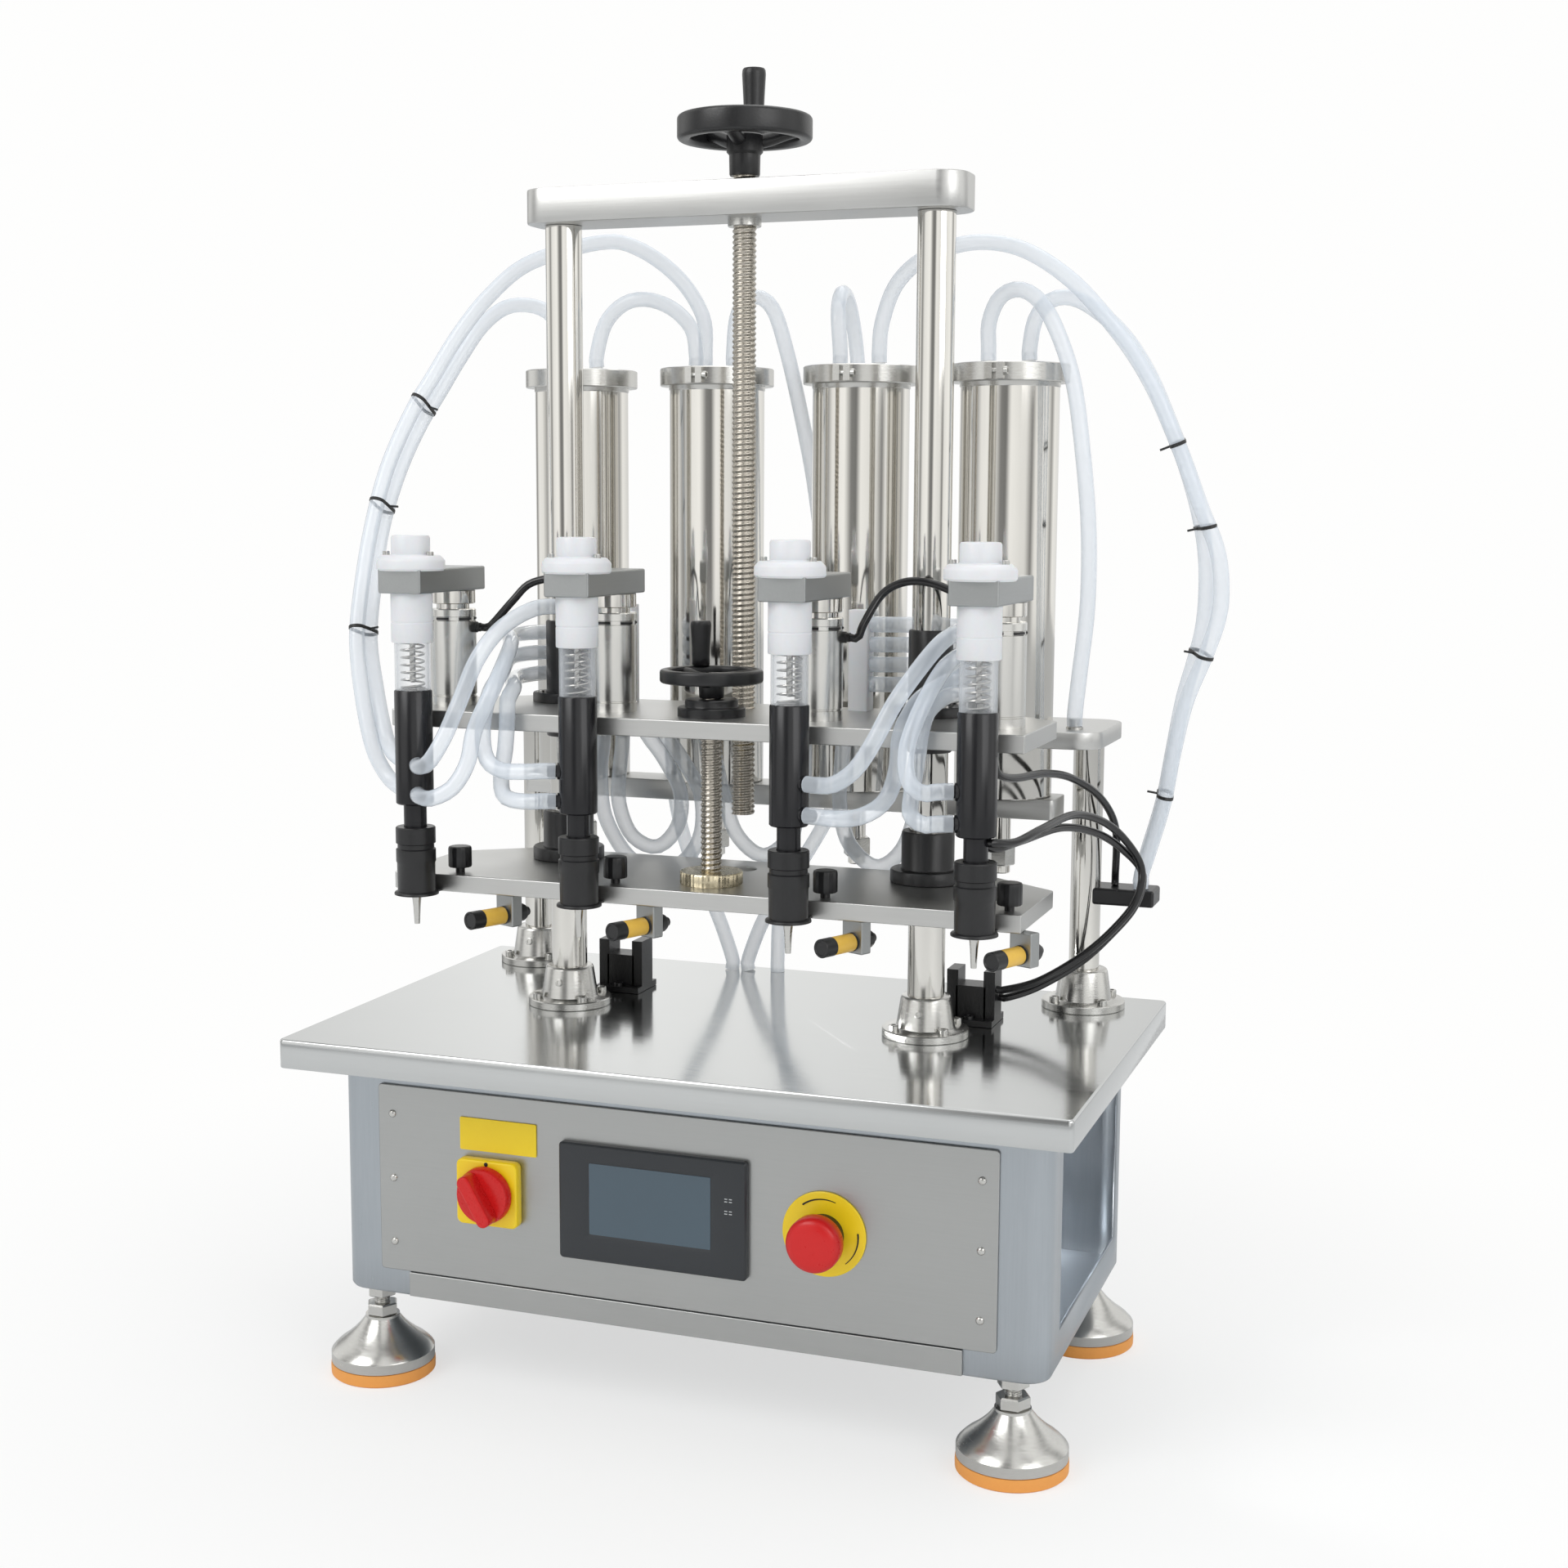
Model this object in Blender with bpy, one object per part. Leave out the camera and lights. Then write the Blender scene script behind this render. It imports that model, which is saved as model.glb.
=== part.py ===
# Four-nozzle bench-top liquid filling machine.
# Metres, +Z up, origin on the floor under the middle of the table, front towards -Y.

import math

import bmesh
import bpy
import numpy as np
from mathutils import Matrix, Vector

# Clearances shared by every piece
GAP = 0.0003
OVERRUN = 0.004

# Number of sides on round pieces
SIDES_LARGE = 14
SIDES_MEDIUM = 10
SIDES_SMALL = 8
SIDES_TINY = 6
SIDES_TIE = 4
SIDES_SCREW = 6
CORNER_STEPS = 2

# Levelling feet
FOOT_RISE = 0.068
FOOT_X = 0.250
FOOT_Y = 0.122
PAD_RADIUS = 0.040
PAD_HEIGHT = 0.0098
CONE_EDGE_HEIGHT = 0.009
CONE_SHOULDER_RADIUS = 0.036
CONE_SHOULDER_HEIGHT = 0.003
CONE_HEIGHT = 0.022
CONE_NECK_RADIUS = 0.013
FOOT_NUT_RADIUS = 0.0125
FOOT_NUT_HEIGHT = 0.009
STUD_RADIUS = 0.006
LOCK_NUT_RADIUS = 0.0115
LOCK_NUT_HEIGHT = 0.007

# Table top, an inverted tray of folded sheet
TABLE_WIDTH = 0.600
TABLE_DEPTH = 0.360
TABLE_APRON = 0.022
TABLE_SHEET = 0.003
TABLE_CORNER = 0.004

# Cabinet, a folded shell open at both ends
CABINET_WIDTH = 0.552
CABINET_DEPTH = 0.270
CABINET_HEIGHT = 0.204
CABINET_SHEET = 0.0025
CABINET_CORNER = 0.018
END_FRONT_FLANGE = 0.040
END_BACK_FLANGE = 0.030
END_SILL = 0.026
END_HEAD = 0.030
CONTROL_OPENING_WIDTH = 0.440
CONTROL_OPENING_BOTTOM = 0.040
CONTROL_OPENING_HEIGHT = 0.116

TABLE_Z = FOOT_RISE + CABINET_HEIGHT
CABINET_FRONT_Y = -CABINET_DEPTH / 2

# Front control panel and sill strip
PANEL_WIDTH = 0.482
PANEL_HEIGHT = 0.145
PANEL_DROP = 0.039
PANEL_THICKNESS = 0.002
PANEL_SCREW_INSET = 0.012
PANEL_SCREW_EDGE = 0.0225
SILL_WIDTH = 0.434
SILL_THICKNESS = 0.003
SILL_MARGIN = 0.0006
PANEL_FRONT_Y = CABINET_FRONT_Y - GAP - PANEL_THICKNESS
PANEL_TOP_Z = TABLE_Z - PANEL_DROP
PANEL_BOTTOM_Z = PANEL_TOP_Z - PANEL_HEIGHT

# Touch screen
HMI_X = -0.015
HMI_DROP = 0.1105
HMI_WIDTH = 0.147
HMI_HEIGHT = 0.088
HMI_PROUD = 0.0055
HMI_BODY_WIDTH = 0.131
HMI_BODY_HEIGHT = 0.075
HMI_BODY_DEPTH = 0.032
SCREEN_WIDTH = 0.0954
SCREEN_HEIGHT = 0.0538
SCREEN_OFFSET_X = -0.0018
SCREEN_OFFSET_Z = 0.003
SCREEN_THICKNESS = 0.0016

# Main switch with its yellow plate and label plate
SWITCH_X = -0.146
SWITCH_DROP = 0.112
SWITCH_PLATE_SIZE = 0.050
SWITCH_PLATE_THICKNESS = 0.009
SWITCH_CORNER = 0.005
SWITCH_BODY_SIZE = 0.042
SWITCH_BODY_DEPTH = 0.034
SWITCH_STEM_RADIUS = 0.008
SWITCH_KNOB_RADIUS = 0.0215
SWITCH_KNOB_THICKNESS = 0.009
SWITCH_GRIP_WIDTH = 0.011
SWITCH_GRIP_HEIGHT = 0.013
SWITCH_GRIP_OVERHANG = 0.003
SWITCH_REST_ANGLE = math.radians(-30.0)
LABEL_X = -0.140
LABEL_DROP = 0.070
LABEL_WIDTH = 0.063
LABEL_HEIGHT = 0.025
LABEL_THICKNESS = 0.0012

# Emergency stop
ESTOP_X = 0.1156
ESTOP_DROP = 0.113
ESTOP_RING_RADIUS = 0.031
ESTOP_RING_THICKNESS = 0.002
ESTOP_COLLAR_RADIUS = 0.015
ESTOP_COLLAR_LENGTH = 0.007
ESTOP_BORE = 0.0055
ESTOP_BODY_SIZE = 0.030
ESTOP_BODY_DEPTH = 0.034
ESTOP_STEM_RADIUS = 0.005
ESTOP_STEM_LENGTH = 0.016
ESTOP_HEAD_RADIUS = 0.020
ESTOP_HEAD_THICKNESS = 0.017
ESTOP_TRAVEL = 0.0055
PANEL_STEM_HOLE = 0.0112

# Uprights and their flanges
FRONT_POST_X = 0.1475
FRONT_POST_Y = 0.004
FRONT_POST_RADIUS = 0.014
BACK_POST_X = 0.240
BACK_POST_Y = 0.138
BACK_POST_RADIUS = 0.012
FLANGE_RADIUS = 0.033
FLANGE_THICKNESS = 0.006
FLANGE_COLLAR_LOW_RADIUS = 0.022
FLANGE_COLLAR_TOP_RADIUS = 0.0185
FLANGE_HEIGHT = 0.031
FLANGE_SCREW_CIRCLE = 0.0272
SCREW_HEAD_RADIUS = 0.0038
SCREW_HEAD_HEIGHT = 0.0045
FLANGE_SCREWS = 4

# Top bar
BAR_HALF_LENGTH = 0.173
BAR_HALF_DEPTH = 0.026
BAR_THICKNESS = 0.0256
BAR_RISE = 0.6054
BAR_CORNER = 0.020
BAR_SCREW_RADIUS = 0.008
BAR_SCREW_HEIGHT = 0.003
THRUST_RADIUS = 0.0125
THRUST_HEIGHT = 0.006

# Lead screws
LIFT_SCREW_RADIUS = 0.009
LIFT_SCREW_END_RISE = 0.1605
LIFT_SCREW_PASSAGE = 0.0015
TURNING_CLEARANCE = 0.0001
LOWER_SCREW_Y = -0.062
LOWER_SCREW_RADIUS = 0.008
LOWER_SCREW_END_RISE = 0.100

# Handwheels and their revolving grips
TOP_WHEEL_RADIUS = 0.050
TOP_WHEEL_RIM_WIDTH = 0.010
TOP_WHEEL_RIM_HEIGHT = 0.018
TOP_WHEEL_RIM_RISE = 0.661
TOP_WHEEL_HUB_RADIUS = 0.0135
TOP_WHEEL_HUB_RISE = 0.636
TOP_WHEEL_HUB_HEIGHT = 0.030
TOP_GRIP_ANGLE = math.radians(102.0)
TOP_GRIP_RADIUS = 0.009
TOP_GRIP_HEIGHT = 0.042
LOWER_WHEEL_RADIUS = 0.038
LOWER_WHEEL_RIM_WIDTH = 0.008
LOWER_WHEEL_RIM_HEIGHT = 0.010
LOWER_WHEEL_RIM_RISE = 0.2665
LOWER_WHEEL_HUB_RADIUS = 0.011
LOWER_WHEEL_HUB_RISE = 0.2555
LOWER_WHEEL_HUB_HEIGHT = 0.018
LOWER_GRIP_ANGLE = math.radians(125.0)
LOWER_GRIP_RADIUS = 0.0078
LOWER_GRIP_HEIGHT = 0.033
SPOKE_COUNT = 3
SPOKE_WIDTH = 0.010
SPOKE_THICKNESS = 0.007
GRIP_PIN_RADIUS = 0.0035
GRIP_PIN_REACH = 0.55

# Carriage plate
PLATE_THICKNESS = 0.013
PLATE_HALF_WIDTH = 0.244
PLATE_FRONT_Y = -0.101
PLATE_END_Y = 0.0
PLATE_BACK_Y = 0.040
PLATE_BACK_HALF_WIDTH = 0.190
PLATE_RISE = 0.229
CARRIAGE_TOP_RISE = PLATE_RISE + PLATE_THICKNESS
BUSH_RADIUS = 0.0164
BUSH_FLANGE_RADIUS = 0.027
BUSH_FLANGE_THICKNESS = 0.0075
BUSH_TOP_RISE = 0.3054
BUSH_BOTTOM_RISE = 0.215
LIFT_NUT_RADIUS = 0.016
LIFT_NUT_HEIGHT = 0.010
BEARING_RADIUS = 0.025
BEARING_HEIGHT = 0.0127

# Nozzles and needle lifts
NOZZLE_XS = (-0.2155, -0.0815, 0.0805, 0.2155)
NOZZLE_Y = -0.1185
BODY_RADIUS = 0.014
BODY_RISE = 0.1733
BODY_TOP_RISE = 0.2586
NECK_RADIUS = 0.0085
NECK_RISE = 0.118
TIP_RADIUS = 0.0037
TIP_END_RADIUS = 0.0020
TIP_RISE = 0.104
TIP_END_RISE = 0.082
NEEDLE_RADIUS = 0.0022
NEEDLE_BORE = 0.0026
NEEDLE_END_RISE = 0.124
BARB_RADIUS = 0.0045
BARB_REACH = 0.008
BODY_BARB_UPPER_RISE = 0.204
BODY_BARB_LOWER_RISE = 0.182
GUARD_RADIUS = 0.0132
GUARD_WALL = 0.0012
GUARD_TOP_RISE = 0.2955
HEAD_CAP_RADIUS = 0.0143
HEAD_CAP_HEIGHT = 0.0146
HEAD_FLANGE_RADIUS = 0.025
HEAD_FLANGE_RISE = 0.3465
HEAD_FLANGE_HEIGHT = 0.0113
HEAD_CHAMFER = 0.003
SLEEVE_RADIUS = 0.0153
SLEEVE_RISE = 0.2938
SLEEVE_BORE = 0.0137
SLEEVE_BORE_DEPTH = 0.006
LIFT_BRACKET_HALF_WIDTH = 0.0175
LIFT_BRACKET_FRONT_Y = -0.137
LIFT_BRACKET_BACK_Y = -0.035
LIFT_BRACKET_RISE = 0.330
ACTUATOR_Y = -0.055
ACTUATOR_RADIUS = 0.0175
ACTUATOR_TOP_RISE = 0.316
ACTUATOR_BORE = 0.0135
ACTUATOR_FLOOR = 0.006
ACTUATOR_PORT_RISE = 0.302
ACTUATOR_PORT_RADIUS = 0.0035
ACTUATOR_PORT_REACH = 0.006
LIFT_CAP_HEIGHT = 0.0103
LIFT_ROD_RADIUS = 0.0125
LIFT_ROD_LENGTH = 0.040

# Return springs
SPRING_RADIUS = 0.0092
SPRING_WIRE_RADIUS = 0.0008
SPRING_CURLS = 7
SPRING_POINTS_PER_CURL = 8

# Hose manifolds on the carriage
LEFT_MANIFOLD_X = -0.105
RIGHT_MANIFOLD_X = 0.088
MANIFOLD_Y = 0.022
MANIFOLD_HALF = 0.008
MANIFOLD_TOP_RISE = 0.318
PORT_RISES = (0.262, 0.277, 0.292, 0.307)

# Lower plate
LOWER_PLATE_RISE = 0.1045
LOWER_TOP_RISE = LOWER_PLATE_RISE + PLATE_THICKNESS
LIP_RADIUS = 0.0165
LIP_THICKNESS = 0.0024
TIP_HOLE_RADIUS = 0.0070
LIP_OVERLAP = 0.006
LOWER_BUSH_RADIUS = 0.0198
LOWER_BUSH_FLANGE_RADIUS = 0.028
LOWER_BUSH_FLANGE_THICKNESS = 0.0098
LOWER_BUSH_TOP_RISE = 0.156
SCREW_NUT_RADIUS = 0.0235
SCREW_NUT_HEIGHT = 0.0095
COLLAR_LOW_RADIUS = 0.0140
COLLAR_RING_RADIUS = 0.0148
COLLAR_RING_RISE = 0.122
COLLAR_TOP_RISE = 0.1562
COLLAR_BORE = 0.0088
COLLAR_FLOOR = 0.004
KNOB_OFFSET_XS = (0.0195, 0.0165, 0.0145, 0.0165)
KNOB_Y = -0.086
KNOB_RADIUS = 0.009
KNOB_HEIGHT = 0.016
KNOB_STUD_RADIUS = 0.003
KNOB_STUD_HEIGHT = 0.0055

# Bottle sensors
SENSOR_TIP_XS = (-0.168, -0.053, 0.107, 0.229)
SENSOR_TIP_Y = -0.125
SENSOR_RISE = 0.0885
SENSOR_RADIUS = 0.0068
SENSOR_LENGTH = 0.056
SENSOR_TURN = math.radians(-23.5)
SENSOR_CLIP_OFFSET = 0.038
SENSOR_CLIP_LENGTH = 0.012
SENSOR_CLIP_HALF_WIDTH = 0.010
SENSOR_CLIP_DROP = 0.010

# Rear plate and pumps
REAR_PLATE_HALF_WIDTH = 0.263
REAR_PLATE_FRONT_Y = 0.058
REAR_PLATE_BACK_Y = 0.168
REAR_PLATE_RISE = 0.2145
REAR_PLATE_CORNER = 0.020
PUMP_XS = (-0.1794, -0.0605, 0.0605, 0.1794)
PUMP_Y = 0.103
PUMP_RADIUS = 0.038
PUMP_WALL = 0.002
PUMP_TOP_RISE = 0.492
PUMP_CAP_RADIUS = 0.0385
PUMP_CAP_HEIGHT = 0.011
PUMP_CAP_SPIGOT = 0.008
CLAMP_RADIUS = 0.0455
CLAMP_HEIGHT = 0.014
CLAMP_RISE = 0.4885
CLAMP_LUG_WIDTH = 0.014
CLAMP_LUG_REACH = 0.009
TIE_BAR_HALF_WIDTH = 0.225
TIE_BAR_HALF_DEPTH = 0.020
TIE_BAR_RISE = 0.156
TIE_BAR_THICKNESS = 0.016
PORT_OFFSET = 0.016
PORT_Y_OFFSET = -0.005
EXTRA_PORT_OFFSET_X = -0.018
EXTRA_PORT_OFFSET_Y = 0.020
PUMP_BARB_HEIGHT = 0.008
PISTON_RISE = 0.455
PISTON_HEIGHT = 0.024
PISTON_CLEARANCE = 0.0010
PISTON_ROD_RADIUS = 0.007
PISTON_ROD_END_RISE = 0.110
STROKE_NUT_RADIUS = 0.011
STROKE_NUT_RISE = 0.1165
STROKE_NUT_HEIGHT = 0.015

# Drive motor and control box inside the cabinet
MOTOR_RADIUS = 0.028
MOTOR_LENGTH = 0.086
MOTOR_END_X = 0.246
MOTOR_Y = -0.006
MOTOR_DROP = 0.094
MOTOR_CAP_RADIUS = 0.0195
MOTOR_CAP_LENGTH = 0.004
MOTOR_FOOT_WIDTH = 0.030
MOTOR_FOOT_LENGTH = 0.050
CONTROL_BOX_WIDTH = 0.180
CONTROL_BOX_DEPTH = 0.060
CONTROL_BOX_HEIGHT = 0.095
CONTROL_BOX_X = -0.110
CONTROL_BOX_BACK_MARGIN = 0.006

# Table brackets and the hose clip on the right back post
BRACKET_XS = (-0.126, 0.171)
BRACKET_YS = (0.066, 0.058)
BRACKET_HALF_WIDTH = 0.019
BRACKET_HALF_DEPTH = 0.019
BRACKET_BASE_HEIGHT = 0.005
BRACKET_UPRIGHT_THICKNESS = 0.022
BRACKET_HEIGHT = 0.042
BRACKET_LEAN = 0.008
BRACKET_NOTCH_WIDTH = 0.020
BRACKET_NOTCH_DEPTH = 0.012
CLIP_RISE = 0.084
CLIP_HEIGHT = 0.014
CLIP_ARM_X = 0.296
CLIP_FRONT_Y = 0.128
CLIP_BACK_Y = 0.160
PLATE_HOSE_END = (0.239, 0.086)

# Hoses and air tubes
HOSE_RADIUS = 0.006
TUBE_RADIUS = 0.003
HOSE_POINT_SPACING = 0.036
TUBE_POINT_SPACING = 0.018
HOSE_BEVEL_RESOLUTION = 2
HOSE_LEAD = 0.010
TUBE_LEAD = 0.006
HOSE_INSET = 0.003
UPPER_TUBE_RISE = 0.1695
LOWER_TUBE_RISE = 0.1665
TIE_RADIUS = 0.0025
FITTING_RADIUS = 0.0065


def finish(name, colour, roughness, metallic, alpha=1.0):
    """One plain Principled material."""
    material = bpy.data.materials.new(name)
    material.use_nodes = True
    shader = material.node_tree.nodes["Principled BSDF"]
    shader.inputs["Base Color"].default_value = (*colour, 1.0)
    shader.inputs["Roughness"].default_value = roughness
    shader.inputs["Metallic"].default_value = metallic
    shader.inputs["Alpha"].default_value = alpha
    return material


def empty_at(name, place, parent=None):
    """An empty that carries the pieces of one moving body."""
    holder = bpy.data.objects.new(name, None)
    bpy.context.scene.collection.objects.link(holder)
    offset = Vector(place)
    if parent is not None:
        holder.parent = parent
        offset -= Vector(parent["place"])
    holder.location = offset
    holder["place"] = tuple(place)
    return holder


def polyline_shape(points, closed):
    """Vertices and edges of a profile in the XZ plane."""
    shape = bmesh.new()
    corners = [shape.verts.new((radius, 0.0, height)) for radius, height in points]
    for first, second in zip(corners, corners[1:]):
        shape.edges.new((first, second))
    if closed:
        shape.edges.new((corners[-1], corners[0]))
    return shape


def turned(profile, sides, centre=(0.0, 0.0, 0.0), axis="z"):
    """A turned solid from (radius, height) points; a profile off the axis is closed into a ring."""
    closed = min(profile[0][0], profile[-1][0]) > 0.0
    shape = polyline_shape(profile, closed)
    bmesh.ops.spin(
        shape,
        geom=shape.verts[:] + shape.edges[:],
        axis=(0.0, 0.0, 1.0),
        cent=(0.0, 0.0, 0.0),
        angle=math.tau,
        steps=sides,
        use_merge=True,
    )
    bmesh.ops.remove_doubles(shape, verts=shape.verts[:], dist=GAP / 100)
    bmesh.ops.dissolve_degenerate(shape, edges=shape.edges[:], dist=GAP / 100)
    if axis == "y":
        bmesh.ops.transform(shape, matrix=Matrix.Rotation(math.pi / 2, 4, "X"), verts=shape.verts[:])
    if axis == "x":
        bmesh.ops.transform(shape, matrix=Matrix.Rotation(math.pi / 2, 4, "Y"), verts=shape.verts[:])
    bmesh.ops.translate(shape, vec=Vector(centre), verts=shape.verts[:])
    bmesh.ops.recalc_face_normals(shape, faces=shape.faces[:])
    return shape


def cylinder(radius, low, high, sides, centre=(0.0, 0.0, 0.0), axis="z"):
    """A solid cylinder from low to high along its axis."""
    return turned([(0.0, high), (radius, high), (radius, low), (0.0, low)], sides, centre, axis)


def tube(outer, inner, low, high, sides, centre=(0.0, 0.0, 0.0), axis="z"):
    """A hollow cylinder from low to high along its axis."""
    profile = [(outer, high), (outer, low), (inner, low), (inner, high)]
    return turned(profile, sides, centre, axis)


def prism(outline, low, high, axis="z"):
    """An outline of two coordinates, extruded from low to high along the third."""
    place = {
        "x": lambda a, b, h: (h, a, b),
        "y": lambda a, b, h: (a, h, b),
        "z": lambda a, b, h: (a, b, h),
    }[axis]
    shape = bmesh.new()
    face = shape.faces.new([shape.verts.new(place(a, b, low)) for a, b in outline])
    grown = bmesh.ops.extrude_face_region(shape, geom=[face])
    raised = [item for item in grown["geom"] if isinstance(item, bmesh.types.BMVert)]
    bmesh.ops.translate(shape, vec=Vector(place(0.0, 0.0, high - low)), verts=raised)
    bmesh.ops.recalc_face_normals(shape, faces=shape.faces[:])
    return shape


def block(low, high):
    """A box between two corners."""
    outline = [(low[0], low[1]), (high[0], low[1]), (high[0], high[1]), (low[0], high[1])]
    return prism(outline, low[2], high[2])


def rounded_rectangle(half_width, half_depth, radius, centre=(0.0, 0.0)):
    """Outline of a rectangle with round corners, anticlockwise."""
    points = []
    for quarter, (sign_x, sign_y) in enumerate(((1, 1), (-1, 1), (-1, -1), (1, -1))):
        corner_x = centre[0] + sign_x * (half_width - radius)
        corner_y = centre[1] + sign_y * (half_depth - radius)
        for step in range(CORNER_STEPS + 1):
            angle = (quarter + step / CORNER_STEPS) * math.pi / 2
            points.append((corner_x + radius * math.cos(angle), corner_y + radius * math.sin(angle)))
    return points


def gathered(shapes):
    """Several separate shapes held in one mesh."""
    whole = bmesh.new()
    for shape in shapes:
        mesh = bpy.data.meshes.new("part")
        shape.to_mesh(mesh)
        shape.free()
        whole.from_mesh(mesh)
        bpy.data.meshes.remove(mesh)
    return whole


def moved(shape, matrix):
    """The shape after a turn or a shift."""
    bmesh.ops.transform(shape, matrix=matrix, verts=shape.verts[:])
    return shape


def mesh_object(name, shape, body):
    """An object whose mesh is the shape, seen from the origin of its body."""
    bmesh.ops.translate(shape, vec=-Vector(body["place"]), verts=shape.verts[:])
    mesh = bpy.data.meshes.new(name)
    shape.to_mesh(mesh)
    shape.free()
    made = bpy.data.objects.new(name, mesh)
    bpy.context.scene.collection.objects.link(made)
    made.parent = body
    return made


def helper_shape(target, shape, operation, body):
    """A hidden wire shape that is joined to or cut from the target."""
    tool = mesh_object(f"{target.name}_{operation.lower()}_{len(target.modifiers)}", shape, body)
    tool.hide_render = True
    tool.display_type = "WIRE"
    change = target.modifiers.new(operation.title(), "BOOLEAN")
    change.operation = operation
    change.solver = "EXACT"
    change.object = tool


def piece(name, body, material, shape, joins=(), cuts=()):
    """A named sub-part: a shape, with others joined to it and others cut away."""
    made = mesh_object(name, shape, body)
    for other in joins:
        helper_shape(made, other, "UNION", body)
    for other in cuts:
        helper_shape(made, other, "DIFFERENCE", body)
    made.data.materials.append(material)
    made.data.shade_smooth()
    made.data.set_sharp_from_angle(angle=math.radians(35.0))
    return made


def smooth_line(points, spacing):
    """Points at even steps along a smooth curve through the given points."""
    knots = [np.array(point) for point in points]
    knots = [2 * knots[0] - knots[1], *knots, 2 * knots[-1] - knots[-2]]
    dense = []
    shares = np.linspace(0.0, 1.0, 24, endpoint=False)[:, None]
    for before, start, end, after in zip(knots, knots[1:], knots[2:], knots[3:]):
        dense.append(
            0.5
            * (
                2 * start
                + (end - before) * shares
                + (2 * before - 5 * start + 4 * end - after) * shares**2
                + (3 * start - before - 3 * end + after) * shares**3
            )
        )
    line = np.vstack([*dense, knots[-2][None, :]])
    travel = np.concatenate([[0.0], np.cumsum(np.linalg.norm(np.diff(line, axis=0), axis=1))])
    stations = np.linspace(0.0, travel[-1], max(4, round(travel[-1] / spacing) + 1))
    return np.column_stack([np.interp(stations, travel, line[:, axis]) for axis in range(3)])


def flexible_line(start, start_way, via, end, end_way, lead, spacing):
    """A route that leaves both ends straight and passes through the points between."""
    first = Vector(start) + Vector(start_way).normalized() * lead
    last = Vector(end) + Vector(end_way).normalized() * lead
    between = [(x, y, TABLE_Z + z) for x, y, z in via]
    middle = smooth_line([tuple(first), *between, tuple(last)], spacing)
    return np.vstack([np.array([tuple(start)]), middle, np.array([tuple(end)])])


def tube_curve(name, line, radius, resolution):
    """A round tube along a line, with filled ends, as a curve object."""
    curve = bpy.data.curves.new(name, "CURVE")
    curve.dimensions = "3D"
    curve.bevel_depth = radius
    curve.bevel_resolution = resolution
    curve.use_fill_caps = True
    spline = curve.splines.new("POLY")
    spline.points.add(len(line) - 1)
    for point, place in zip(spline.points, line):
        point.co = (*place, 1.0)
    return bpy.data.objects.new(name, curve)


def wire_piece(name, body, material, line, radius, resolution):
    """A named sub-part that is one round wire or tube."""
    origin = Vector(body["place"])
    made = tube_curve(name, [Vector(point) - origin for point in line], radius, resolution)
    made.data.materials.append(material)
    bpy.context.scene.collection.objects.link(made)
    made.parent = body
    return made


def tube_shape(line, radius, resolution):
    """The closed mesh of a round tube along a line."""
    route = tube_curve("route", line, radius, resolution)
    mesh = bpy.data.meshes.new_from_object(route)
    shape = bmesh.new()
    shape.from_mesh(mesh)
    bpy.data.meshes.remove(mesh)
    bpy.data.curves.remove(route.data)
    bmesh.ops.remove_doubles(shape, verts=shape.verts[:], dist=GAP / 100)
    bmesh.ops.recalc_face_normals(shape, faces=shape.faces[:])
    return shape


def hose_shape(line):
    """A clear hose along a line."""
    return tube_shape(line, HOSE_RADIUS, HOSE_BEVEL_RESOLUTION)


def air_shape(line):
    """A black air tube along a line."""
    return tube_shape(line, TUBE_RADIUS, HOSE_BEVEL_RESOLUTION)


def tie_shape(first, share, second):
    """A tie across two tubes, at a share of the first one's length and square to the second."""
    start = first[round(share * (len(first) - 1))]
    nearest = min(range(len(second)), key=lambda index: np.linalg.norm(second[index] - start))
    return straight_peg(start, second[nearest], TIE_RADIUS, SIDES_TIE)


def above_table(x, y, rise):
    """A point given by its height above the table top."""
    return Vector((x, y, TABLE_Z + rise))


def straight_peg(start, end, radius, sides=SIDES_TINY):
    """A peg between two points."""
    way = Vector(end) - Vector(start)
    peg = cylinder(radius, 0.0, way.length, sides)
    turn = way.to_track_quat("Z", "Y").to_matrix().to_4x4()
    return moved(peg, Matrix.Translation(start) @ turn)


# Levelling feet


def build_feet(base, steel):
    shoulder_z = PAD_HEIGHT + CONE_EDGE_HEIGHT
    neck_z = shoulder_z + CONE_SHOULDER_HEIGHT + CONE_HEIGHT
    nut_top_z = neck_z + FOOT_NUT_HEIGHT
    stud_top_z = FOOT_RISE - GAP
    foot = [
        (0.0, neck_z),
        (CONE_NECK_RADIUS, neck_z),
        (CONE_SHOULDER_RADIUS, shoulder_z + CONE_SHOULDER_HEIGHT),
        (PAD_RADIUS, shoulder_z),
        (PAD_RADIUS, 0.0),
        (0.0, 0.0),
    ]
    stud = [
        (0.0, stud_top_z),
        (LOCK_NUT_RADIUS, stud_top_z),
        (LOCK_NUT_RADIUS, stud_top_z - LOCK_NUT_HEIGHT),
        (STUD_RADIUS, stud_top_z - LOCK_NUT_HEIGHT),
        (STUD_RADIUS, nut_top_z),
        (FOOT_NUT_RADIUS, nut_top_z),
        (FOOT_NUT_RADIUS, neck_z - OVERRUN),
        (0.0, neck_z - OVERRUN),
    ]
    for row, y in (("front", -FOOT_Y), ("rear", FOOT_Y)):
        for side, x in (("left", -FOOT_X), ("right", FOOT_X)):
            centre = (x, y, 0.0)
            cone = turned(foot, SIDES_MEDIUM, centre)
            piece(f"foot_{row}_{side}", base, steel, cone, joins=[turned(stud, SIDES_TINY, centre)])


# Table and cabinet


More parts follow.
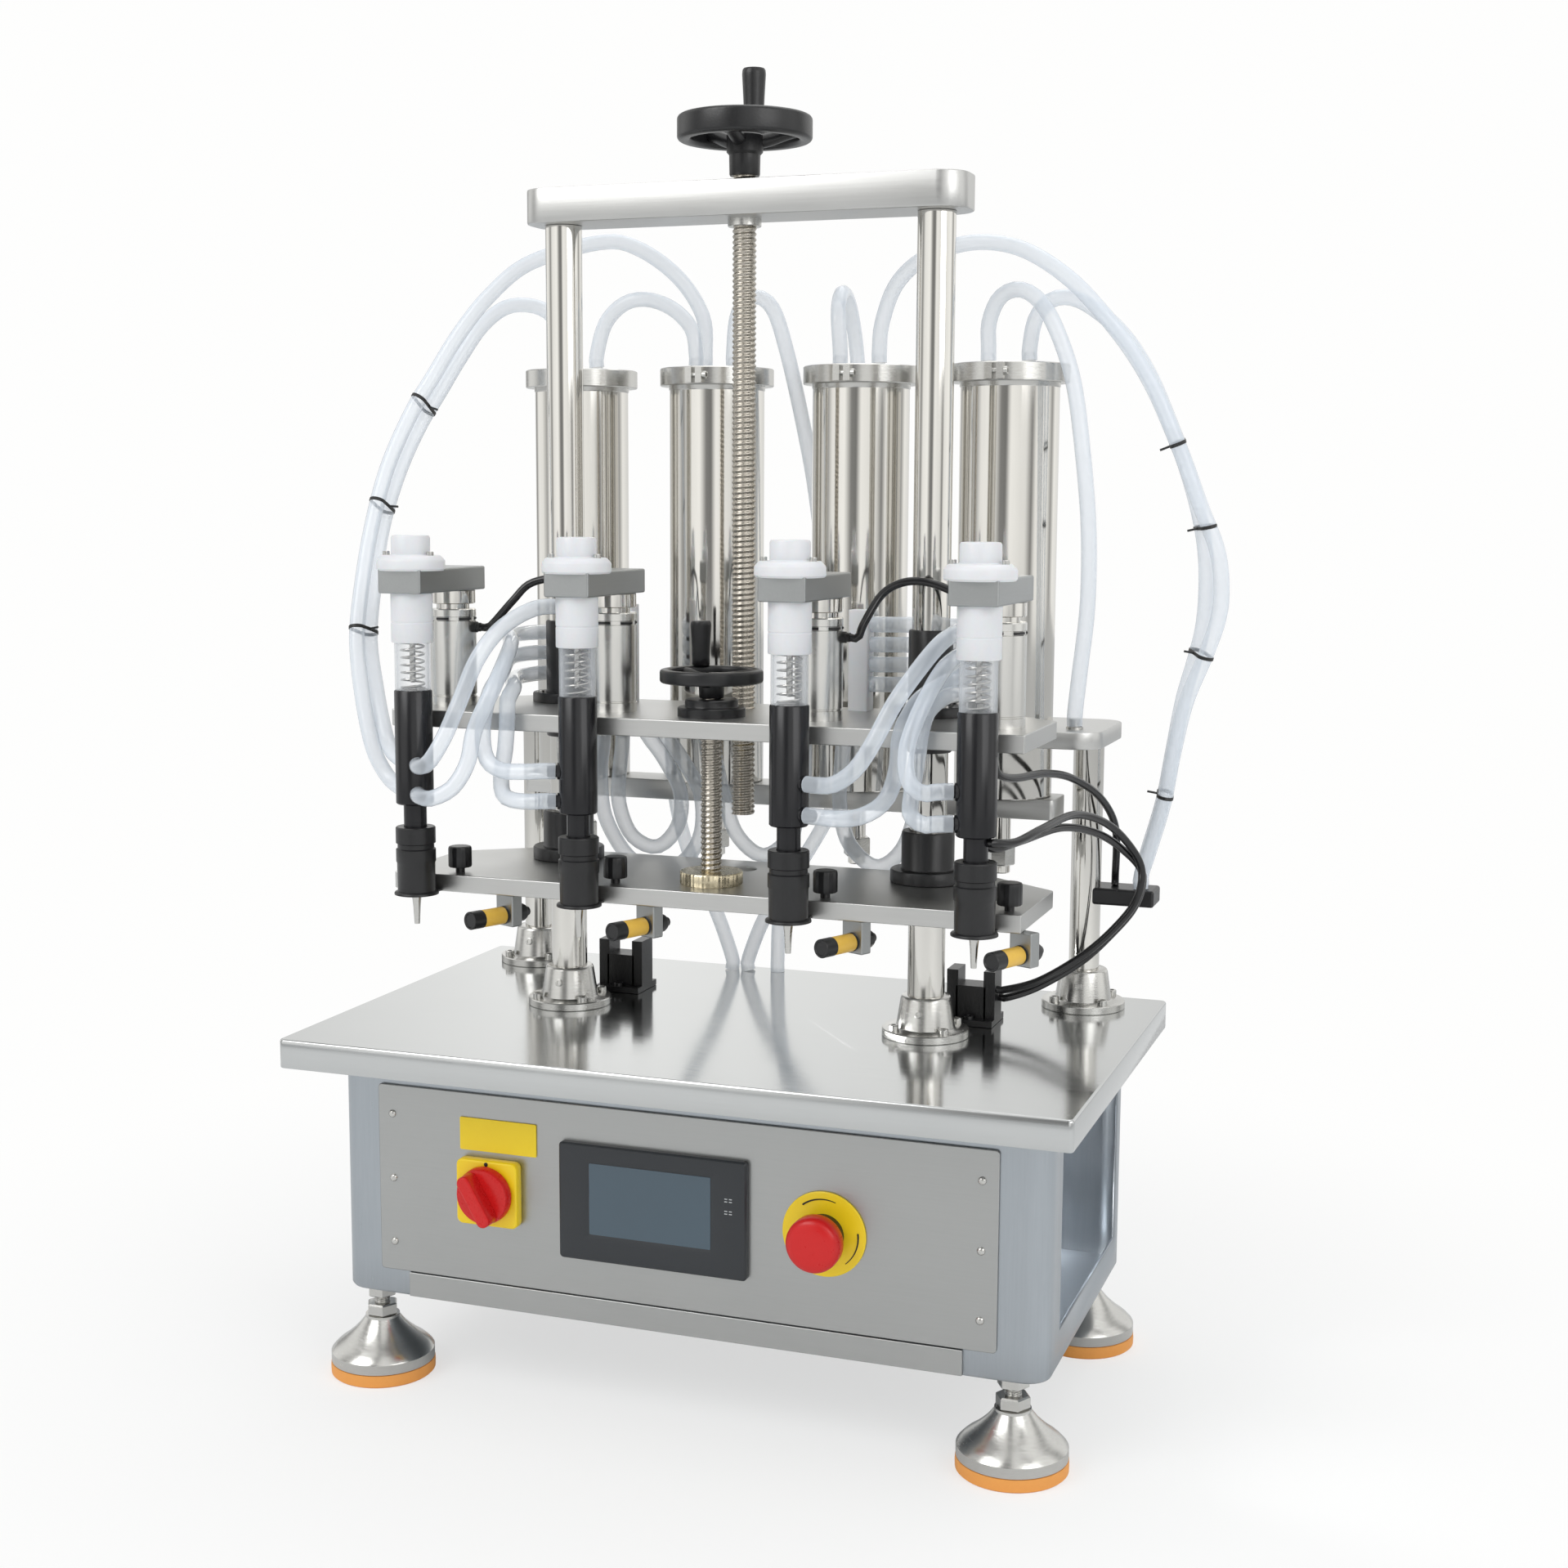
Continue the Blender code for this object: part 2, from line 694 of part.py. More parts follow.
def build_table(base, steel):
    half_w = TABLE_WIDTH / 2
    half_d = TABLE_DEPTH / 2
    low = TABLE_Z - TABLE_APRON
    outer = prism(rounded_rectangle(half_w, half_d, TABLE_CORNER), low, TABLE_Z)
    inner_corner = TABLE_CORNER - TABLE_SHEET
    inner = prism(
        rounded_rectangle(half_w - TABLE_SHEET, half_d - TABLE_SHEET, inner_corner),
        low - OVERRUN,
        TABLE_Z - TABLE_SHEET,
    )
    brackets, notches = hose_brackets()
    piece("table_top", base, steel, outer, joins=[gathered(brackets)], cuts=[inner, gathered(notches)])


def hose_brackets():
    """The two upright hose brackets on the table, and the notches in their tops."""
    brackets, notches = [], []
    low = TABLE_Z - TABLE_SHEET / 2
    foot = TABLE_Z + BRACKET_BASE_HEIGHT
    top = TABLE_Z + BRACKET_HEIGHT
    half_u = BRACKET_UPRIGHT_THICKNESS / 2
    half_n = BRACKET_NOTCH_WIDTH / 2
    for x, y in zip(BRACKET_XS, BRACKET_YS):
        outline = [
            (y - BRACKET_HALF_DEPTH, low),
            (y + BRACKET_HALF_DEPTH, low),
            (y + BRACKET_HALF_DEPTH, foot),
            (y + half_u, foot),
            (y + half_u - BRACKET_LEAN, top),
            (y - half_u, top),
            (y - half_u, foot),
            (y - BRACKET_HALF_DEPTH, foot),
        ]
        brackets.append(prism(outline, x - BRACKET_HALF_WIDTH, x + BRACKET_HALF_WIDTH, "x"))
        notch = [(x - half_n, top + OVERRUN), (x, top - BRACKET_NOTCH_DEPTH), (x + half_n, top + OVERRUN)]
        notches.append(
            prism(notch, y - BRACKET_HALF_DEPTH - OVERRUN, y + BRACKET_HALF_DEPTH + OVERRUN, "y")
        )
    return brackets, notches


def build_cabinet(base, steel):
    half_w = CABINET_WIDTH / 2
    half_d = CABINET_DEPTH / 2
    top = TABLE_Z - TABLE_SHEET - GAP
    outer = prism(rounded_rectangle(half_w, half_d, CABINET_CORNER), FOOT_RISE, top)
    inner = prism(
        rounded_rectangle(half_w - CABINET_SHEET, half_d - CABINET_SHEET, CABINET_CORNER - CABINET_SHEET),
        FOOT_RISE + CABINET_SHEET,
        top + OVERRUN,
    )
    ends = block(
        (-half_w - OVERRUN, -half_d + END_FRONT_FLANGE, FOOT_RISE + END_SILL),
        (half_w + OVERRUN, half_d - END_BACK_FLANGE, TABLE_Z - END_HEAD),
    )
    opening_low = FOOT_RISE + CONTROL_OPENING_BOTTOM
    front = block(
        (-CONTROL_OPENING_WIDTH / 2, -half_d - OVERRUN, opening_low),
        (CONTROL_OPENING_WIDTH / 2, -half_d + CABINET_SHEET + OVERRUN, opening_low + CONTROL_OPENING_HEIGHT),
    )
    sill = block(
        (-SILL_WIDTH / 2, -half_d - SILL_THICKNESS, FOOT_RISE + SILL_MARGIN),
        (SILL_WIDTH / 2, -half_d + CABINET_SHEET / 2, PANEL_BOTTOM_Z - SILL_MARGIN),
    )
    piece("cabinet_shell", base, steel, outer, joins=[sill], cuts=[inner, ends, front])


def build_front_panel(base, steel):
    back_y = CABINET_FRONT_Y - GAP
    middle_y = back_y - PANEL_THICKNESS / 2
    hmi_z = TABLE_Z - HMI_DROP
    panel = block(
        (-PANEL_WIDTH / 2, PANEL_FRONT_Y, PANEL_BOTTOM_Z),
        (PANEL_WIDTH / 2, back_y, PANEL_TOP_Z),
    )
    label_z = TABLE_Z - LABEL_DROP
    trim = [
        block(
            (LABEL_X - LABEL_WIDTH / 2, PANEL_FRONT_Y - LABEL_THICKNESS, label_z - LABEL_HEIGHT / 2),
            (LABEL_X + LABEL_WIDTH / 2, middle_y, label_z + LABEL_HEIGHT / 2),
        )
    ]
    span = PANEL_HEIGHT - 2 * PANEL_SCREW_EDGE
    head_high = -PANEL_FRONT_Y + SCREW_HEAD_HEIGHT / 2
    for x in (-PANEL_WIDTH / 2 + PANEL_SCREW_INSET, PANEL_WIDTH / 2 - PANEL_SCREW_INSET):
        for share in (0.0, 0.5, 1.0):
            z = PANEL_BOTTOM_Z + PANEL_SCREW_EDGE + share * span
            trim.append(cylinder(SCREW_HEAD_RADIUS, -middle_y, head_high, SIDES_TINY, (x, 0.0, z), "y"))
    screen_hole = block(
        (HMI_X - HMI_BODY_WIDTH / 2 - GAP, PANEL_FRONT_Y - OVERRUN, hmi_z - HMI_BODY_HEIGHT / 2 - GAP),
        (HMI_X + HMI_BODY_WIDTH / 2 + GAP, back_y + OVERRUN, hmi_z + HMI_BODY_HEIGHT / 2 + GAP),
    )
    low, high = -back_y - OVERRUN, -PANEL_FRONT_Y + OVERRUN
    switch_centre = (SWITCH_X, 0.0, TABLE_Z - SWITCH_DROP)
    stop_centre = (ESTOP_X, 0.0, TABLE_Z - ESTOP_DROP)
    switch_hole = cylinder(SWITCH_STEM_RADIUS + GAP, low, high, SIDES_SMALL, switch_centre, "y")
    stop_hole = cylinder(PANEL_STEM_HOLE + GAP, low, high, SIDES_LARGE, stop_centre, "y")
    piece(
        "front_panel",
        base,
        steel,
        panel,
        joins=[gathered(trim)],
        cuts=[gathered([screen_hole, switch_hole, stop_hole])],
    )


# Controls on the front panel


def build_touch_screen(base, bezel_finish, screen_finish):
    z = TABLE_Z - HMI_DROP
    back_y = PANEL_FRONT_Y - GAP
    front_y = back_y - HMI_PROUD
    bezel = block(
        (HMI_X - HMI_WIDTH / 2, front_y, z - HMI_HEIGHT / 2),
        (HMI_X + HMI_WIDTH / 2, back_y, z + HMI_HEIGHT / 2),
    )
    body = block(
        (HMI_X - HMI_BODY_WIDTH / 2, back_y - HMI_PROUD / 2, z - HMI_BODY_HEIGHT / 2),
        (HMI_X + HMI_BODY_WIDTH / 2, back_y + HMI_BODY_DEPTH, z + HMI_BODY_HEIGHT / 2),
    )
    screen_x = HMI_X + SCREEN_OFFSET_X
    screen_z = z + SCREEN_OFFSET_Z
    half_w = SCREEN_WIDTH / 2
    half_h = SCREEN_HEIGHT / 2
    recess = block(
        (screen_x - half_w - GAP, front_y - OVERRUN, screen_z - half_h - GAP),
        (screen_x + half_w + GAP, front_y + SCREEN_THICKNESS + GAP, screen_z + half_h + GAP),
    )
    piece("hmi_bezel", base, bezel_finish, bezel, joins=[body], cuts=[recess])
    glass = block(
        (screen_x - half_w, front_y, screen_z - half_h),
        (screen_x + half_w, front_y + SCREEN_THICKNESS, screen_z + half_h),
    )
    piece("hmi_screen", base, screen_finish, glass)


def build_switch(base, knob_body, yellow, red):
    z = TABLE_Z - SWITCH_DROP
    back_y = PANEL_FRONT_Y - GAP
    front_y = back_y - SWITCH_PLATE_THICKNESS
    half = SWITCH_PLATE_SIZE / 2
    plate = prism(rounded_rectangle(half, half, SWITCH_CORNER, (SWITCH_X, z)), front_y, back_y, "y")
    body_y = CABINET_FRONT_Y + CABINET_SHEET
    stem = cylinder(
        SWITCH_STEM_RADIUS, -body_y - OVERRUN, -back_y + OVERRUN, SIDES_SMALL, (SWITCH_X, 0.0, z), "y"
    )
    half_body = SWITCH_BODY_SIZE / 2
    contacts = block(
        (SWITCH_X - half_body, body_y, z - half_body),
        (SWITCH_X + half_body, body_y + SWITCH_BODY_DEPTH, z + half_body),
    )
    piece("switch_plate", base, yellow, plate, joins=[stem, contacts])
    knob_back = -front_y + GAP
    knob_front = knob_back + SWITCH_KNOB_THICKNESS
    disc = cylinder(SWITCH_KNOB_RADIUS, knob_back, knob_front, SIDES_MEDIUM, (0.0, 0.0, 0.0), "y")
    half_grip = SWITCH_GRIP_WIDTH / 2
    reach = SWITCH_KNOB_RADIUS + SWITCH_GRIP_OVERHANG
    grip = prism(
        [
            (-half_grip, reach),
            (half_grip, reach),
            (half_grip, -reach),
            (0.0, -reach - half_grip),
            (-half_grip, -reach),
        ],
        -knob_front - SWITCH_GRIP_HEIGHT,
        -knob_back - SWITCH_KNOB_THICKNESS / 2,
        "y",
    )
    place = Matrix.Translation((SWITCH_X, 0.0, z)) @ Matrix.Rotation(SWITCH_REST_ANGLE, 4, "Y")
    piece("switch_knob", knob_body, red, moved(disc, place), joins=[moved(grip, place)])


def build_emergency_stop(base, stop_body, yellow, red):
    z = TABLE_Z - ESTOP_DROP
    back = -PANEL_FRONT_Y + GAP
    ring_front = back + ESTOP_RING_THICKNESS
    collar_front = ring_front + ESTOP_COLLAR_LENGTH
    body_y = CABINET_FRONT_Y + CABINET_SHEET
    centre = (ESTOP_X, 0.0, z)
    ring = turned(
        [
            (0.0, collar_front),
            (ESTOP_COLLAR_RADIUS, collar_front),
            (ESTOP_COLLAR_RADIUS, ring_front),
            (ESTOP_RING_RADIUS, ring_front),
            (ESTOP_RING_RADIUS, back),
            (PANEL_STEM_HOLE, back),
            (PANEL_STEM_HOLE, -body_y - OVERRUN),
            (0.0, -body_y - OVERRUN),
        ],
        SIDES_LARGE,
        centre,
        "y",
    )
    half_body = ESTOP_BODY_SIZE / 2
    contacts = block(
        (ESTOP_X - half_body, body_y, z - half_body),
        (ESTOP_X + half_body, body_y + ESTOP_BODY_DEPTH, z + half_body),
    )
    bore = cylinder(
        ESTOP_BORE,
        collar_front - ESTOP_STEM_LENGTH - ESTOP_TRAVEL,
        collar_front + OVERRUN,
        SIDES_MEDIUM,
        centre,
        "y",
    )
    piece("estop_ring", base, yellow, ring, joins=[contacts], cuts=[bore])
    head_back = collar_front + ESTOP_TRAVEL + GAP
    head_front = head_back + ESTOP_HEAD_THICKNESS
    dome = ESTOP_HEAD_THICKNESS / 3
    button = turned(
        [
            (0.0, head_front),
            (ESTOP_HEAD_RADIUS - dome, head_front - dome / 4),
            (ESTOP_HEAD_RADIUS, head_front - dome),
            (ESTOP_HEAD_RADIUS, head_back),
            (ESTOP_STEM_RADIUS, head_back),
            (ESTOP_STEM_RADIUS, collar_front - ESTOP_STEM_LENGTH),
            (0.0, collar_front - ESTOP_STEM_LENGTH),
        ],
        SIDES_MEDIUM,
        centre,
        "y",
    )
    piece("estop_button", stop_body, red, button)


# Uprights, flanges, top bar and screws


def post_shape(x, y, radius, top):
    """An upright standing in its flange, and the flange's screw heads."""
    low = TABLE_Z + GAP
    profile = [
        (0.0, top),
        (radius, top),
        (radius, low + FLANGE_HEIGHT),
        (FLANGE_COLLAR_TOP_RADIUS, low + FLANGE_HEIGHT),
        (FLANGE_COLLAR_LOW_RADIUS, low + FLANGE_THICKNESS),
        (FLANGE_RADIUS, low + FLANGE_THICKNESS),
        (FLANGE_RADIUS, low),
        (0.0, low),
    ]
    heads = []
    head_low = low + FLANGE_THICKNESS / 2
    head_high = low + FLANGE_THICKNESS + SCREW_HEAD_HEIGHT
    for number in range(FLANGE_SCREWS):
        angle = (number + 0.5) * math.tau / FLANGE_SCREWS
        centre = (x + FLANGE_SCREW_CIRCLE * math.cos(angle), y + FLANGE_SCREW_CIRCLE * math.sin(angle), 0.0)
        heads.append(cylinder(SCREW_HEAD_RADIUS, head_low, head_high, SIDES_SCREW, centre))
    return turned(profile, SIDES_MEDIUM, (x, y, 0.0)), gathered(heads)


def build_posts(base, chrome):
    front_top = TABLE_Z + BAR_RISE - GAP
    rear_top = TABLE_Z + REAR_PLATE_RISE - GAP
    clip = block(
        (BACK_POST_X, CLIP_FRONT_Y, TABLE_Z + CLIP_RISE),
        (CLIP_ARM_X, CLIP_BACK_Y, TABLE_Z + CLIP_RISE + CLIP_HEIGHT),
    )
    for side, sign in (("left", -1), ("right", 1)):
        post, heads = post_shape(sign * FRONT_POST_X, FRONT_POST_Y, FRONT_POST_RADIUS, front_top)
        piece(f"front_post_{side}", base, chrome, post, joins=[heads])
        post, heads = post_shape(sign * BACK_POST_X, BACK_POST_Y, BACK_POST_RADIUS, rear_top)
        extra = [clip] if sign > 0 else []
        piece(f"rear_post_{side}", base, chrome, post, joins=[heads, *extra])


def turning_bore(radius, sides):
    """Radius at the corners of a bore whose flat sides clear a round pin or screw turning in it."""
    return (radius + TURNING_CLEARANCE) / math.cos(math.pi / sides)


def build_top_bar(base, aluminium):
    low = TABLE_Z + BAR_RISE
    high = low + BAR_THICKNESS
    middle = (0.0, FRONT_POST_Y, 0.0)
    outline = rounded_rectangle(BAR_HALF_LENGTH, BAR_HALF_DEPTH, BAR_CORNER, (0.0, FRONT_POST_Y))
    joined = [cylinder(THRUST_RADIUS, low - THRUST_HEIGHT, low + OVERRUN, SIDES_SMALL, middle)]
    for x in (-FRONT_POST_X, FRONT_POST_X):
        centre = (x, FRONT_POST_Y, 0.0)
        joined.append(
            cylinder(BAR_SCREW_RADIUS, high - OVERRUN, high + BAR_SCREW_HEIGHT, SIDES_SMALL, centre)
        )
    bore_low = low - THRUST_HEIGHT - OVERRUN
    bore_radius = turning_bore(LIFT_SCREW_RADIUS, SIDES_SMALL)
    bore = cylinder(bore_radius, bore_low, high + OVERRUN, SIDES_SMALL, middle)
    piece("top_bar", base, aluminium, prism(outline, low, high), joins=[gathered(joined)], cuts=[bore])


# Handwheels with their lead screws


def wheel_shape(radius, rim_width, rim_height, rim_z, hub_radius, hub_z, hub_height, centre):
    """Rim, hub and dished spokes of a handwheel, as a rim and the shapes joined to it."""
    rim_mid = radius - rim_width / 2
    rim = tube(radius, radius - rim_width, rim_z, rim_z + rim_height, SIDES_LARGE, centre)
    hub = cylinder(hub_radius, hub_z, hub_z + hub_height, SIDES_SMALL, centre)
    spokes = []
    hub_mid = hub_z + hub_height / 2
    rim_level = rim_z + rim_height / 2
    for number in range(SPOKE_COUNT):
        outline = [
            (0.0, hub_mid - SPOKE_THICKNESS / 2),
            (rim_mid, rim_level - SPOKE_THICKNESS / 2),
            (rim_mid, rim_level + SPOKE_THICKNESS / 2),
            (0.0, hub_mid + SPOKE_THICKNESS / 2),
        ]
        spoke = prism(outline, -SPOKE_WIDTH / 2, SPOKE_WIDTH / 2, "y")
        turn = Matrix.Rotation(math.tau * (number + 0.25) / SPOKE_COUNT, 4, "Z")
        spokes.append(moved(spoke, Matrix.Translation(centre) @ turn))
    return rim, [hub, *spokes]


def build_top_wheel(spindle, grip_body, black, steel):
    centre = (0.0, FRONT_POST_Y, 0.0)
    hub_z = TABLE_Z + TOP_WHEEL_HUB_RISE
    hub_top = hub_z + TOP_WHEEL_HUB_HEIGHT
    rim_z = TABLE_Z + TOP_WHEEL_RIM_RISE
    rim, others = wheel_shape(
        TOP_WHEEL_RADIUS,
        TOP_WHEEL_RIM_WIDTH,
        TOP_WHEEL_RIM_HEIGHT,
        rim_z,
        TOP_WHEEL_HUB_RADIUS,
        hub_z,
        TOP_WHEEL_HUB_HEIGHT,
        centre,
    )
    socket_top = hub_top - TOP_WHEEL_HUB_HEIGHT / 3
    socket = cylinder(LIFT_SCREW_RADIUS + GAP, hub_z - OVERRUN, socket_top, SIDES_SMALL, centre)
    reach = TOP_WHEEL_RADIUS - TOP_WHEEL_RIM_WIDTH / 2
    grip_x = reach * math.cos(TOP_GRIP_ANGLE)
    grip_y = FRONT_POST_Y + reach * math.sin(TOP_GRIP_ANGLE)
    rim_top = rim_z + TOP_WHEEL_RIM_HEIGHT
    pin_top = rim_top + GAP + TOP_GRIP_HEIGHT * GRIP_PIN_REACH
    pin = cylinder(GRIP_PIN_RADIUS, rim_top - OVERRUN, pin_top, SIDES_TINY, (grip_x, grip_y, 0.0))
    piece("top_wheel", spindle, black, rim, joins=[*others, pin], cuts=[socket])
    screw = cylinder(
        LIFT_SCREW_RADIUS, TABLE_Z + LIFT_SCREW_END_RISE, socket_top - GAP, SIDES_SMALL, centre
    )
    piece("top_screw", spindle, steel, screw)
    build_grip("top_grip", grip_body, black, TOP_GRIP_RADIUS, TOP_GRIP_HEIGHT, rim_top, (grip_x, grip_y))


def build_lower_wheel(spindle, grip_body, black, steel):
    centre = (0.0, LOWER_SCREW_Y, 0.0)
    hub_z = TABLE_Z + LOWER_WHEEL_HUB_RISE
    hub_top = hub_z + LOWER_WHEEL_HUB_HEIGHT
    rim_z = TABLE_Z + LOWER_WHEEL_RIM_RISE
    rim, others = wheel_shape(
        LOWER_WHEEL_RADIUS,
        LOWER_WHEEL_RIM_WIDTH,
        LOWER_WHEEL_RIM_HEIGHT,
        rim_z,
        LOWER_WHEEL_HUB_RADIUS,
        hub_z,
        LOWER_WHEEL_HUB_HEIGHT,
        centre,
    )
    socket_top = hub_top - LOWER_WHEEL_HUB_HEIGHT / 3
    socket = cylinder(LOWER_SCREW_RADIUS + GAP, hub_z - OVERRUN, socket_top, SIDES_SMALL, centre)
    reach = LOWER_WHEEL_RADIUS - LOWER_WHEEL_RIM_WIDTH / 2
    grip_x = reach * math.cos(LOWER_GRIP_ANGLE)
    grip_y = LOWER_SCREW_Y + reach * math.sin(LOWER_GRIP_ANGLE)
    rim_top = rim_z + LOWER_WHEEL_RIM_HEIGHT
    pin_top = rim_top + GAP + LOWER_GRIP_HEIGHT * GRIP_PIN_REACH
    pin = cylinder(GRIP_PIN_RADIUS, rim_top - OVERRUN, pin_top, SIDES_TINY, (grip_x, grip_y, 0.0))
    piece("lower_wheel", spindle, black, rim, joins=[*others, pin], cuts=[socket])
    screw = cylinder(
        LOWER_SCREW_RADIUS, TABLE_Z + LOWER_SCREW_END_RISE, socket_top - GAP, SIDES_SMALL, centre
    )
    piece("lower_screw", spindle, steel, screw)
    place = (grip_x, grip_y)
    build_grip("lower_grip", grip_body, black, LOWER_GRIP_RADIUS, LOWER_GRIP_HEIGHT, rim_top, place)


def build_grip(name, body, material, radius, height, rim_top, place):
    """A revolving grip on its pin."""
    low = rim_top + GAP
    high = low + height
    bore_top = low + height * GRIP_PIN_REACH + GAP
    bore = turning_bore(GRIP_PIN_RADIUS, SIDES_TINY)
    taper = radius / 8
    grip = turned(
        [
            (0.0, high),
            (radius - taper, high),
            (radius, high - taper),
            (radius - taper, low),
            (bore, low),
            (bore, bore_top),
            (0.0, bore_top),
        ],
        SIDES_TINY,
        (*place, 0.0),
    )
    piece(name, body, material, grip)


# Carriage with its plate, bushes, nut and wheel bearing


def plate_outline():
    """The shared outline of the carriage plate and the lower plate."""
    return [
        (-PLATE_HALF_WIDTH, PLATE_FRONT_Y),
        (PLATE_HALF_WIDTH, PLATE_FRONT_Y),
        (PLATE_HALF_WIDTH, PLATE_END_Y),
        (PLATE_BACK_HALF_WIDTH, PLATE_BACK_Y),
        (-PLATE_BACK_HALF_WIDTH, PLATE_BACK_Y),
        (-PLATE_HALF_WIDTH, PLATE_END_Y),
    ]


def build_carriage(carriage, aluminium, brass):
    low = TABLE_Z + PLATE_RISE
    high = TABLE_Z + CARRIAGE_TOP_RISE
    bush_low = TABLE_Z + BUSH_BOTTOM_RISE
    bush_top = TABLE_Z + BUSH_TOP_RISE
    flange_top = high + BUSH_FLANGE_THICKNESS
    lift_centre = (0.0, FRONT_POST_Y, 0.0)
    lower_centre = (0.0, LOWER_SCREW_Y, 0.0)
    bearing_top = high + BEARING_HEIGHT
    lift_bore = turning_bore(LIFT_SCREW_RADIUS, SIDES_SMALL)
    lower_bore = turning_bore(LOWER_SCREW_RADIUS, SIDES_SMALL)
    joined = [cylinder(BEARING_RADIUS, high - OVERRUN, bearing_top, SIDES_MEDIUM, lower_centre)]
    bores = [
        cylinder(lift_bore, low - OVERRUN, high + OVERRUN, SIDES_SMALL, lift_centre),
        cylinder(lower_bore, low - OVERRUN, bearing_top + OVERRUN, SIDES_SMALL, lower_centre),
    ]
    for x in (-FRONT_POST_X, FRONT_POST_X):
        centre = (x, FRONT_POST_Y, 0.0)
        bush = [
            (0.0, bush_top),
            (BUSH_RADIUS, bush_top),
            (BUSH_RADIUS, flange_top),
            (BUSH_FLANGE_RADIUS, flange_top),
            (BUSH_FLANGE_RADIUS, high - OVERRUN),
            (BUSH_RADIUS, high - OVERRUN),
            (BUSH_RADIUS, bush_low),
            (0.0, bush_low),
        ]
        joined.append(turned(bush, SIDES_MEDIUM, centre))
        bores.append(
            cylinder(FRONT_POST_RADIUS + GAP, bush_low - OVERRUN, bush_top + OVERRUN, SIDES_MEDIUM, centre)
        )
    actuator_top = TABLE_Z + ACTUATOR_TOP_RISE
    for x in NOZZLE_XS:
        centre = (x, ACTUATOR_Y, 0.0)
        joined.append(cylinder(ACTUATOR_RADIUS, high - OVERRUN, actuator_top, SIDES_SMALL, centre))
        bores.append(
            cylinder(ACTUATOR_BORE, high + ACTUATOR_FLOOR, actuator_top + OVERRUN, SIDES_SMALL, centre)
        )
    for x, y in carriage_fittings():
        joined.append(cylinder(BARB_RADIUS, low - BARB_REACH, low + OVERRUN, SIDES_TINY, (x, y, 0.0)))
    ports = []
    for number in range(len(NOZZLE_XS)):
        start = actuator_port(number, -ACTUATOR_PORT_REACH - (ACTUATOR_RADIUS - ACTUATOR_BORE) / 2)
        ports.append(straight_peg(start, actuator_port(number, 0.0), ACTUATOR_PORT_RADIUS))
    plate = prism(plate_outline(), low, high)
    piece(
        "carriage_plate",
        carriage,
        aluminium,
        plate,
        joins=[gathered(joined), gathered(ports)],
        cuts=[gathered(bores)],
    )
    nut_high = low - GAP
    nut_low = nut_high - LIFT_NUT_HEIGHT
    nut = tube(LIFT_NUT_RADIUS, lift_bore, nut_low, nut_high, SIDES_SMALL, lift_centre)
    piece("lift_nut", carriage, brass, nut)


# Nozzles, needles, lift brackets, actuators and springs


def barb_ways():
    """Direction of the paired barbs on each nozzle body."""
    return [(0.6, -0.8), (-0.94, -0.34), (0.94, -0.34), (-0.94, -0.34)]


def nozzle_barbs(number):
    """Root-to-tip direction and rise of every barb on one nozzle."""
    x, y = barb_ways()[number]
    barbs = [((x, y), BODY_BARB_UPPER_RISE), ((x, y), BODY_BARB_LOWER_RISE)]
    if number == 0:
        barbs += [((-0.8, 0.6), BODY_BARB_UPPER_RISE), ((-0.8, 0.6), BODY_BARB_LOWER_RISE)]
    return barbs


def barb_tip(number, way, rise, extra):
    """Point on a nozzle barb's axis, past the barb's end by the extra length."""
    reach = BODY_RADIUS + BARB_REACH + extra
    length = math.hypot(*way)
    return above_table(
        NOZZLE_XS[number] + reach * way[0] / length, NOZZLE_Y + reach * way[1] / length, rise
    )


def build_nozzle(number, carriage, black):
    x = NOZZLE_XS[number]
    top = TABLE_Z + BODY_TOP_RISE
    neck = TABLE_Z + NECK_RISE
    profile = [
        (NEEDLE_BORE, top),
        (GUARD_RADIUS - GUARD_WALL, top),
        (GUARD_RADIUS - GUARD_WALL, TABLE_Z + GUARD_TOP_RISE),
        (GUARD_RADIUS, TABLE_Z + GUARD_TOP_RISE),
        (GUARD_RADIUS, top),
        (BODY_RADIUS, top),
        (BODY_RADIUS, TABLE_Z + BODY_RISE),
        (NECK_RADIUS, TABLE_Z + BODY_RISE),
        (NECK_RADIUS, neck),
        (TIP_RADIUS, neck),
        (TIP_RADIUS, TABLE_Z + TIP_RISE),
        (TIP_END_RADIUS, TABLE_Z + TIP_END_RISE),
        (TIP_END_RADIUS / 2, TABLE_Z + TIP_END_RISE),
        (NEEDLE_BORE, neck),
    ]
    pegs = []
    for way, rise in nozzle_barbs(number):
        start = barb_tip(number, way, rise, -BARB_REACH - BODY_RADIUS / 3)
        pegs.append(straight_peg(start, barb_tip(number, way, rise, 0.0), BARB_RADIUS))
    body = turned(profile, SIDES_SMALL, (x, NOZZLE_Y, 0.0))
    piece(f"nozzle_{number + 1}", carriage, black, body, joins=pegs)


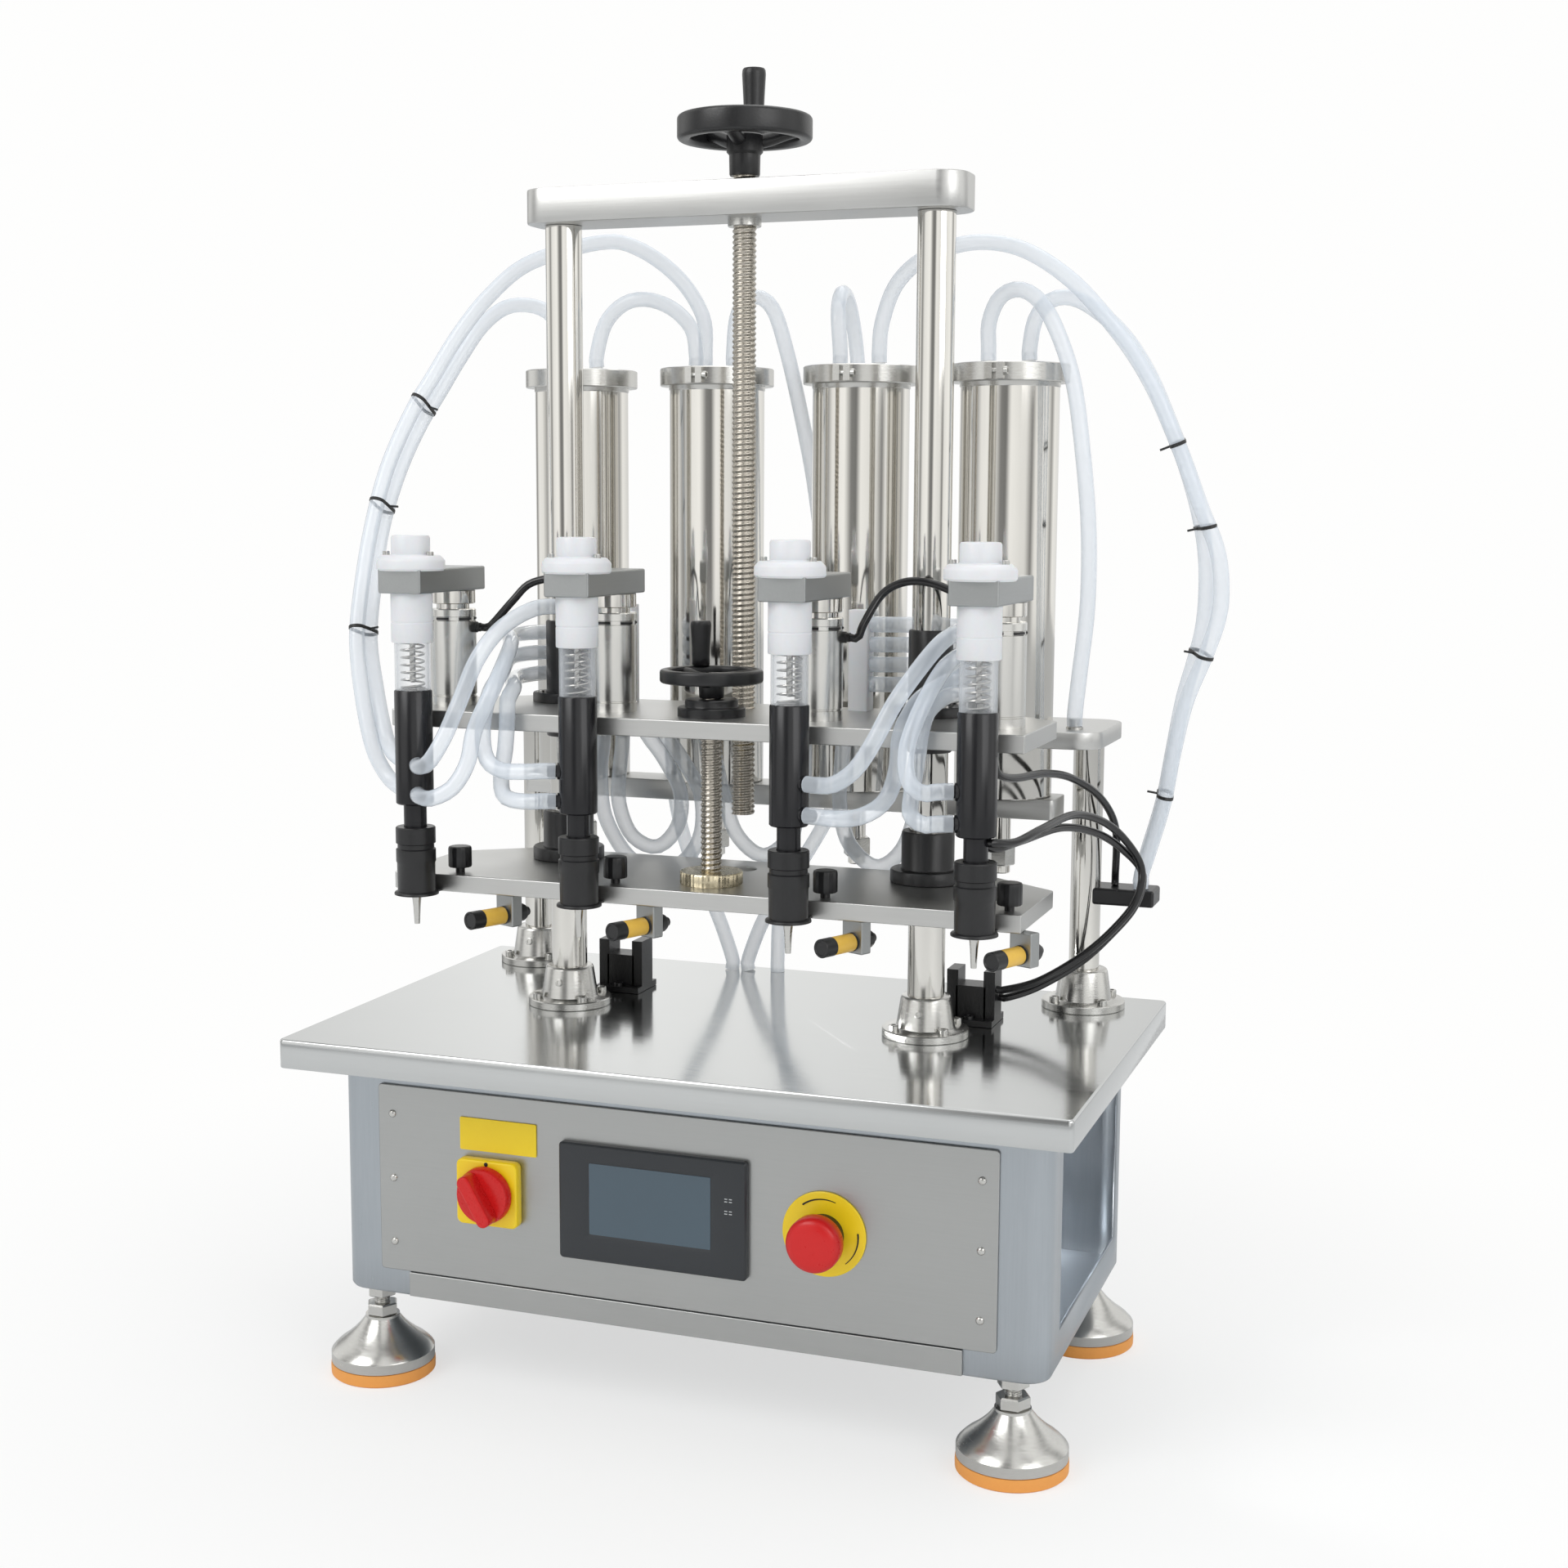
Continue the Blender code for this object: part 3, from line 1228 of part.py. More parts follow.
def build_valve(number, body, white):
    x = NOZZLE_XS[number]
    low = TABLE_Z + LIFT_BRACKET_RISE
    flange_low = TABLE_Z + HEAD_FLANGE_RISE
    flange_top = flange_low + HEAD_FLANGE_HEIGHT
    cap_top = flange_top + HEAD_CAP_HEIGHT
    sleeve_low = TABLE_Z + SLEEVE_RISE
    half = LIFT_BRACKET_HALF_WIDTH
    bracket = block(
        (x - half, LIFT_BRACKET_FRONT_Y, low),
        (x + half, LIFT_BRACKET_BACK_Y, flange_low + HEAD_CHAMFER / 2),
    )
    cap_low = low - LIFT_CAP_HEIGHT
    rod_low = cap_low - LIFT_ROD_LENGTH
    rod = turned(
        [
            (0.0, low + OVERRUN),
            (ACTUATOR_RADIUS - GAP, low + OVERRUN),
            (ACTUATOR_RADIUS - GAP, cap_low),
            (LIFT_ROD_RADIUS, cap_low),
            (LIFT_ROD_RADIUS, rod_low),
            (0.0, rod_low),
        ],
        SIDES_SMALL,
        (x, ACTUATOR_Y, 0.0),
    )
    head = turned(
        [
            (0.0, cap_top),
            (HEAD_CAP_RADIUS, cap_top),
            (HEAD_CAP_RADIUS, flange_top),
            (HEAD_FLANGE_RADIUS - HEAD_CHAMFER, flange_top),
            (HEAD_FLANGE_RADIUS, flange_top - HEAD_CHAMFER),
            (HEAD_FLANGE_RADIUS, flange_low),
            (SLEEVE_RADIUS, flange_low),
            (SLEEVE_RADIUS, sleeve_low),
            (SLEEVE_BORE, sleeve_low),
            (SLEEVE_BORE, sleeve_low + SLEEVE_BORE_DEPTH),
            (NEEDLE_RADIUS, sleeve_low + SLEEVE_BORE_DEPTH),
            (NEEDLE_RADIUS, TABLE_Z + NEEDLE_END_RISE),
            (0.0, TABLE_Z + NEEDLE_END_RISE),
        ],
        SIDES_SMALL,
        (x, NOZZLE_Y, 0.0),
    )
    piece(f"valve_head_{number + 1}", body, white, head, joins=[bracket, rod])


def actuator_ways():
    """Direction of the air port on each actuator."""
    return [(1.0, 0.0), (-1.0, 0.0), (1.0, 0.0), (0.0, 1.0)]


def actuator_port(number, extra):
    """Point on an actuator's air port, past its end by the extra length."""
    way = actuator_ways()[number]
    reach = ACTUATOR_RADIUS + ACTUATOR_PORT_REACH + extra
    return above_table(
        NOZZLE_XS[number] + reach * way[0], ACTUATOR_Y + reach * way[1], ACTUATOR_PORT_RISE
    )


def spring_line(x, low, high):
    """One unbroken wire: rising curls with a straight end square to each seat."""
    turns = SPRING_CURLS
    count = turns * SPRING_POINTS_PER_CURL
    lead = 2 * SPRING_WIRE_RADIUS
    start = low + lead
    rise = high - low - 2 * lead
    points = [(x + SPRING_RADIUS, NOZZLE_Y, low)]
    for step in range(count + 1):
        angle = math.tau * step / SPRING_POINTS_PER_CURL
        points.append(
            (
                x + SPRING_RADIUS * math.cos(angle),
                NOZZLE_Y + SPRING_RADIUS * math.sin(angle),
                start + rise * step / count,
            )
        )
    points.append((x + SPRING_RADIUS, NOZZLE_Y, high))
    return points


def least_gap(points):
    """Least distance between wire surfaces of points more than half a curl apart."""
    line = np.array(points)
    apart = np.linalg.norm(line[:, None, :] - line[None, :, :], axis=2)
    index = np.arange(len(line))
    far = np.abs(index[:, None] - index[None, :]) > SPRING_POINTS_PER_CURL // 2
    return apart[far].min() - 2 * SPRING_WIRE_RADIUS


def build_springs(carriage, steel):
    low = TABLE_Z + BODY_TOP_RISE + GAP
    high = TABLE_Z + SLEEVE_RISE + SLEEVE_BORE_DEPTH - GAP
    lines = [spring_line(x, low, high) for x in NOZZLE_XS]
    print("least gap between spring curls in metres:", round(least_gap(lines[0]), 5))
    for number, line in enumerate(lines):
        wire_piece(f"valve_spring_{number + 1}", carriage, steel, line, SPRING_WIRE_RADIUS, 1)


# Hose sets that ride on the carriage, each with its manifold block


def manifold_port(x, side, rise):
    """End of a hose a little way inside a manifold's face; side is a unit direction."""
    reach = MANIFOLD_HALF - HOSE_INSET
    return above_table(x + side[0] * reach, MANIFOLD_Y + side[1] * reach, rise)


def hose_set(name, carriage, clear, x, hoses, air_line, air_tie):
    """A manifold block with the hoses that end in it and the air line tied to them."""
    low = TABLE_Z + CARRIAGE_TOP_RISE + GAP
    manifold = block(
        (x - MANIFOLD_HALF, MANIFOLD_Y - MANIFOLD_HALF, low),
        (x + MANIFOLD_HALF, MANIFOLD_Y + MANIFOLD_HALF, TABLE_Z + MANIFOLD_TOP_RISE),
    )
    lines = []
    for number, rise, side, port_rise, via in hoses:
        way = barb_ways()[number]
        start = barb_tip(number, way, rise, GAP)
        end = manifold_port(x, side, port_rise)
        lines.append(
            flexible_line(start, (*way, 0.0), via, end, (*side, 0.0), HOSE_LEAD, HOSE_POINT_SPACING)
        )
    joins = [hose_shape(line) for line in lines]
    joins += [air_shape(air_line), tie_shape(air_line, air_tie, lines[0])]
    piece(name, carriage, clear, manifold, joins=joins)


def air_bridge(first, second, via):
    """The air line between two neighbouring actuators."""
    start_way = (*actuator_ways()[first], 0.0)
    end_way = (*actuator_ways()[second], 0.0)
    start = actuator_port(first, GAP)
    end = actuator_port(second, GAP)
    return flexible_line(start, start_way, via, end, end_way, TUBE_LEAD, TUBE_POINT_SPACING)


def build_left_hose_set(carriage, clear):
    left = (-1.0, 0.0)
    front = (0.0, -1.0)
    hoses = [
        (0, BODY_BARB_UPPER_RISE, front, PORT_RISES[3], [
            (-0.190, -0.143, 0.208), (-0.180, -0.138, 0.226), (-0.172, -0.128, 0.252),
            (-0.163, -0.116, 0.283), (-0.152, -0.098, 0.305), (-0.138, -0.072, 0.318),
            (-0.126, -0.045, 0.318), (-0.115, -0.015, 0.311),
        ]),
        (0, BODY_BARB_LOWER_RISE, left, PORT_RISES[2], [
            (-0.187, -0.145, 0.182), (-0.172, -0.141, 0.190), (-0.163, -0.134, 0.208),
            (-0.160, -0.128, 0.232), (-0.151, -0.119, 0.258), (-0.150, -0.098, 0.280),
            (-0.158, -0.072, 0.291), (-0.172, -0.044, 0.295), (-0.179, -0.008, 0.295),
            (-0.173, 0.027, 0.294), (-0.152, 0.040, 0.293), (-0.130, 0.028, 0.292),
        ]),
        (1, BODY_BARB_UPPER_RISE, left, PORT_RISES[1], [
            (-0.120, -0.129, 0.203), (-0.140, -0.127, 0.203), (-0.154, -0.122, 0.211),
            (-0.160, -0.115, 0.232), (-0.161, -0.102, 0.256), (-0.162, -0.080, 0.270),
            (-0.173, -0.046, 0.278), (-0.179, -0.008, 0.279), (-0.173, 0.027, 0.278),
            (-0.152, 0.040, 0.278), (-0.130, 0.028, 0.277),
        ]),
        (1, BODY_BARB_LOWER_RISE, left, PORT_RISES[0], [
            (-0.120, -0.128, 0.181), (-0.139, -0.122, 0.183), (-0.147, -0.112, 0.196),
            (-0.145, -0.1090, 0.216), (-0.143, -0.1090, 0.239), (-0.144, -0.1060, 0.252),
            (-0.147, -0.090, 0.260), (-0.170, -0.044, 0.262), (-0.179, -0.008, 0.262),
            (-0.173, 0.027, 0.262), (-0.152, 0.040, 0.262), (-0.130, 0.028, 0.262),
        ]),
    ]
    bridge = air_bridge(0, 1, [
        (-0.182, -0.052, 0.306), (-0.172, -0.040, 0.322), (-0.160, -0.034, 0.335),
        (-0.138, -0.031, 0.339), (-0.120, -0.036, 0.331), (-0.114, -0.050, 0.312),
    ])
    hose_set("left_hose_set", carriage, clear, LEFT_MANIFOLD_X, hoses, bridge, 0.75)


def build_right_hose_set(carriage, clear):
    right = (1.0, 0.0)
    hoses = [
        (2, BODY_BARB_UPPER_RISE, right, PORT_RISES[3], [
            (0.118, -0.131, 0.206), (0.133, -0.131, 0.217), (0.145, -0.128, 0.236),
            (0.157, -0.120, 0.262), (0.170, -0.106, 0.285), (0.181, -0.086, 0.303),
            (0.186, -0.050, 0.309), (0.184, -0.008, 0.308), (0.175, 0.027, 0.307),
            (0.150, 0.038, 0.306), (0.122, 0.028, 0.307),
        ]),
        (2, BODY_BARB_LOWER_RISE, right, PORT_RISES[1], [
            (0.118, -0.131, 0.182), (0.136, -0.128, 0.184), (0.150, -0.117, 0.194),
            (0.156, -0.110, 0.214), (0.158, -0.1090, 0.238), (0.163, -0.107, 0.252),
            (0.170, -0.094, 0.265), (0.184, -0.050, 0.277), (0.183, -0.008, 0.277),
            (0.175, 0.027, 0.277), (0.150, 0.038, 0.276), (0.122, 0.028, 0.277),
        ]),
        (3, BODY_BARB_UPPER_RISE, right, PORT_RISES[2], [
            (0.180, -0.131, 0.203), (0.171, -0.131, 0.211), (0.168, -0.128, 0.228),
            (0.171, -0.122, 0.246), (0.178, -0.110, 0.268), (0.185, -0.092, 0.286),
            (0.187, -0.050, 0.293), (0.184, -0.008, 0.293), (0.175, 0.027, 0.292),
            (0.150, 0.038, 0.291), (0.122, 0.028, 0.292),
        ]),
        (3, BODY_BARB_LOWER_RISE, right, PORT_RISES[0], [
            (0.181, -0.128, 0.181), (0.170, -0.121, 0.186), (0.168, -0.112, 0.200),
            (0.171, -0.1110, 0.222), (0.174, -0.1120, 0.243), (0.178, -0.109, 0.257),
            (0.184, -0.088, 0.265), (0.185, -0.050, 0.264), (0.183, -0.008, 0.262),
            (0.175, 0.027, 0.262), (0.150, 0.038, 0.262), (0.122, 0.028, 0.262),
        ]),
    ]
    bridge = air_bridge(2, 3, [
        (0.113, -0.051, 0.312), (0.122, -0.038, 0.332), (0.136, -0.031, 0.341),
        (0.155, -0.028, 0.341), (0.178, -0.024, 0.332), (0.197, -0.016, 0.321), (0.211, -0.014, 0.310),
    ])
    hose_set("right_hose_set", carriage, clear, RIGHT_MANIFOLD_X, hoses, bridge, 0.7)


def carriage_fittings():
    """Places of the barbs under the carriage plate."""
    return [(-0.092, 0.030), (-0.076, 0.030), (-0.035, 0.030), (0.072, 0.030)]


def rear_fittings():
    """Places of the barbs under the rear plate: four for the loops and one for a drain hose."""
    return [(-0.130, 0.070), (-0.146, 0.068), (0.028, 0.067), (0.122, 0.068), (-0.120, 0.150)]


# Hoses that join the fixed pumps to the carriage


def pump_port(number, side, extra):
    """Point on a pump barb's axis above its end; side is -1, 1, or 0 for the extra port."""
    x = PUMP_XS[number] + (EXTRA_PORT_OFFSET_X if side == 0 else side * PORT_OFFSET)
    y = PUMP_Y + (EXTRA_PORT_OFFSET_Y if side == 0 else PORT_Y_OFFSET)
    return above_table(x, y, PUMP_TOP_RISE + PUMP_CAP_HEIGHT + PUMP_BARB_HEIGHT + extra)


def tied_piece(name, body, material, shapes, ties):
    """One sub-part made of several tubes and the ties across them."""
    piece(name, body, material, shapes[0], joins=[*shapes[1:], *ties])


def build_left_lift_hoses(carriage, clear):
    up = (0.0, 0.0, 1.0)
    way = (-0.8, 0.6)
    routes = [
        (pump_port(1, 0, GAP), BODY_BARB_LOWER_RISE, [
            (-0.080, 0.122, 0.545), (-0.096, 0.110, 0.575), (-0.123, 0.093, 0.597),
            (-0.150, 0.080, 0.602), (-0.203, 0.060, 0.586), (-0.232, 0.045, 0.560),
            (-0.253, 0.030, 0.528), (-0.268, 0.015, 0.495), (-0.279, 0.000, 0.467),
            (-0.290, -0.020, 0.424), (-0.2935, -0.040, 0.378), (-0.2935, -0.058, 0.329),
            (-0.290, -0.072, 0.290), (-0.279, -0.084, 0.248), (-0.265, -0.094, 0.211),
            (-0.252, -0.096, 0.190),
        ]),
        (pump_port(0, -1, GAP), BODY_BARB_UPPER_RISE, [
            (-0.197, 0.093, 0.541), (-0.209, 0.084, 0.553), (-0.229, 0.071, 0.553),
            (-0.246, 0.059, 0.538), (-0.259, 0.045, 0.512), (-0.270, 0.030, 0.484),
            (-0.281, 0.014, 0.455), (-0.290, -0.004, 0.418), (-0.2935, -0.024, 0.376),
            (-0.292, -0.042, 0.329), (-0.288, -0.056, 0.290), (-0.276, -0.068, 0.252),
            (-0.263, -0.081, 0.226), (-0.251, -0.092, 0.210),
        ]),
    ]
    lines = []
    for start, rise, via in routes:
        end = barb_tip(0, way, rise, GAP)
        lines.append(flexible_line(start, up, via, end, (*way, 0.0), HOSE_LEAD, HOSE_POINT_SPACING))
    ties = [tie_shape(lines[1], share, lines[0]) for share in (0.4, 0.7)]
    tied_piece("left_lift_hoses", carriage, clear, [hose_shape(line) for line in lines], ties)


def build_lift_loops(carriage, clear):
    down = (0.0, 0.0, -1.0)
    loops = [
        [
            (-0.080, 0.038, 0.196), (-0.071, 0.050, 0.168), (-0.074, 0.052, 0.140),
            (-0.092, 0.052, 0.122), (-0.114, 0.052, 0.130), (-0.127, 0.056, 0.155), (-0.130, 0.064, 0.180),
        ],
        [
            (-0.063, 0.038, 0.194), (-0.053, 0.050, 0.165), (-0.056, 0.053, 0.130),
            (-0.078, 0.053, 0.106), (-0.112, 0.053, 0.108), (-0.138, 0.056, 0.140), (-0.146, 0.062, 0.175),
        ],
        [
            (-0.036, 0.038, 0.196), (-0.034, 0.050, 0.168), (-0.024, 0.053, 0.136),
            (-0.002, 0.054, 0.120), (0.020, 0.055, 0.136), (0.028, 0.062, 0.168),
        ],
        [
            (0.068, 0.038, 0.196), (0.063, 0.050, 0.165), (0.070, 0.053, 0.134),
            (0.092, 0.053, 0.117), (0.113, 0.054, 0.132), (0.122, 0.060, 0.165),
        ],
    ]
    reach = BARB_REACH + GAP
    lines = []
    for (start_x, start_y), via, (end_x, end_y) in zip(carriage_fittings(), loops, rear_fittings()):
        start = above_table(start_x, start_y, PLATE_RISE - reach)
        end = above_table(end_x, end_y, REAR_PLATE_RISE - reach)
        lines.append(flexible_line(start, down, via, end, down, HOSE_LEAD, HOSE_POINT_SPACING))
    ties = [
        tie_shape(lines[0], 0.5, lines[1]),
        tie_shape(lines[2], 0.25, lines[1]),
        tie_shape(lines[3], 0.3, lines[2]),
    ]
    tied_piece("lift_loops", carriage, clear, [hose_shape(line) for line in lines], ties)


def clip_port(x, y):
    """End of a tube that stands on the clip of the right rear post."""
    return above_table(x, y, CLIP_RISE + CLIP_HEIGHT + GAP)


def build_lift_tubes(carriage, black):
    up = (0.0, 0.0, 1.0)
    down = (0.0, 0.0, -1.0)
    right = (1.0, 0.0, 0.0)
    back = (0.0, 1.0, 0.0)
    bracket_x = BRACKET_XS[1] + BRACKET_HALF_WIDTH + GAP
    routes = [
        (above_table(0.214, -0.070, PLATE_RISE - GAP), down, clip_port(0.262, 0.145), up, [
            (0.216, -0.060, 0.209), (0.222, -0.030, 0.203), (0.232, 0.018, 0.201),
            (0.243, 0.060, 0.193), (0.257, 0.100, 0.174), (0.264, 0.130, 0.146),
        ]),
        (
            above_table(NOZZLE_XS[3] + NECK_RADIUS + GAP, NOZZLE_Y, UPPER_TUBE_RISE),
            right,
            above_table(bracket_x, 0.052, 0.028),
            right,
            [
                (0.239, -0.098, 0.168), (0.248, -0.060, 0.172), (0.257, 0.000, 0.174),
                (0.270, 0.040, 0.165), (0.283, 0.066, 0.148), (0.2935, 0.082, 0.124),
                (0.290, 0.085, 0.099), (0.275, 0.080, 0.077), (0.252, 0.072, 0.055), (0.222, 0.058, 0.036),
            ],
        ),
        (
            above_table(NOZZLE_XS[3], NOZZLE_Y + NECK_RADIUS + GAP, LOWER_TUBE_RISE),
            back,
            above_table(bracket_x, 0.061, 0.020),
            right,
            [
                (0.222, -0.090, 0.161), (0.236, -0.062, 0.164), (0.250, -0.004, 0.165),
                (0.266, 0.043, 0.155), (0.280, 0.074, 0.139), (0.2925, 0.093, 0.118),
                (0.287, 0.097, 0.092), (0.270, 0.091, 0.069), (0.248, 0.083, 0.047), (0.218, 0.070, 0.028),
            ],
        ),
    ]
    lines = [
        flexible_line(start, start_way, via, end, end_way, TUBE_LEAD, TUBE_POINT_SPACING)
        for start, start_way, end, end_way, via in routes
    ]
    ties = [
        tie_shape(lines[1], 0.45, lines[0]),
        tie_shape(lines[2], 0.5, lines[1]),
    ]
    tied_piece("lift_tubes", carriage, black, [air_shape(line) for line in lines], ties)


# Lower plate with its bushes, brass nut, collars, knobs and sensors


def lower_plate_fittings():
    """Shapes that stand on the lower plate, and the bores through them and the plate."""
    low = TABLE_Z + LOWER_PLATE_RISE
    high = TABLE_Z + LOWER_TOP_RISE
    lip_low = low + GAP
    lip_top = low + LIP_THICKNESS
    top = TABLE_Z + COLLAR_TOP_RISE
    ring_low = TABLE_Z + COLLAR_RING_RISE
    knob_low = high + KNOB_STUD_HEIGHT
    tongues, standing, bores, tips = [], [], [], []
    for x, offset in zip(NOZZLE_XS, KNOB_OFFSET_XS):
        centre = (x, NOZZLE_Y, 0.0)
        tongues.append(
            block(
                (x - COLLAR_LOW_RADIUS, NOZZLE_Y, lip_low + GAP),
                (x + COLLAR_LOW_RADIUS, PLATE_FRONT_Y + LIP_OVERLAP, lip_top - GAP),
            )
        )
        collar = [
            (0.0, top),
            (COLLAR_RING_RADIUS, top),
            (COLLAR_RING_RADIUS, ring_low),
            (COLLAR_LOW_RADIUS, lip_top),
            (LIP_RADIUS, lip_top),
            (LIP_RADIUS, lip_low),
            (0.0, lip_low),
        ]
        standing.append(turned(collar, SIDES_SMALL, centre))
        bores.append(cylinder(COLLAR_BORE, lip_top + COLLAR_FLOOR, top + OVERRUN, SIDES_SMALL, centre))
        tips.append(
            cylinder(TIP_HOLE_RADIUS, low - OVERRUN, lip_top + COLLAR_FLOOR + GAP, SIDES_TINY, centre)
        )
        knob = [
            (0.0, knob_low + KNOB_HEIGHT),
            (KNOB_RADIUS, knob_low + KNOB_HEIGHT),
            (KNOB_RADIUS, knob_low),
            (KNOB_STUD_RADIUS, knob_low),
            (KNOB_STUD_RADIUS, high - OVERRUN),
            (0.0, high - OVERRUN),
        ]
        standing.append(turned(knob, SIDES_TINY, (x + offset, KNOB_Y, 0.0)))
    bush_top = TABLE_Z + LOWER_BUSH_TOP_RISE
    flange_top = high + LOWER_BUSH_FLANGE_THICKNESS
    for x in (-FRONT_POST_X, FRONT_POST_X):
        centre = (x, FRONT_POST_Y, 0.0)
        bush = [
            (0.0, bush_top),
            (LOWER_BUSH_RADIUS, bush_top),
            (LOWER_BUSH_RADIUS, flange_top),
            (LOWER_BUSH_FLANGE_RADIUS, flange_top),
            (LOWER_BUSH_FLANGE_RADIUS, high - OVERRUN),
            (0.0, high - OVERRUN),
        ]
        standing.append(turned(bush, SIDES_MEDIUM, centre))
        bores.append(
            cylinder(FRONT_POST_RADIUS + GAP, low - OVERRUN, bush_top + OVERRUN, SIDES_MEDIUM, centre)
        )
    return tongues, standing, bores, tips


def build_lower_plate(lower, aluminium, brass):
    low = TABLE_Z + LOWER_PLATE_RISE
    high = TABLE_Z + LOWER_TOP_RISE
    tongues, standing, bores, tips = lower_plate_fittings()
    screw_centre = (0.0, LOWER_SCREW_Y, 0.0)
    bore_radius = turning_bore(LOWER_SCREW_RADIUS, SIDES_SMALL)
    bores.append(cylinder(bore_radius, low - OVERRUN, high + OVERRUN, SIDES_SMALL, screw_centre))
    passage = LIFT_SCREW_RADIUS + LIFT_SCREW_PASSAGE
    bores.append(cylinder(passage, low - OVERRUN, high + OVERRUN, SIDES_SMALL, (0.0, FRONT_POST_Y, 0.0)))
    piece(
        "lower_plate",
        lower,
        aluminium,
        prism(plate_outline(), low, high),
        joins=[gathered(tongues), gathered(standing)],
        cuts=[gathered(bores), gathered(tips)],
    )
    nut_low = high + GAP
    nut = tube(SCREW_NUT_RADIUS, bore_radius, nut_low, nut_low + SCREW_NUT_HEIGHT, SIDES_SMALL, screw_centre)
    piece("screw_nut", lower, brass, nut)


def build_sensors(lower, yellow):
    high = TABLE_Z + LOWER_PLATE_RISE - GAP
    level = TABLE_Z + SENSOR_RISE
    for number, tip_x in enumerate(SENSOR_TIP_XS):
        place = Matrix.Translation((tip_x, SENSOR_TIP_Y, level)) @ Matrix.Rotation(SENSOR_TURN, 4, "Z")
        barrel = cylinder(SENSOR_RADIUS, -SENSOR_LENGTH, 0.0, SIDES_SMALL, (0.0, 0.0, 0.0), "y")
        clip = block(
            (-SENSOR_CLIP_HALF_WIDTH, SENSOR_CLIP_OFFSET - SENSOR_CLIP_LENGTH / 2, -SENSOR_CLIP_DROP),
            (SENSOR_CLIP_HALF_WIDTH, SENSOR_CLIP_OFFSET + SENSOR_CLIP_LENGTH / 2, high - level),
        )
        name = f"bottle_sensor_{number + 1}"
        piece(name, lower, yellow, moved(barrel, place), joins=[moved(clip, place)])


# Rear plate, pumps and the crosshead that carries their pistons


def build_rear_plate(base, aluminium):
    low = TABLE_Z + REAR_PLATE_RISE
    high = low + PLATE_THICKNESS
    half_depth = (REAR_PLATE_BACK_Y - REAR_PLATE_FRONT_Y) / 2
    middle = (0.0, (REAR_PLATE_BACK_Y + REAR_PLATE_FRONT_Y) / 2)
    outline = rounded_rectangle(REAR_PLATE_HALF_WIDTH, half_depth, REAR_PLATE_CORNER, middle)
    holes = [
        cylinder(PUMP_RADIUS + GAP, low - OVERRUN, high + OVERRUN, SIDES_LARGE, (x, PUMP_Y, 0.0))
        for x in PUMP_XS
    ]
    fittings = [
        cylinder(FITTING_RADIUS, low - BARB_REACH, low + OVERRUN, SIDES_TINY, (x, y, 0.0))
        for x, y in rear_fittings()
    ]
    x, y = PLATE_HOSE_END
    fittings.append(cylinder(FITTING_RADIUS, high - OVERRUN, high + BARB_REACH, SIDES_TINY, (x, y, 0.0)))
    piece(
        "rear_plate",
        base,
        aluminium,
        prism(outline, low, high),
        joins=[gathered(fittings)],
        cuts=[gathered(holes)],
    )


def build_pump(number, base, chrome):
    x = PUMP_XS[number]
    inner = PUMP_RADIUS - PUMP_WALL
    low = TABLE_Z + TIE_BAR_RISE + TIE_BAR_THICKNESS + GAP
    clamp_low = TABLE_Z + CLAMP_RISE
    clamp_high = clamp_low + CLAMP_HEIGHT
    cap_high = TABLE_Z + PUMP_TOP_RISE + PUMP_CAP_HEIGHT
    roof = TABLE_Z + PUMP_TOP_RISE - PUMP_CAP_SPIGOT
    profile = [
        (0.0, cap_high),
        (PUMP_CAP_RADIUS, cap_high),
        (PUMP_CAP_RADIUS, clamp_high),
        (CLAMP_RADIUS, clamp_high),
        (CLAMP_RADIUS, clamp_low),
        (PUMP_RADIUS, clamp_low),
        (PUMP_RADIUS, low),
        (inner, low),
        (inner, roof),
        (0.0, roof),
    ]
    lug = block(
        (x - CLAMP_LUG_WIDTH / 2, PUMP_Y - CLAMP_RADIUS - CLAMP_LUG_REACH, clamp_low + GAP),
        (x + CLAMP_LUG_WIDTH / 2, PUMP_Y - CLAMP_RADIUS + OVERRUN, clamp_high - GAP),
    )
    sides = (-1, 1, 0) if number == 1 else (-1, 1)
    barbs = []
    for side in sides:
        tip = pump_port(number, side, 0.0)
        barbs.append(cylinder(BARB_RADIUS, cap_high - OVERRUN, tip.z, SIDES_TINY, (tip.x, tip.y, 0.0)))
    barrel = turned(profile, SIDES_LARGE, (x, PUMP_Y, 0.0))
    piece(f"pump_{number + 1}", base, chrome, barrel, joins=[gathered([lug, *barbs])])


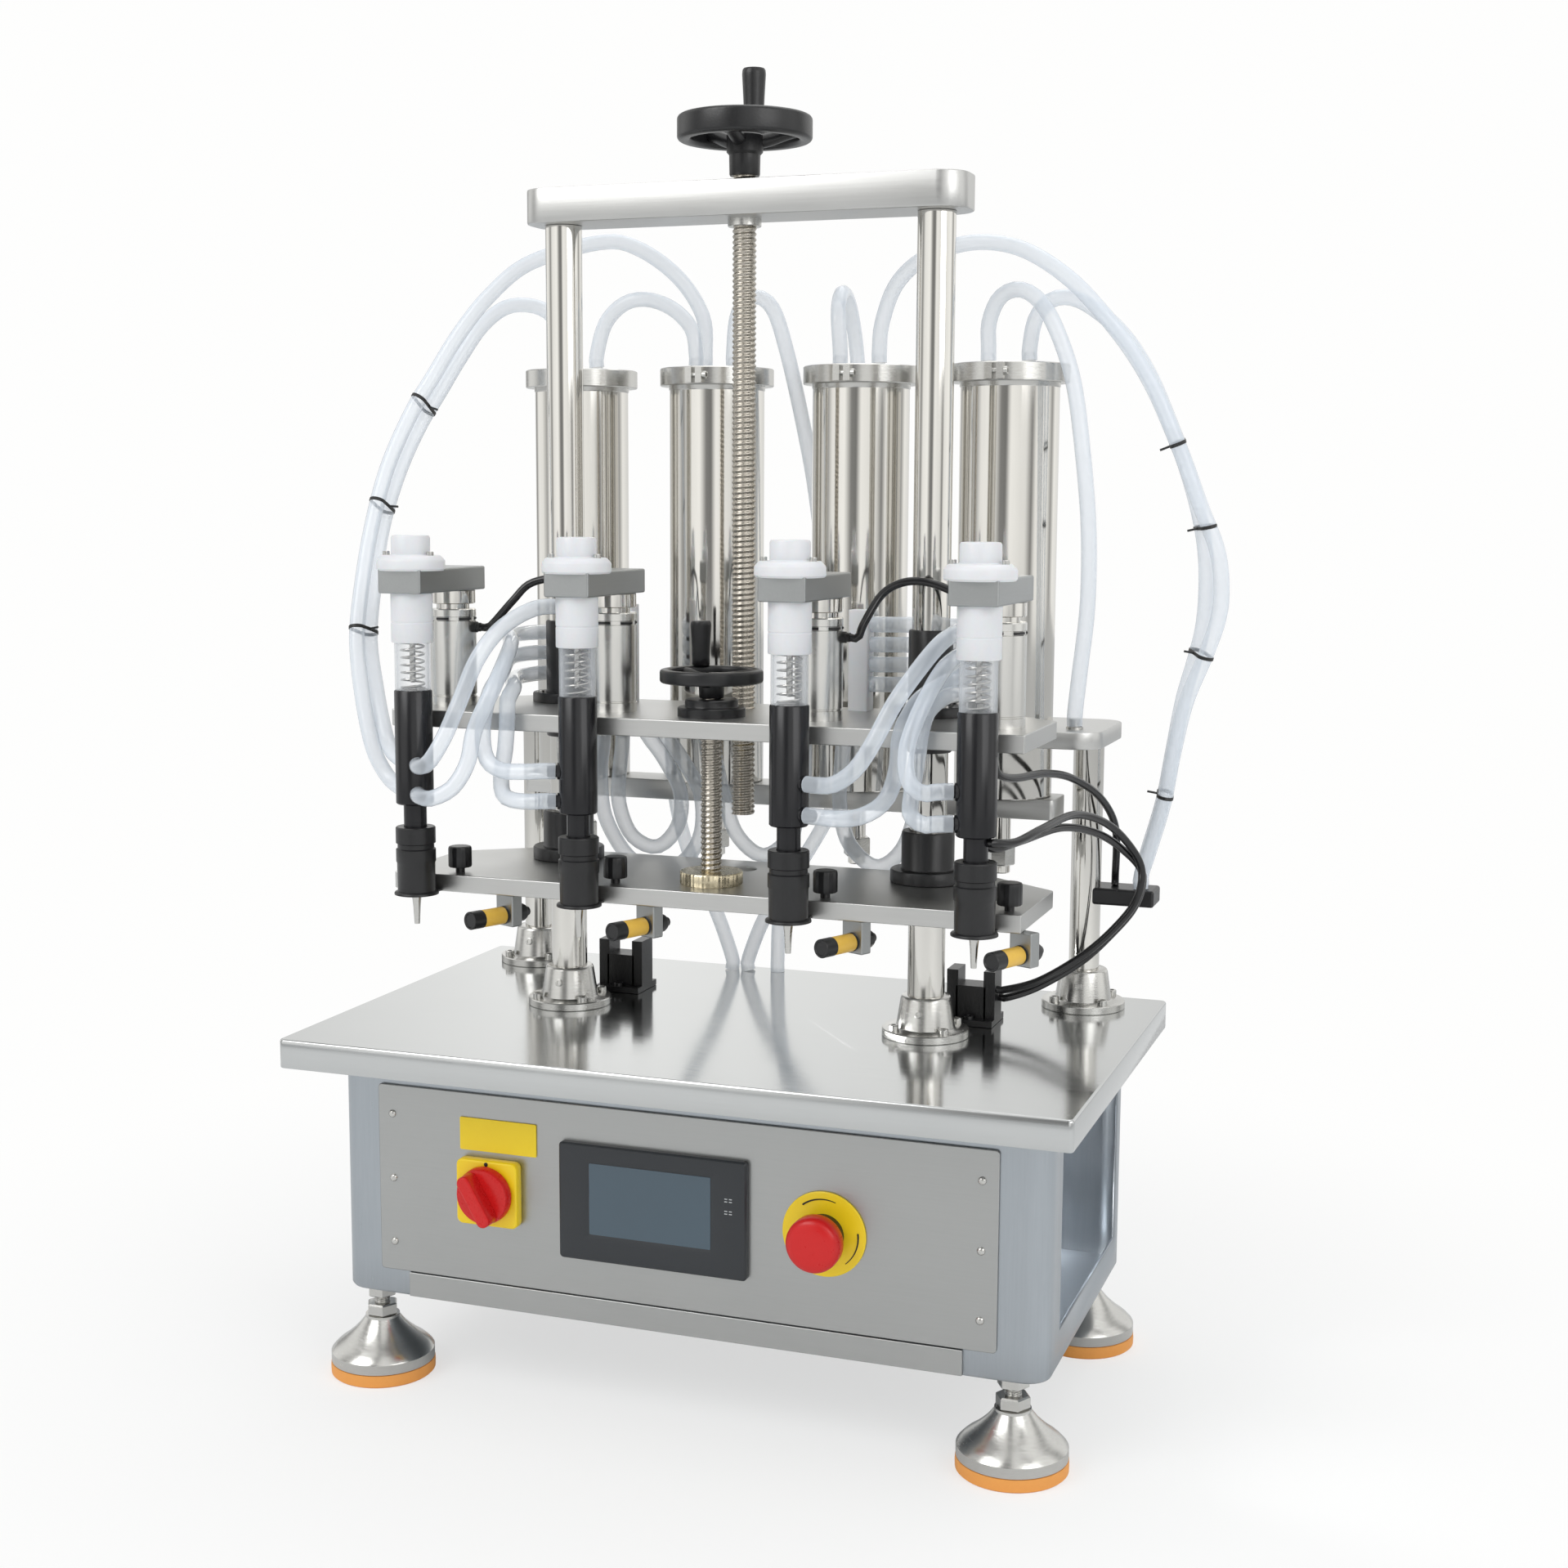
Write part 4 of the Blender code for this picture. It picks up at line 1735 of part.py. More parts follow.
def build_crosshead(crosshead, aluminium):
    low = TABLE_Z + TIE_BAR_RISE
    high = low + TIE_BAR_THICKNESS
    bar = block(
        (-TIE_BAR_HALF_WIDTH, PUMP_Y - TIE_BAR_HALF_DEPTH, low),
        (TIE_BAR_HALF_WIDTH, PUMP_Y + TIE_BAR_HALF_DEPTH, high),
    )
    crown = TABLE_Z + PISTON_RISE
    nut_low = TABLE_Z + STROKE_NUT_RISE
    nut_high = nut_low + STROKE_NUT_HEIGHT
    rod_end = TABLE_Z + PISTON_ROD_END_RISE
    radius = PUMP_RADIUS - PUMP_WALL - PISTON_CLEARANCE
    profile = [
        (0.0, crown + OVERRUN),
        (PISTON_ROD_RADIUS, crown + OVERRUN),
        (PISTON_ROD_RADIUS, nut_high),
        (STROKE_NUT_RADIUS, nut_high),
        (STROKE_NUT_RADIUS, nut_low),
        (PISTON_ROD_RADIUS, nut_low),
        (PISTON_ROD_RADIUS, rod_end),
        (0.0, rod_end),
    ]
    rods, pistons = [], []
    for x in PUMP_XS:
        centre = (x, PUMP_Y, 0.0)
        rods.append(turned(profile, SIDES_TINY, centre))
        pistons.append(cylinder(radius, crown, crown + PISTON_HEIGHT, SIDES_LARGE, centre))
    piece("piston_crosshead", crosshead, aluminium, bar, joins=[gathered(rods), gathered(pistons)])


# Hoses that stay with the fixed frame


def build_transfer_hose(base, clear):
    up = (0.0, 0.0, 1.0)
    via = [
        (-0.155, 0.097, 0.540), (-0.138, 0.096, 0.555), (-0.118, 0.096, 0.558),
        (-0.096, 0.096, 0.550), (-0.080, 0.097, 0.534),
    ]
    start = pump_port(0, 1, GAP)
    end = pump_port(1, -1, GAP)
    line = flexible_line(start, up, via, end, up, HOSE_LEAD, HOSE_POINT_SPACING)
    wire_piece("transfer_hose", base, clear, line, HOSE_RADIUS, HOSE_BEVEL_RESOLUTION)


def build_drain_hoses(base, clear):
    up = (0.0, 0.0, 1.0)
    down = (0.0, 0.0, -1.0)
    table = GAP
    x, y = rear_fittings()[4]
    routes = [
        (pump_port(1, 1, GAP), up, above_table(-0.030, 0.168, table), up, [
            (-0.041, 0.098, 0.545), (-0.028, 0.099, 0.558), (-0.013, 0.101, 0.549),
            (-0.003, 0.107, 0.516), (0.004, 0.128, 0.459), (0.008, 0.150, 0.400),
            (0.009, 0.168, 0.330), (0.006, 0.1765, 0.262), (0.000, 0.1770, 0.215),
            (-0.010, 0.1765, 0.160), (-0.022, 0.174, 0.100), (-0.029, 0.170, 0.050),
        ]),
        (pump_port(2, -1, GAP), up, above_table(-0.055, 0.164, table), up, [
            (0.042, 0.100, 0.545), (0.040, 0.116, 0.561), (0.039, 0.140, 0.550),
            (0.040, 0.157, 0.510), (0.042, 0.163, 0.440), (0.044, 0.169, 0.340),
            (0.043, 0.1765, 0.262), (0.038, 0.1770, 0.215), (0.020, 0.171, 0.150),
            (-0.010, 0.161, 0.092), (-0.038, 0.161, 0.050),
        ]),
        (above_table(x, y, REAR_PLATE_RISE - BARB_REACH - GAP), down, above_table(-0.070, 0.164, table), up, [
            (-0.118, 0.152, 0.150), (-0.107, 0.157, 0.100), (-0.085, 0.162, 0.052),
        ]),
    ]
    lines = [
        flexible_line(start, start_way, via, end, end_way, HOSE_LEAD, HOSE_POINT_SPACING)
        for start, start_way, end, end_way, via in routes
    ]
    ties = [tie_shape(lines[1], 0.86, lines[0]), tie_shape(lines[2], 0.92, lines[1])]
    tied_piece("drain_hoses", base, clear, [hose_shape(line) for line in lines], ties)


def build_right_hoses(base, clear):
    up = (0.0, 0.0, 1.0)
    plate_end = above_table(*PLATE_HOSE_END, REAR_PLATE_RISE + PLATE_THICKNESS + BARB_REACH + GAP)
    routes = [
        (pump_port(2, 1, GAP), clip_port(0.284, 0.136), [
            (0.079, 0.096, 0.535), (0.091, 0.090, 0.562), (0.112, 0.085, 0.580),
            (0.142, 0.081, 0.590), (0.170, 0.080, 0.591), (0.198, 0.080, 0.583),
            (0.228, 0.084, 0.563), (0.253, 0.089, 0.537), (0.274, 0.094, 0.510),
            (0.290, 0.099, 0.483), (0.303, 0.104, 0.454), (0.315, 0.109, 0.424),
            (0.326, 0.113, 0.394), (0.338, 0.116, 0.364), (0.342, 0.118, 0.336),
            (0.340, 0.120, 0.312), (0.331, 0.122, 0.284), (0.317, 0.125, 0.248),
            (0.308, 0.128, 0.208), (0.301, 0.131, 0.168), (0.290, 0.134, 0.128),
        ]),
        (pump_port(3, 1, GAP), clip_port(0.282, 0.151), [
            (0.200, 0.096, 0.536), (0.212, 0.094, 0.549), (0.229, 0.096, 0.550),
            (0.248, 0.102, 0.539), (0.267, 0.109, 0.520), (0.284, 0.115, 0.493),
            (0.298, 0.120, 0.461), (0.311, 0.125, 0.427), (0.321, 0.128, 0.394),
            (0.327, 0.131, 0.362), (0.328, 0.134, 0.330), (0.326, 0.136, 0.304),
            (0.320, 0.138, 0.278), (0.312, 0.140, 0.248), (0.305, 0.143, 0.208),
            (0.298, 0.146, 0.168), (0.287, 0.149, 0.128),
        ]),
        (pump_port(3, -1, GAP), plate_end, [
            (0.165, 0.092, 0.534), (0.175, 0.084, 0.551), (0.191, 0.078, 0.556),
            (0.207, 0.077, 0.547), (0.221, 0.077, 0.524), (0.234, 0.078, 0.486),
            (0.242, 0.080, 0.432), (0.247, 0.082, 0.377), (0.247, 0.084, 0.322),
            (0.242, 0.086, 0.272),
        ]),
    ]
    lines = [
        flexible_line(start, up, via, end, up, HOSE_LEAD, HOSE_POINT_SPACING) for start, end, via in routes
    ]
    ties = [tie_shape(lines[1], share, lines[0]) for share in (0.25, 0.55, 0.88)]
    ties.append(tie_shape(lines[2], 0.16, lines[1]))
    tied_piece("right_hoses", base, clear, [hose_shape(line) for line in lines], ties)


# Inside the cabinet


def build_drive(base, black, grey):
    z = TABLE_Z - MOTOR_DROP
    centre = (0.0, MOTOR_Y, z)
    floor = FOOT_RISE + CABINET_SHEET + GAP
    motor = turned(
        [
            (0.0, MOTOR_END_X),
            (MOTOR_CAP_RADIUS, MOTOR_END_X),
            (MOTOR_CAP_RADIUS, MOTOR_END_X - MOTOR_CAP_LENGTH),
            (MOTOR_RADIUS, MOTOR_END_X - MOTOR_CAP_LENGTH),
            (MOTOR_RADIUS, MOTOR_END_X - MOTOR_LENGTH),
            (0.0, MOTOR_END_X - MOTOR_LENGTH),
        ],
        SIDES_LARGE,
        centre,
        "x",
    )
    foot_start = MOTOR_END_X - MOTOR_LENGTH + (MOTOR_LENGTH - MOTOR_FOOT_LENGTH) / 2
    foot = block(
        (foot_start, MOTOR_Y - MOTOR_FOOT_WIDTH / 2, floor),
        (foot_start + MOTOR_FOOT_LENGTH, MOTOR_Y + MOTOR_FOOT_WIDTH / 2, z),
    )
    piece("drive_motor", base, black, motor, joins=[foot])
    back = CABINET_DEPTH / 2 - CABINET_SHEET - CONTROL_BOX_BACK_MARGIN
    box = block(
        (CONTROL_BOX_X - CONTROL_BOX_WIDTH / 2, back - CONTROL_BOX_DEPTH, floor),
        (CONTROL_BOX_X + CONTROL_BOX_WIDTH / 2, back, floor + CONTROL_BOX_HEIGHT),
    )
    piece("control_box", base, grey, box)


def grip_place(radius, rim_width, angle, centre_y, height):
    """Where a handwheel's grip stands on its rim."""
    reach = radius - rim_width / 2
    return (reach * math.cos(angle), centre_y + reach * math.sin(angle), height)


def build_base(base, metal, plastic, clear):
    build_feet(base, metal["steel"])
    build_table(base, metal["steel"])
    build_cabinet(base, metal["steel"])
    build_front_panel(base, metal["steel"])
    build_touch_screen(base, plastic["navy"], plastic["screen"])
    build_posts(base, metal["chrome"])
    build_top_bar(base, metal["aluminium"])
    build_rear_plate(base, metal["aluminium"])
    for number in range(len(PUMP_XS)):
        build_pump(number, base, metal["chrome"])
    build_transfer_hose(base, clear)
    build_drain_hoses(base, clear)
    build_right_hoses(base, clear)
    build_drive(base, plastic["black"], plastic["grey"])
    switch = empty_at("switch_axis", (SWITCH_X, PANEL_FRONT_Y, TABLE_Z - SWITCH_DROP), base)
    build_switch(base, switch, plastic["yellow"], plastic["red"])
    stop = empty_at("stop_axis", (ESTOP_X, PANEL_FRONT_Y, TABLE_Z - ESTOP_DROP), base)
    build_emergency_stop(base, stop, plastic["yellow"], plastic["red"])
    crosshead = empty_at("crosshead_axis", (0.0, PUMP_Y, TABLE_Z + TIE_BAR_RISE), base)
    build_crosshead(crosshead, metal["aluminium"])
    spindle = empty_at("top_spindle_axis", (0.0, FRONT_POST_Y, TABLE_Z + BAR_RISE), base)
    rim_top = TABLE_Z + TOP_WHEEL_RIM_RISE + TOP_WHEEL_RIM_HEIGHT
    place = grip_place(TOP_WHEEL_RADIUS, TOP_WHEEL_RIM_WIDTH, TOP_GRIP_ANGLE, FRONT_POST_Y, rim_top)
    grip = empty_at("top_grip_axis", place, spindle)
    build_top_wheel(spindle, grip, plastic["black"], metal["steel"])


def build_moving(base, metal, plastic, clear):
    carriage = empty_at("carriage_axis", (0.0, FRONT_POST_Y, TABLE_Z + PLATE_RISE), base)
    build_carriage(carriage, metal["aluminium"], metal["brass"])
    for number, x in enumerate(NOZZLE_XS):
        build_nozzle(number, carriage, plastic["black"])
        axis = empty_at(f"needle_axis_{number + 1}", (x, NOZZLE_Y, TABLE_Z + SLEEVE_RISE), carriage)
        build_valve(number, axis, plastic["white"])
    build_springs(carriage, metal["chrome"])
    build_left_hose_set(carriage, clear)
    build_right_hose_set(carriage, clear)
    build_left_lift_hoses(carriage, clear)
    build_lift_loops(carriage, clear)
    build_lift_tubes(carriage, plastic["black"])
    lower = empty_at("lower_axis", (0.0, LOWER_SCREW_Y, TABLE_Z + LOWER_PLATE_RISE), carriage)
    build_lower_plate(lower, metal["aluminium"], metal["brass"])
    build_sensors(lower, plastic["yellow"])
    spindle = empty_at("lower_spindle_axis", (0.0, LOWER_SCREW_Y, TABLE_Z + CARRIAGE_TOP_RISE), carriage)
    rim_top = TABLE_Z + LOWER_WHEEL_RIM_RISE + LOWER_WHEEL_RIM_HEIGHT
    place = grip_place(LOWER_WHEEL_RADIUS, LOWER_WHEEL_RIM_WIDTH, LOWER_GRIP_ANGLE, LOWER_SCREW_Y, rim_top)
    grip = empty_at("lower_grip_axis", place, spindle)
    build_lower_wheel(spindle, grip, plastic["black"], metal["steel"])


def build_all():
    for old in list(bpy.data.objects):
        bpy.data.objects.remove(old)
    metal = {
        "steel": finish("brushed stainless", (0.62, 0.62, 0.61), 0.32, 1.0),
        "chrome": finish("polished steel", (0.72, 0.70, 0.67), 0.12, 1.0),
        "aluminium": finish("satin aluminium", (0.66, 0.67, 0.68), 0.42, 1.0),
        "brass": finish("brass", (0.72, 0.58, 0.30), 0.28, 1.0),
    }
    plastic = {
        "black": finish("black plastic", (0.012, 0.013, 0.014), 0.38, 0.0),
        "white": finish("white plastic", (0.86, 0.86, 0.86), 0.40, 0.0),
        "yellow": finish("yellow plastic", (0.92, 0.72, 0.02), 0.42, 0.0),
        "red": finish("red plastic", (0.72, 0.02, 0.02), 0.35, 0.0),
        "navy": finish("dark bezel", (0.02, 0.03, 0.045), 0.28, 0.0),
        "screen": finish("screen glass", (0.07, 0.13, 0.19), 0.08, 0.0),
        "grey": finish("grey enclosure", (0.42, 0.43, 0.44), 0.50, 0.0),
    }
    clear = finish("clear hose", (0.80, 0.86, 0.90), 0.10, 0.0, 0.45)
    base = empty_at("base_frame", (0.0, 0.0, 0.0))
    build_base(base, metal, plastic, clear)
    build_moving(base, metal, plastic, clear)


build_all()
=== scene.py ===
import math

import bmesh
import bpy
import numpy as np
from mathutils import Matrix, Vector


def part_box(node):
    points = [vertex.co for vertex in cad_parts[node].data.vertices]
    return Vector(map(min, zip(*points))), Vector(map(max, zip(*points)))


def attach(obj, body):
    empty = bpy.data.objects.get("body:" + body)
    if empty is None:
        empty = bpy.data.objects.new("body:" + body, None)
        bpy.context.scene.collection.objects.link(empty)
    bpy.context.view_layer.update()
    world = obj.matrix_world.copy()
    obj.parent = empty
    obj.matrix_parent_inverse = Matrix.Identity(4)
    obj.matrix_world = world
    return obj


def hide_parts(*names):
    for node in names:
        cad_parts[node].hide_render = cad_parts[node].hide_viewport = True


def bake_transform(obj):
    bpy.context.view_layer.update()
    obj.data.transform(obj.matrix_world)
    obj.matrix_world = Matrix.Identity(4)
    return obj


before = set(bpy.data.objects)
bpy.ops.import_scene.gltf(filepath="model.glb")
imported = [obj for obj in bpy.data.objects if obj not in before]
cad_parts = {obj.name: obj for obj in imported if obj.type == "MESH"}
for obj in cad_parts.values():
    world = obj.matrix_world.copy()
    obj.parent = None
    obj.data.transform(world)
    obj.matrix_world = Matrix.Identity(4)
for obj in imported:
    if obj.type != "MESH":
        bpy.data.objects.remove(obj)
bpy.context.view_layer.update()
scene = bpy.context.scene
TABLE = 0.272

# Camera, floor and light.
# A 49 mm lens right of the machine and a little above its middle, a pale floor, and soft
# white light from above and both sides, with grey bands for the polished steel to mirror.

camera = bpy.data.objects.new("camera", bpy.data.cameras.new("camera"))
scene.collection.objects.link(camera)
camera.data.lens = 49.005
camera.data.sensor_width = 36.0
camera.data.clip_start = 0.05
camera.matrix_world = Matrix(
    (
        (0.941936, -0.049511, 0.332122, 0.572753),
        (0.335753, 0.123701, -0.933792, -1.512901),
        (0.005149, 0.991084, 0.133142, TABLE + 0.401350),
        (0.0, 0.0, 0.0, 1.0),
    )
)
scene.camera = camera

ground = bpy.data.meshes.new("floor")
ground.from_pydata([(-9, -9, 0), (9, -9, 0), (9, 9, 0), (-9, 9, 0)], [], [(0, 1, 2, 3)])
floor = bpy.data.objects.new("floor", ground)
scene.collection.objects.link(floor)
paper = bpy.data.materials.new("pale paper")
paper.use_nodes = True
nodes, links = paper.node_tree.nodes, paper.node_tree.links
shader = nodes["Principled BSDF"]
shader.inputs["Base Color"].default_value = (0.93, 0.93, 0.92, 1.0)
shader.inputs["Roughness"].default_value = 0.9
glow = nodes.new("ShaderNodeEmission")
glow.inputs["Color"].default_value = (0.99, 0.99, 0.985, 1.0)
path = nodes.new("ShaderNodeLightPath")
spot = nodes.new("ShaderNodeTexCoord")
far = nodes.new("ShaderNodeVectorMath")
far.operation = "LENGTH"
fade = nodes.new("ShaderNodeMapRange")
fade.interpolation_type = "SMOOTHSTEP"
fade.inputs["From Min"].default_value = 0.30
fade.inputs["From Max"].default_value = 0.95
fade.inputs["To Min"].default_value = 0.62
fade.inputs["To Max"].default_value = 1.0
share = nodes.new("ShaderNodeMath")
share.operation = "MULTIPLY"
mix = nodes.new("ShaderNodeMixShader")
links.new(spot.outputs["Object"], far.inputs[0])
links.new(far.outputs["Value"], fade.inputs["Value"])
links.new(fade.outputs["Result"], share.inputs[1])
links.new(path.outputs["Is Camera Ray"], share.inputs[0])
links.new(share.outputs[0], mix.inputs[0])
links.new(shader.outputs[0], mix.inputs[1])
links.new(glow.outputs[0], mix.inputs[2])
links.new(mix.outputs[0], nodes["Material Output"].inputs["Surface"])
ground.materials.append(paper)

world = bpy.data.worlds.new("studio")
scene.world = world
world.use_nodes = True
nodes, links = world.node_tree.nodes, world.node_tree.links
soft = nodes["Background"]
soft.inputs["Color"].default_value = (0.96, 0.98, 1.0, 1.0)
soft.inputs["Strength"].default_value = 0.62
white = nodes.new("ShaderNodeBackground")
white.inputs["Color"].default_value = (0.99, 0.99, 0.985, 1.0)
bands = nodes.new("ShaderNodeBackground")
place = nodes.new("ShaderNodeTexCoord")
split = nodes.new("ShaderNodeSeparateXYZ")
turn = nodes.new("ShaderNodeMath")
turn.operation = "ARCTAN2"
scaled = nodes.new("ShaderNodeMapRange")
scaled.inputs["From Min"].default_value = -math.pi
scaled.inputs["From Max"].default_value = math.pi
ramp = nodes.new("ShaderNodeValToRGB")
stops = [
    (0.00, 1.10), (0.06, 0.34), (0.10, 1.10), (0.19, 1.25), (0.235, 0.30), (0.270, 0.24), (0.30, 1.20),
    (0.40, 1.00), (0.440, 0.26), (0.470, 1.10), (0.56, 1.25), (0.61, 0.42), (0.65, 1.15),
    (0.76, 0.80), (0.82, 1.20), (0.90, 0.30), (0.94, 1.10),
]
while len(ramp.color_ramp.elements) < len(stops):
    ramp.color_ramp.elements.new(0.5)
for element, (where, tone) in zip(ramp.color_ramp.elements, stops):
    element.position = where
    element.color = (tone, tone, tone * 0.985, 1.0)
rays = nodes.new("ShaderNodeLightPath")
first = nodes.new("ShaderNodeMixShader")
second = nodes.new("ShaderNodeMixShader")
seen = nodes.new("ShaderNodeMath")
seen.operation = "MAXIMUM"
links.new(place.outputs["Generated"], split.inputs[0])
links.new(split.outputs["Y"], turn.inputs[0])
links.new(split.outputs["X"], turn.inputs[1])
links.new(turn.outputs[0], scaled.inputs["Value"])
links.new(scaled.outputs["Result"], ramp.inputs["Fac"])
links.new(ramp.outputs["Color"], bands.inputs["Color"])
links.new(rays.outputs["Is Camera Ray"], seen.inputs[0])
links.new(rays.outputs["Is Transmission Ray"], seen.inputs[1])
links.new(seen.outputs[0], first.inputs[0])
links.new(soft.outputs[0], first.inputs[1])
links.new(white.outputs[0], first.inputs[2])
links.new(rays.outputs["Is Glossy Ray"], second.inputs[0])
links.new(first.outputs[0], second.inputs[1])
links.new(bands.outputs[0], second.inputs[2])
links.new(second.outputs[0], nodes["World Output"].inputs["Surface"])

for name, spot, size, power in (
    ("key_light", (-1.3, -1.9, 2.3), 1.6, 26.0),
    ("fill_light", (1.9, -1.1, 1.5), 1.3, 12.0),
    ("top_light", (0.2, 0.5, 2.6), 1.8, 14.0),
    ("cabinet_light", (0.06, -0.04, 0.236), 0.10, 0.9),
):
    lamp = bpy.data.objects.new(name, bpy.data.lights.new(name, "AREA"))
    lamp.data.size = size
    lamp.data.energy = power
    lamp.location = spot
    aim = Vector((0.22, 0.09, 0.08)) if size < 0.5 else Vector((0.0, 0.0, 0.5))
    lamp.rotation_euler = (aim - Vector(spot)).to_track_quat("-Z", "Y").to_euler()
    scene.collection.objects.link(lamp)
scene.view_settings.view_transform = "Standard"

# Clear filling hoses.
# Soft extruded tube, 12 mm outside, slightly milky, pushed over plastic barbs. Each one is a
# round tube carried along a smooth curve through the points where the real hose passes.


def smooth_line(points, spacing):
    """A curve through the points: each stretch is a cubic whose slopes join the points on
    either side, read again at even steps along its length."""
    knots = [np.array(point, float) for point in points]
    knots = [2 * knots[0] - knots[1], *knots, 2 * knots[-1] - knots[-2]]
    shares = np.linspace(0.0, 1.0, 24, endpoint=False)[:, None]
    dense = [
        0.5
        * (
            2 * b
            + (c - a) * shares
            + (2 * a - 5 * b + 4 * c - d) * shares**2
            + (3 * b - a - 3 * c + d) * shares**3
        )
        for a, b, c, d in zip(knots, knots[1:], knots[2:], knots[3:])
    ]
    line = np.vstack([*dense, knots[-2][None, :]])
    travel = np.concatenate([[0.0], np.cumsum(np.linalg.norm(np.diff(line, axis=0), axis=1))])
    stations = np.linspace(0.0, travel[-1], max(6, round(travel[-1] / spacing) + 1))
    return np.column_stack([np.interp(stations, travel, line[:, axis]) for axis in range(3)])


def hose_line(start, start_way, via, end, end_way, lead=0.010, spacing=0.006):
    """A smooth line that leaves both ends straight; the points between are above the table."""
    first = np.array(start) + lead * np.array(Vector(start_way).normalized())
    last = np.array(end) + lead * np.array(Vector(end_way).normalized())
    between = [(x, y, TABLE + z) for x, y, z in via]
    return smooth_line([tuple(start), tuple(first), *between, tuple(last), tuple(end)], spacing)


def grid_faces(rows, columns, wrap_rows=False, wrap_columns=True):
    """Four-cornered faces between neighbouring rows and columns of a grid of points."""
    row, column = np.meshgrid(
        np.arange(rows if wrap_rows else rows - 1),
        np.arange(columns if wrap_columns else columns - 1),
        indexing="ij",
    )
    below, beside = (row + 1) % rows, (column + 1) % columns
    corners = [row * columns + column, row * columns + beside, below * columns + beside, below * columns + column]
    return np.stack(corners, axis=-1).reshape(-1, 4).tolist()


def swept(line, radius, sides=16, caps=True):
    """A round tube: a circle carried along the line, kept from twisting by turning it from
    each step to the next about the axis square to both. The radius may change along it."""
    line = np.asarray(line, float)
    way = np.gradient(line, axis=0)
    way /= np.linalg.norm(way, axis=1)[:, None]
    side = np.zeros_like(line)
    side[0] = np.cross(way[0], (0.3, 0.4, 0.86))
    side[0] /= np.linalg.norm(side[0])
    for step in range(1, len(line)):
        across = side[step - 1] - way[step] * (side[step - 1] @ way[step])
        side[step] = across / np.linalg.norm(across)
    other = np.cross(way, side)
    angle = np.linspace(0.0, math.tau, sides, endpoint=False)
    size = np.broadcast_to(np.asarray(radius, float), (len(line),))[:, None, None]
    circle = side[:, None, :] * np.cos(angle)[None, :, None] + other[:, None, :] * np.sin(angle)[None, :, None]
    points = (line[:, None, :] + size * circle).reshape(-1, 3)
    faces = grid_faces(len(line), sides)
    if caps:
        last = (len(line) - 1) * sides
        faces += [list(range(sides)), list(range(last, last + sides))]
    return points, faces


def made(name, parts, body, material, replaces=(), bevel=0.0, segments=2, thickness=0.0, smooth=32.0):
    """One piece from several point-and-face sets, closed and facing outwards, riding on a body."""
    shape = bmesh.new()
    for points, faces in parts:
        mesh = bpy.data.meshes.new(name)
        mesh.from_pydata(np.asarray(points, float).tolist(), [], faces)
        shape.from_mesh(mesh)
        bpy.data.meshes.remove(mesh)
    bmesh.ops.remove_doubles(shape, verts=shape.verts[:], dist=1e-6)
    bmesh.ops.dissolve_degenerate(shape, edges=shape.edges[:], dist=1e-7)
    bmesh.ops.recalc_face_normals(shape, faces=shape.faces[:])
    mesh = bpy.data.meshes.new(name)
    shape.to_mesh(mesh)
    shape.free()
    piece = bpy.data.objects.new(name, mesh)
    scene.collection.objects.link(piece)
    mesh.materials.append(material)
    mesh.shade_smooth()
    mesh.set_sharp_from_angle(angle=math.radians(smooth))
    corners = np.empty(len(mesh.polygons), int)
    mesh.polygons.foreach_get("loop_total", corners)
    rim = np.empty(len(mesh.loops), int)
    mesh.loops.foreach_get("edge_index", rim)
    crisp = np.zeros(len(mesh.edges), bool)
    mesh.edges.foreach_get("use_edge_sharp", crisp)
    crisp[rim[np.repeat(corners > 4, corners)]] = True
    mesh.edges.foreach_set("use_edge_sharp", crisp)
    if thickness:
        wall = piece.modifiers.new("wall", "SOLIDIFY")
        wall.thickness = thickness
        wall.offset = -1.0
        wall.use_even_offset = True
    if bevel:
        edge = piece.modifiers.new("edges", "BEVEL")
        edge.width = bevel
        edge.segments = segments
        edge.limit_method = "ANGLE"
        edge.angle_limit = math.radians(35.0)
        edge.harden_normals = True
    if body:
        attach(piece, body)
    if replaces:
        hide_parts(*replaces)
    return piece


def shader_group(name, sockets):
    """An empty shader group with the sockets named (name, direction, type, value)."""
    group = bpy.data.node_groups.new(name, "ShaderNodeTree")
    for label, direction, kind, value in sockets:
        socket = group.interface.new_socket(name=label, in_out=direction, socket_type=kind)
        if value is not None:
            socket.default_value = value
    entry = group.nodes.new("NodeGroupInput")
    leave = group.nodes.new("NodeGroupOutput")
    return group, entry, leave


# Fine unevenness: a slow cloudy tone and a small height, read at the surface's own place.
uneven, entry, leave = shader_group(
    "surface unevenness",
    [
        ("Vector", "INPUT", "NodeSocketVector", None),
        ("Stretch", "INPUT", "NodeSocketVector", (1.0, 1.0, 1.0)),
        ("Fine", "INPUT", "NodeSocketFloat", 900.0),
        ("Tone", "OUTPUT", "NodeSocketFloat", None),
        ("Height", "OUTPUT", "NodeSocketFloat", None),
    ],
)
nodes, links = uneven.nodes, uneven.links
pull = nodes.new("ShaderNodeVectorMath")
pull.operation = "MULTIPLY"
cloud = nodes.new("ShaderNodeTexNoise")
cloud.inputs["Scale"].default_value = 14.0
cloud.inputs["Detail"].default_value = 3.0
grain = nodes.new("ShaderNodeTexNoise")
grain.inputs["Detail"].default_value = 4.0
grain.inputs["Roughness"].default_value = 0.62
links.new(entry.outputs["Vector"], pull.inputs[0])
links.new(entry.outputs["Stretch"], pull.inputs[1])
links.new(entry.outputs["Vector"], cloud.inputs["Vector"])
links.new(pull.outputs[0], grain.inputs["Vector"])
links.new(entry.outputs["Fine"], grain.inputs["Scale"])
both = nodes.new("ShaderNodeMath")
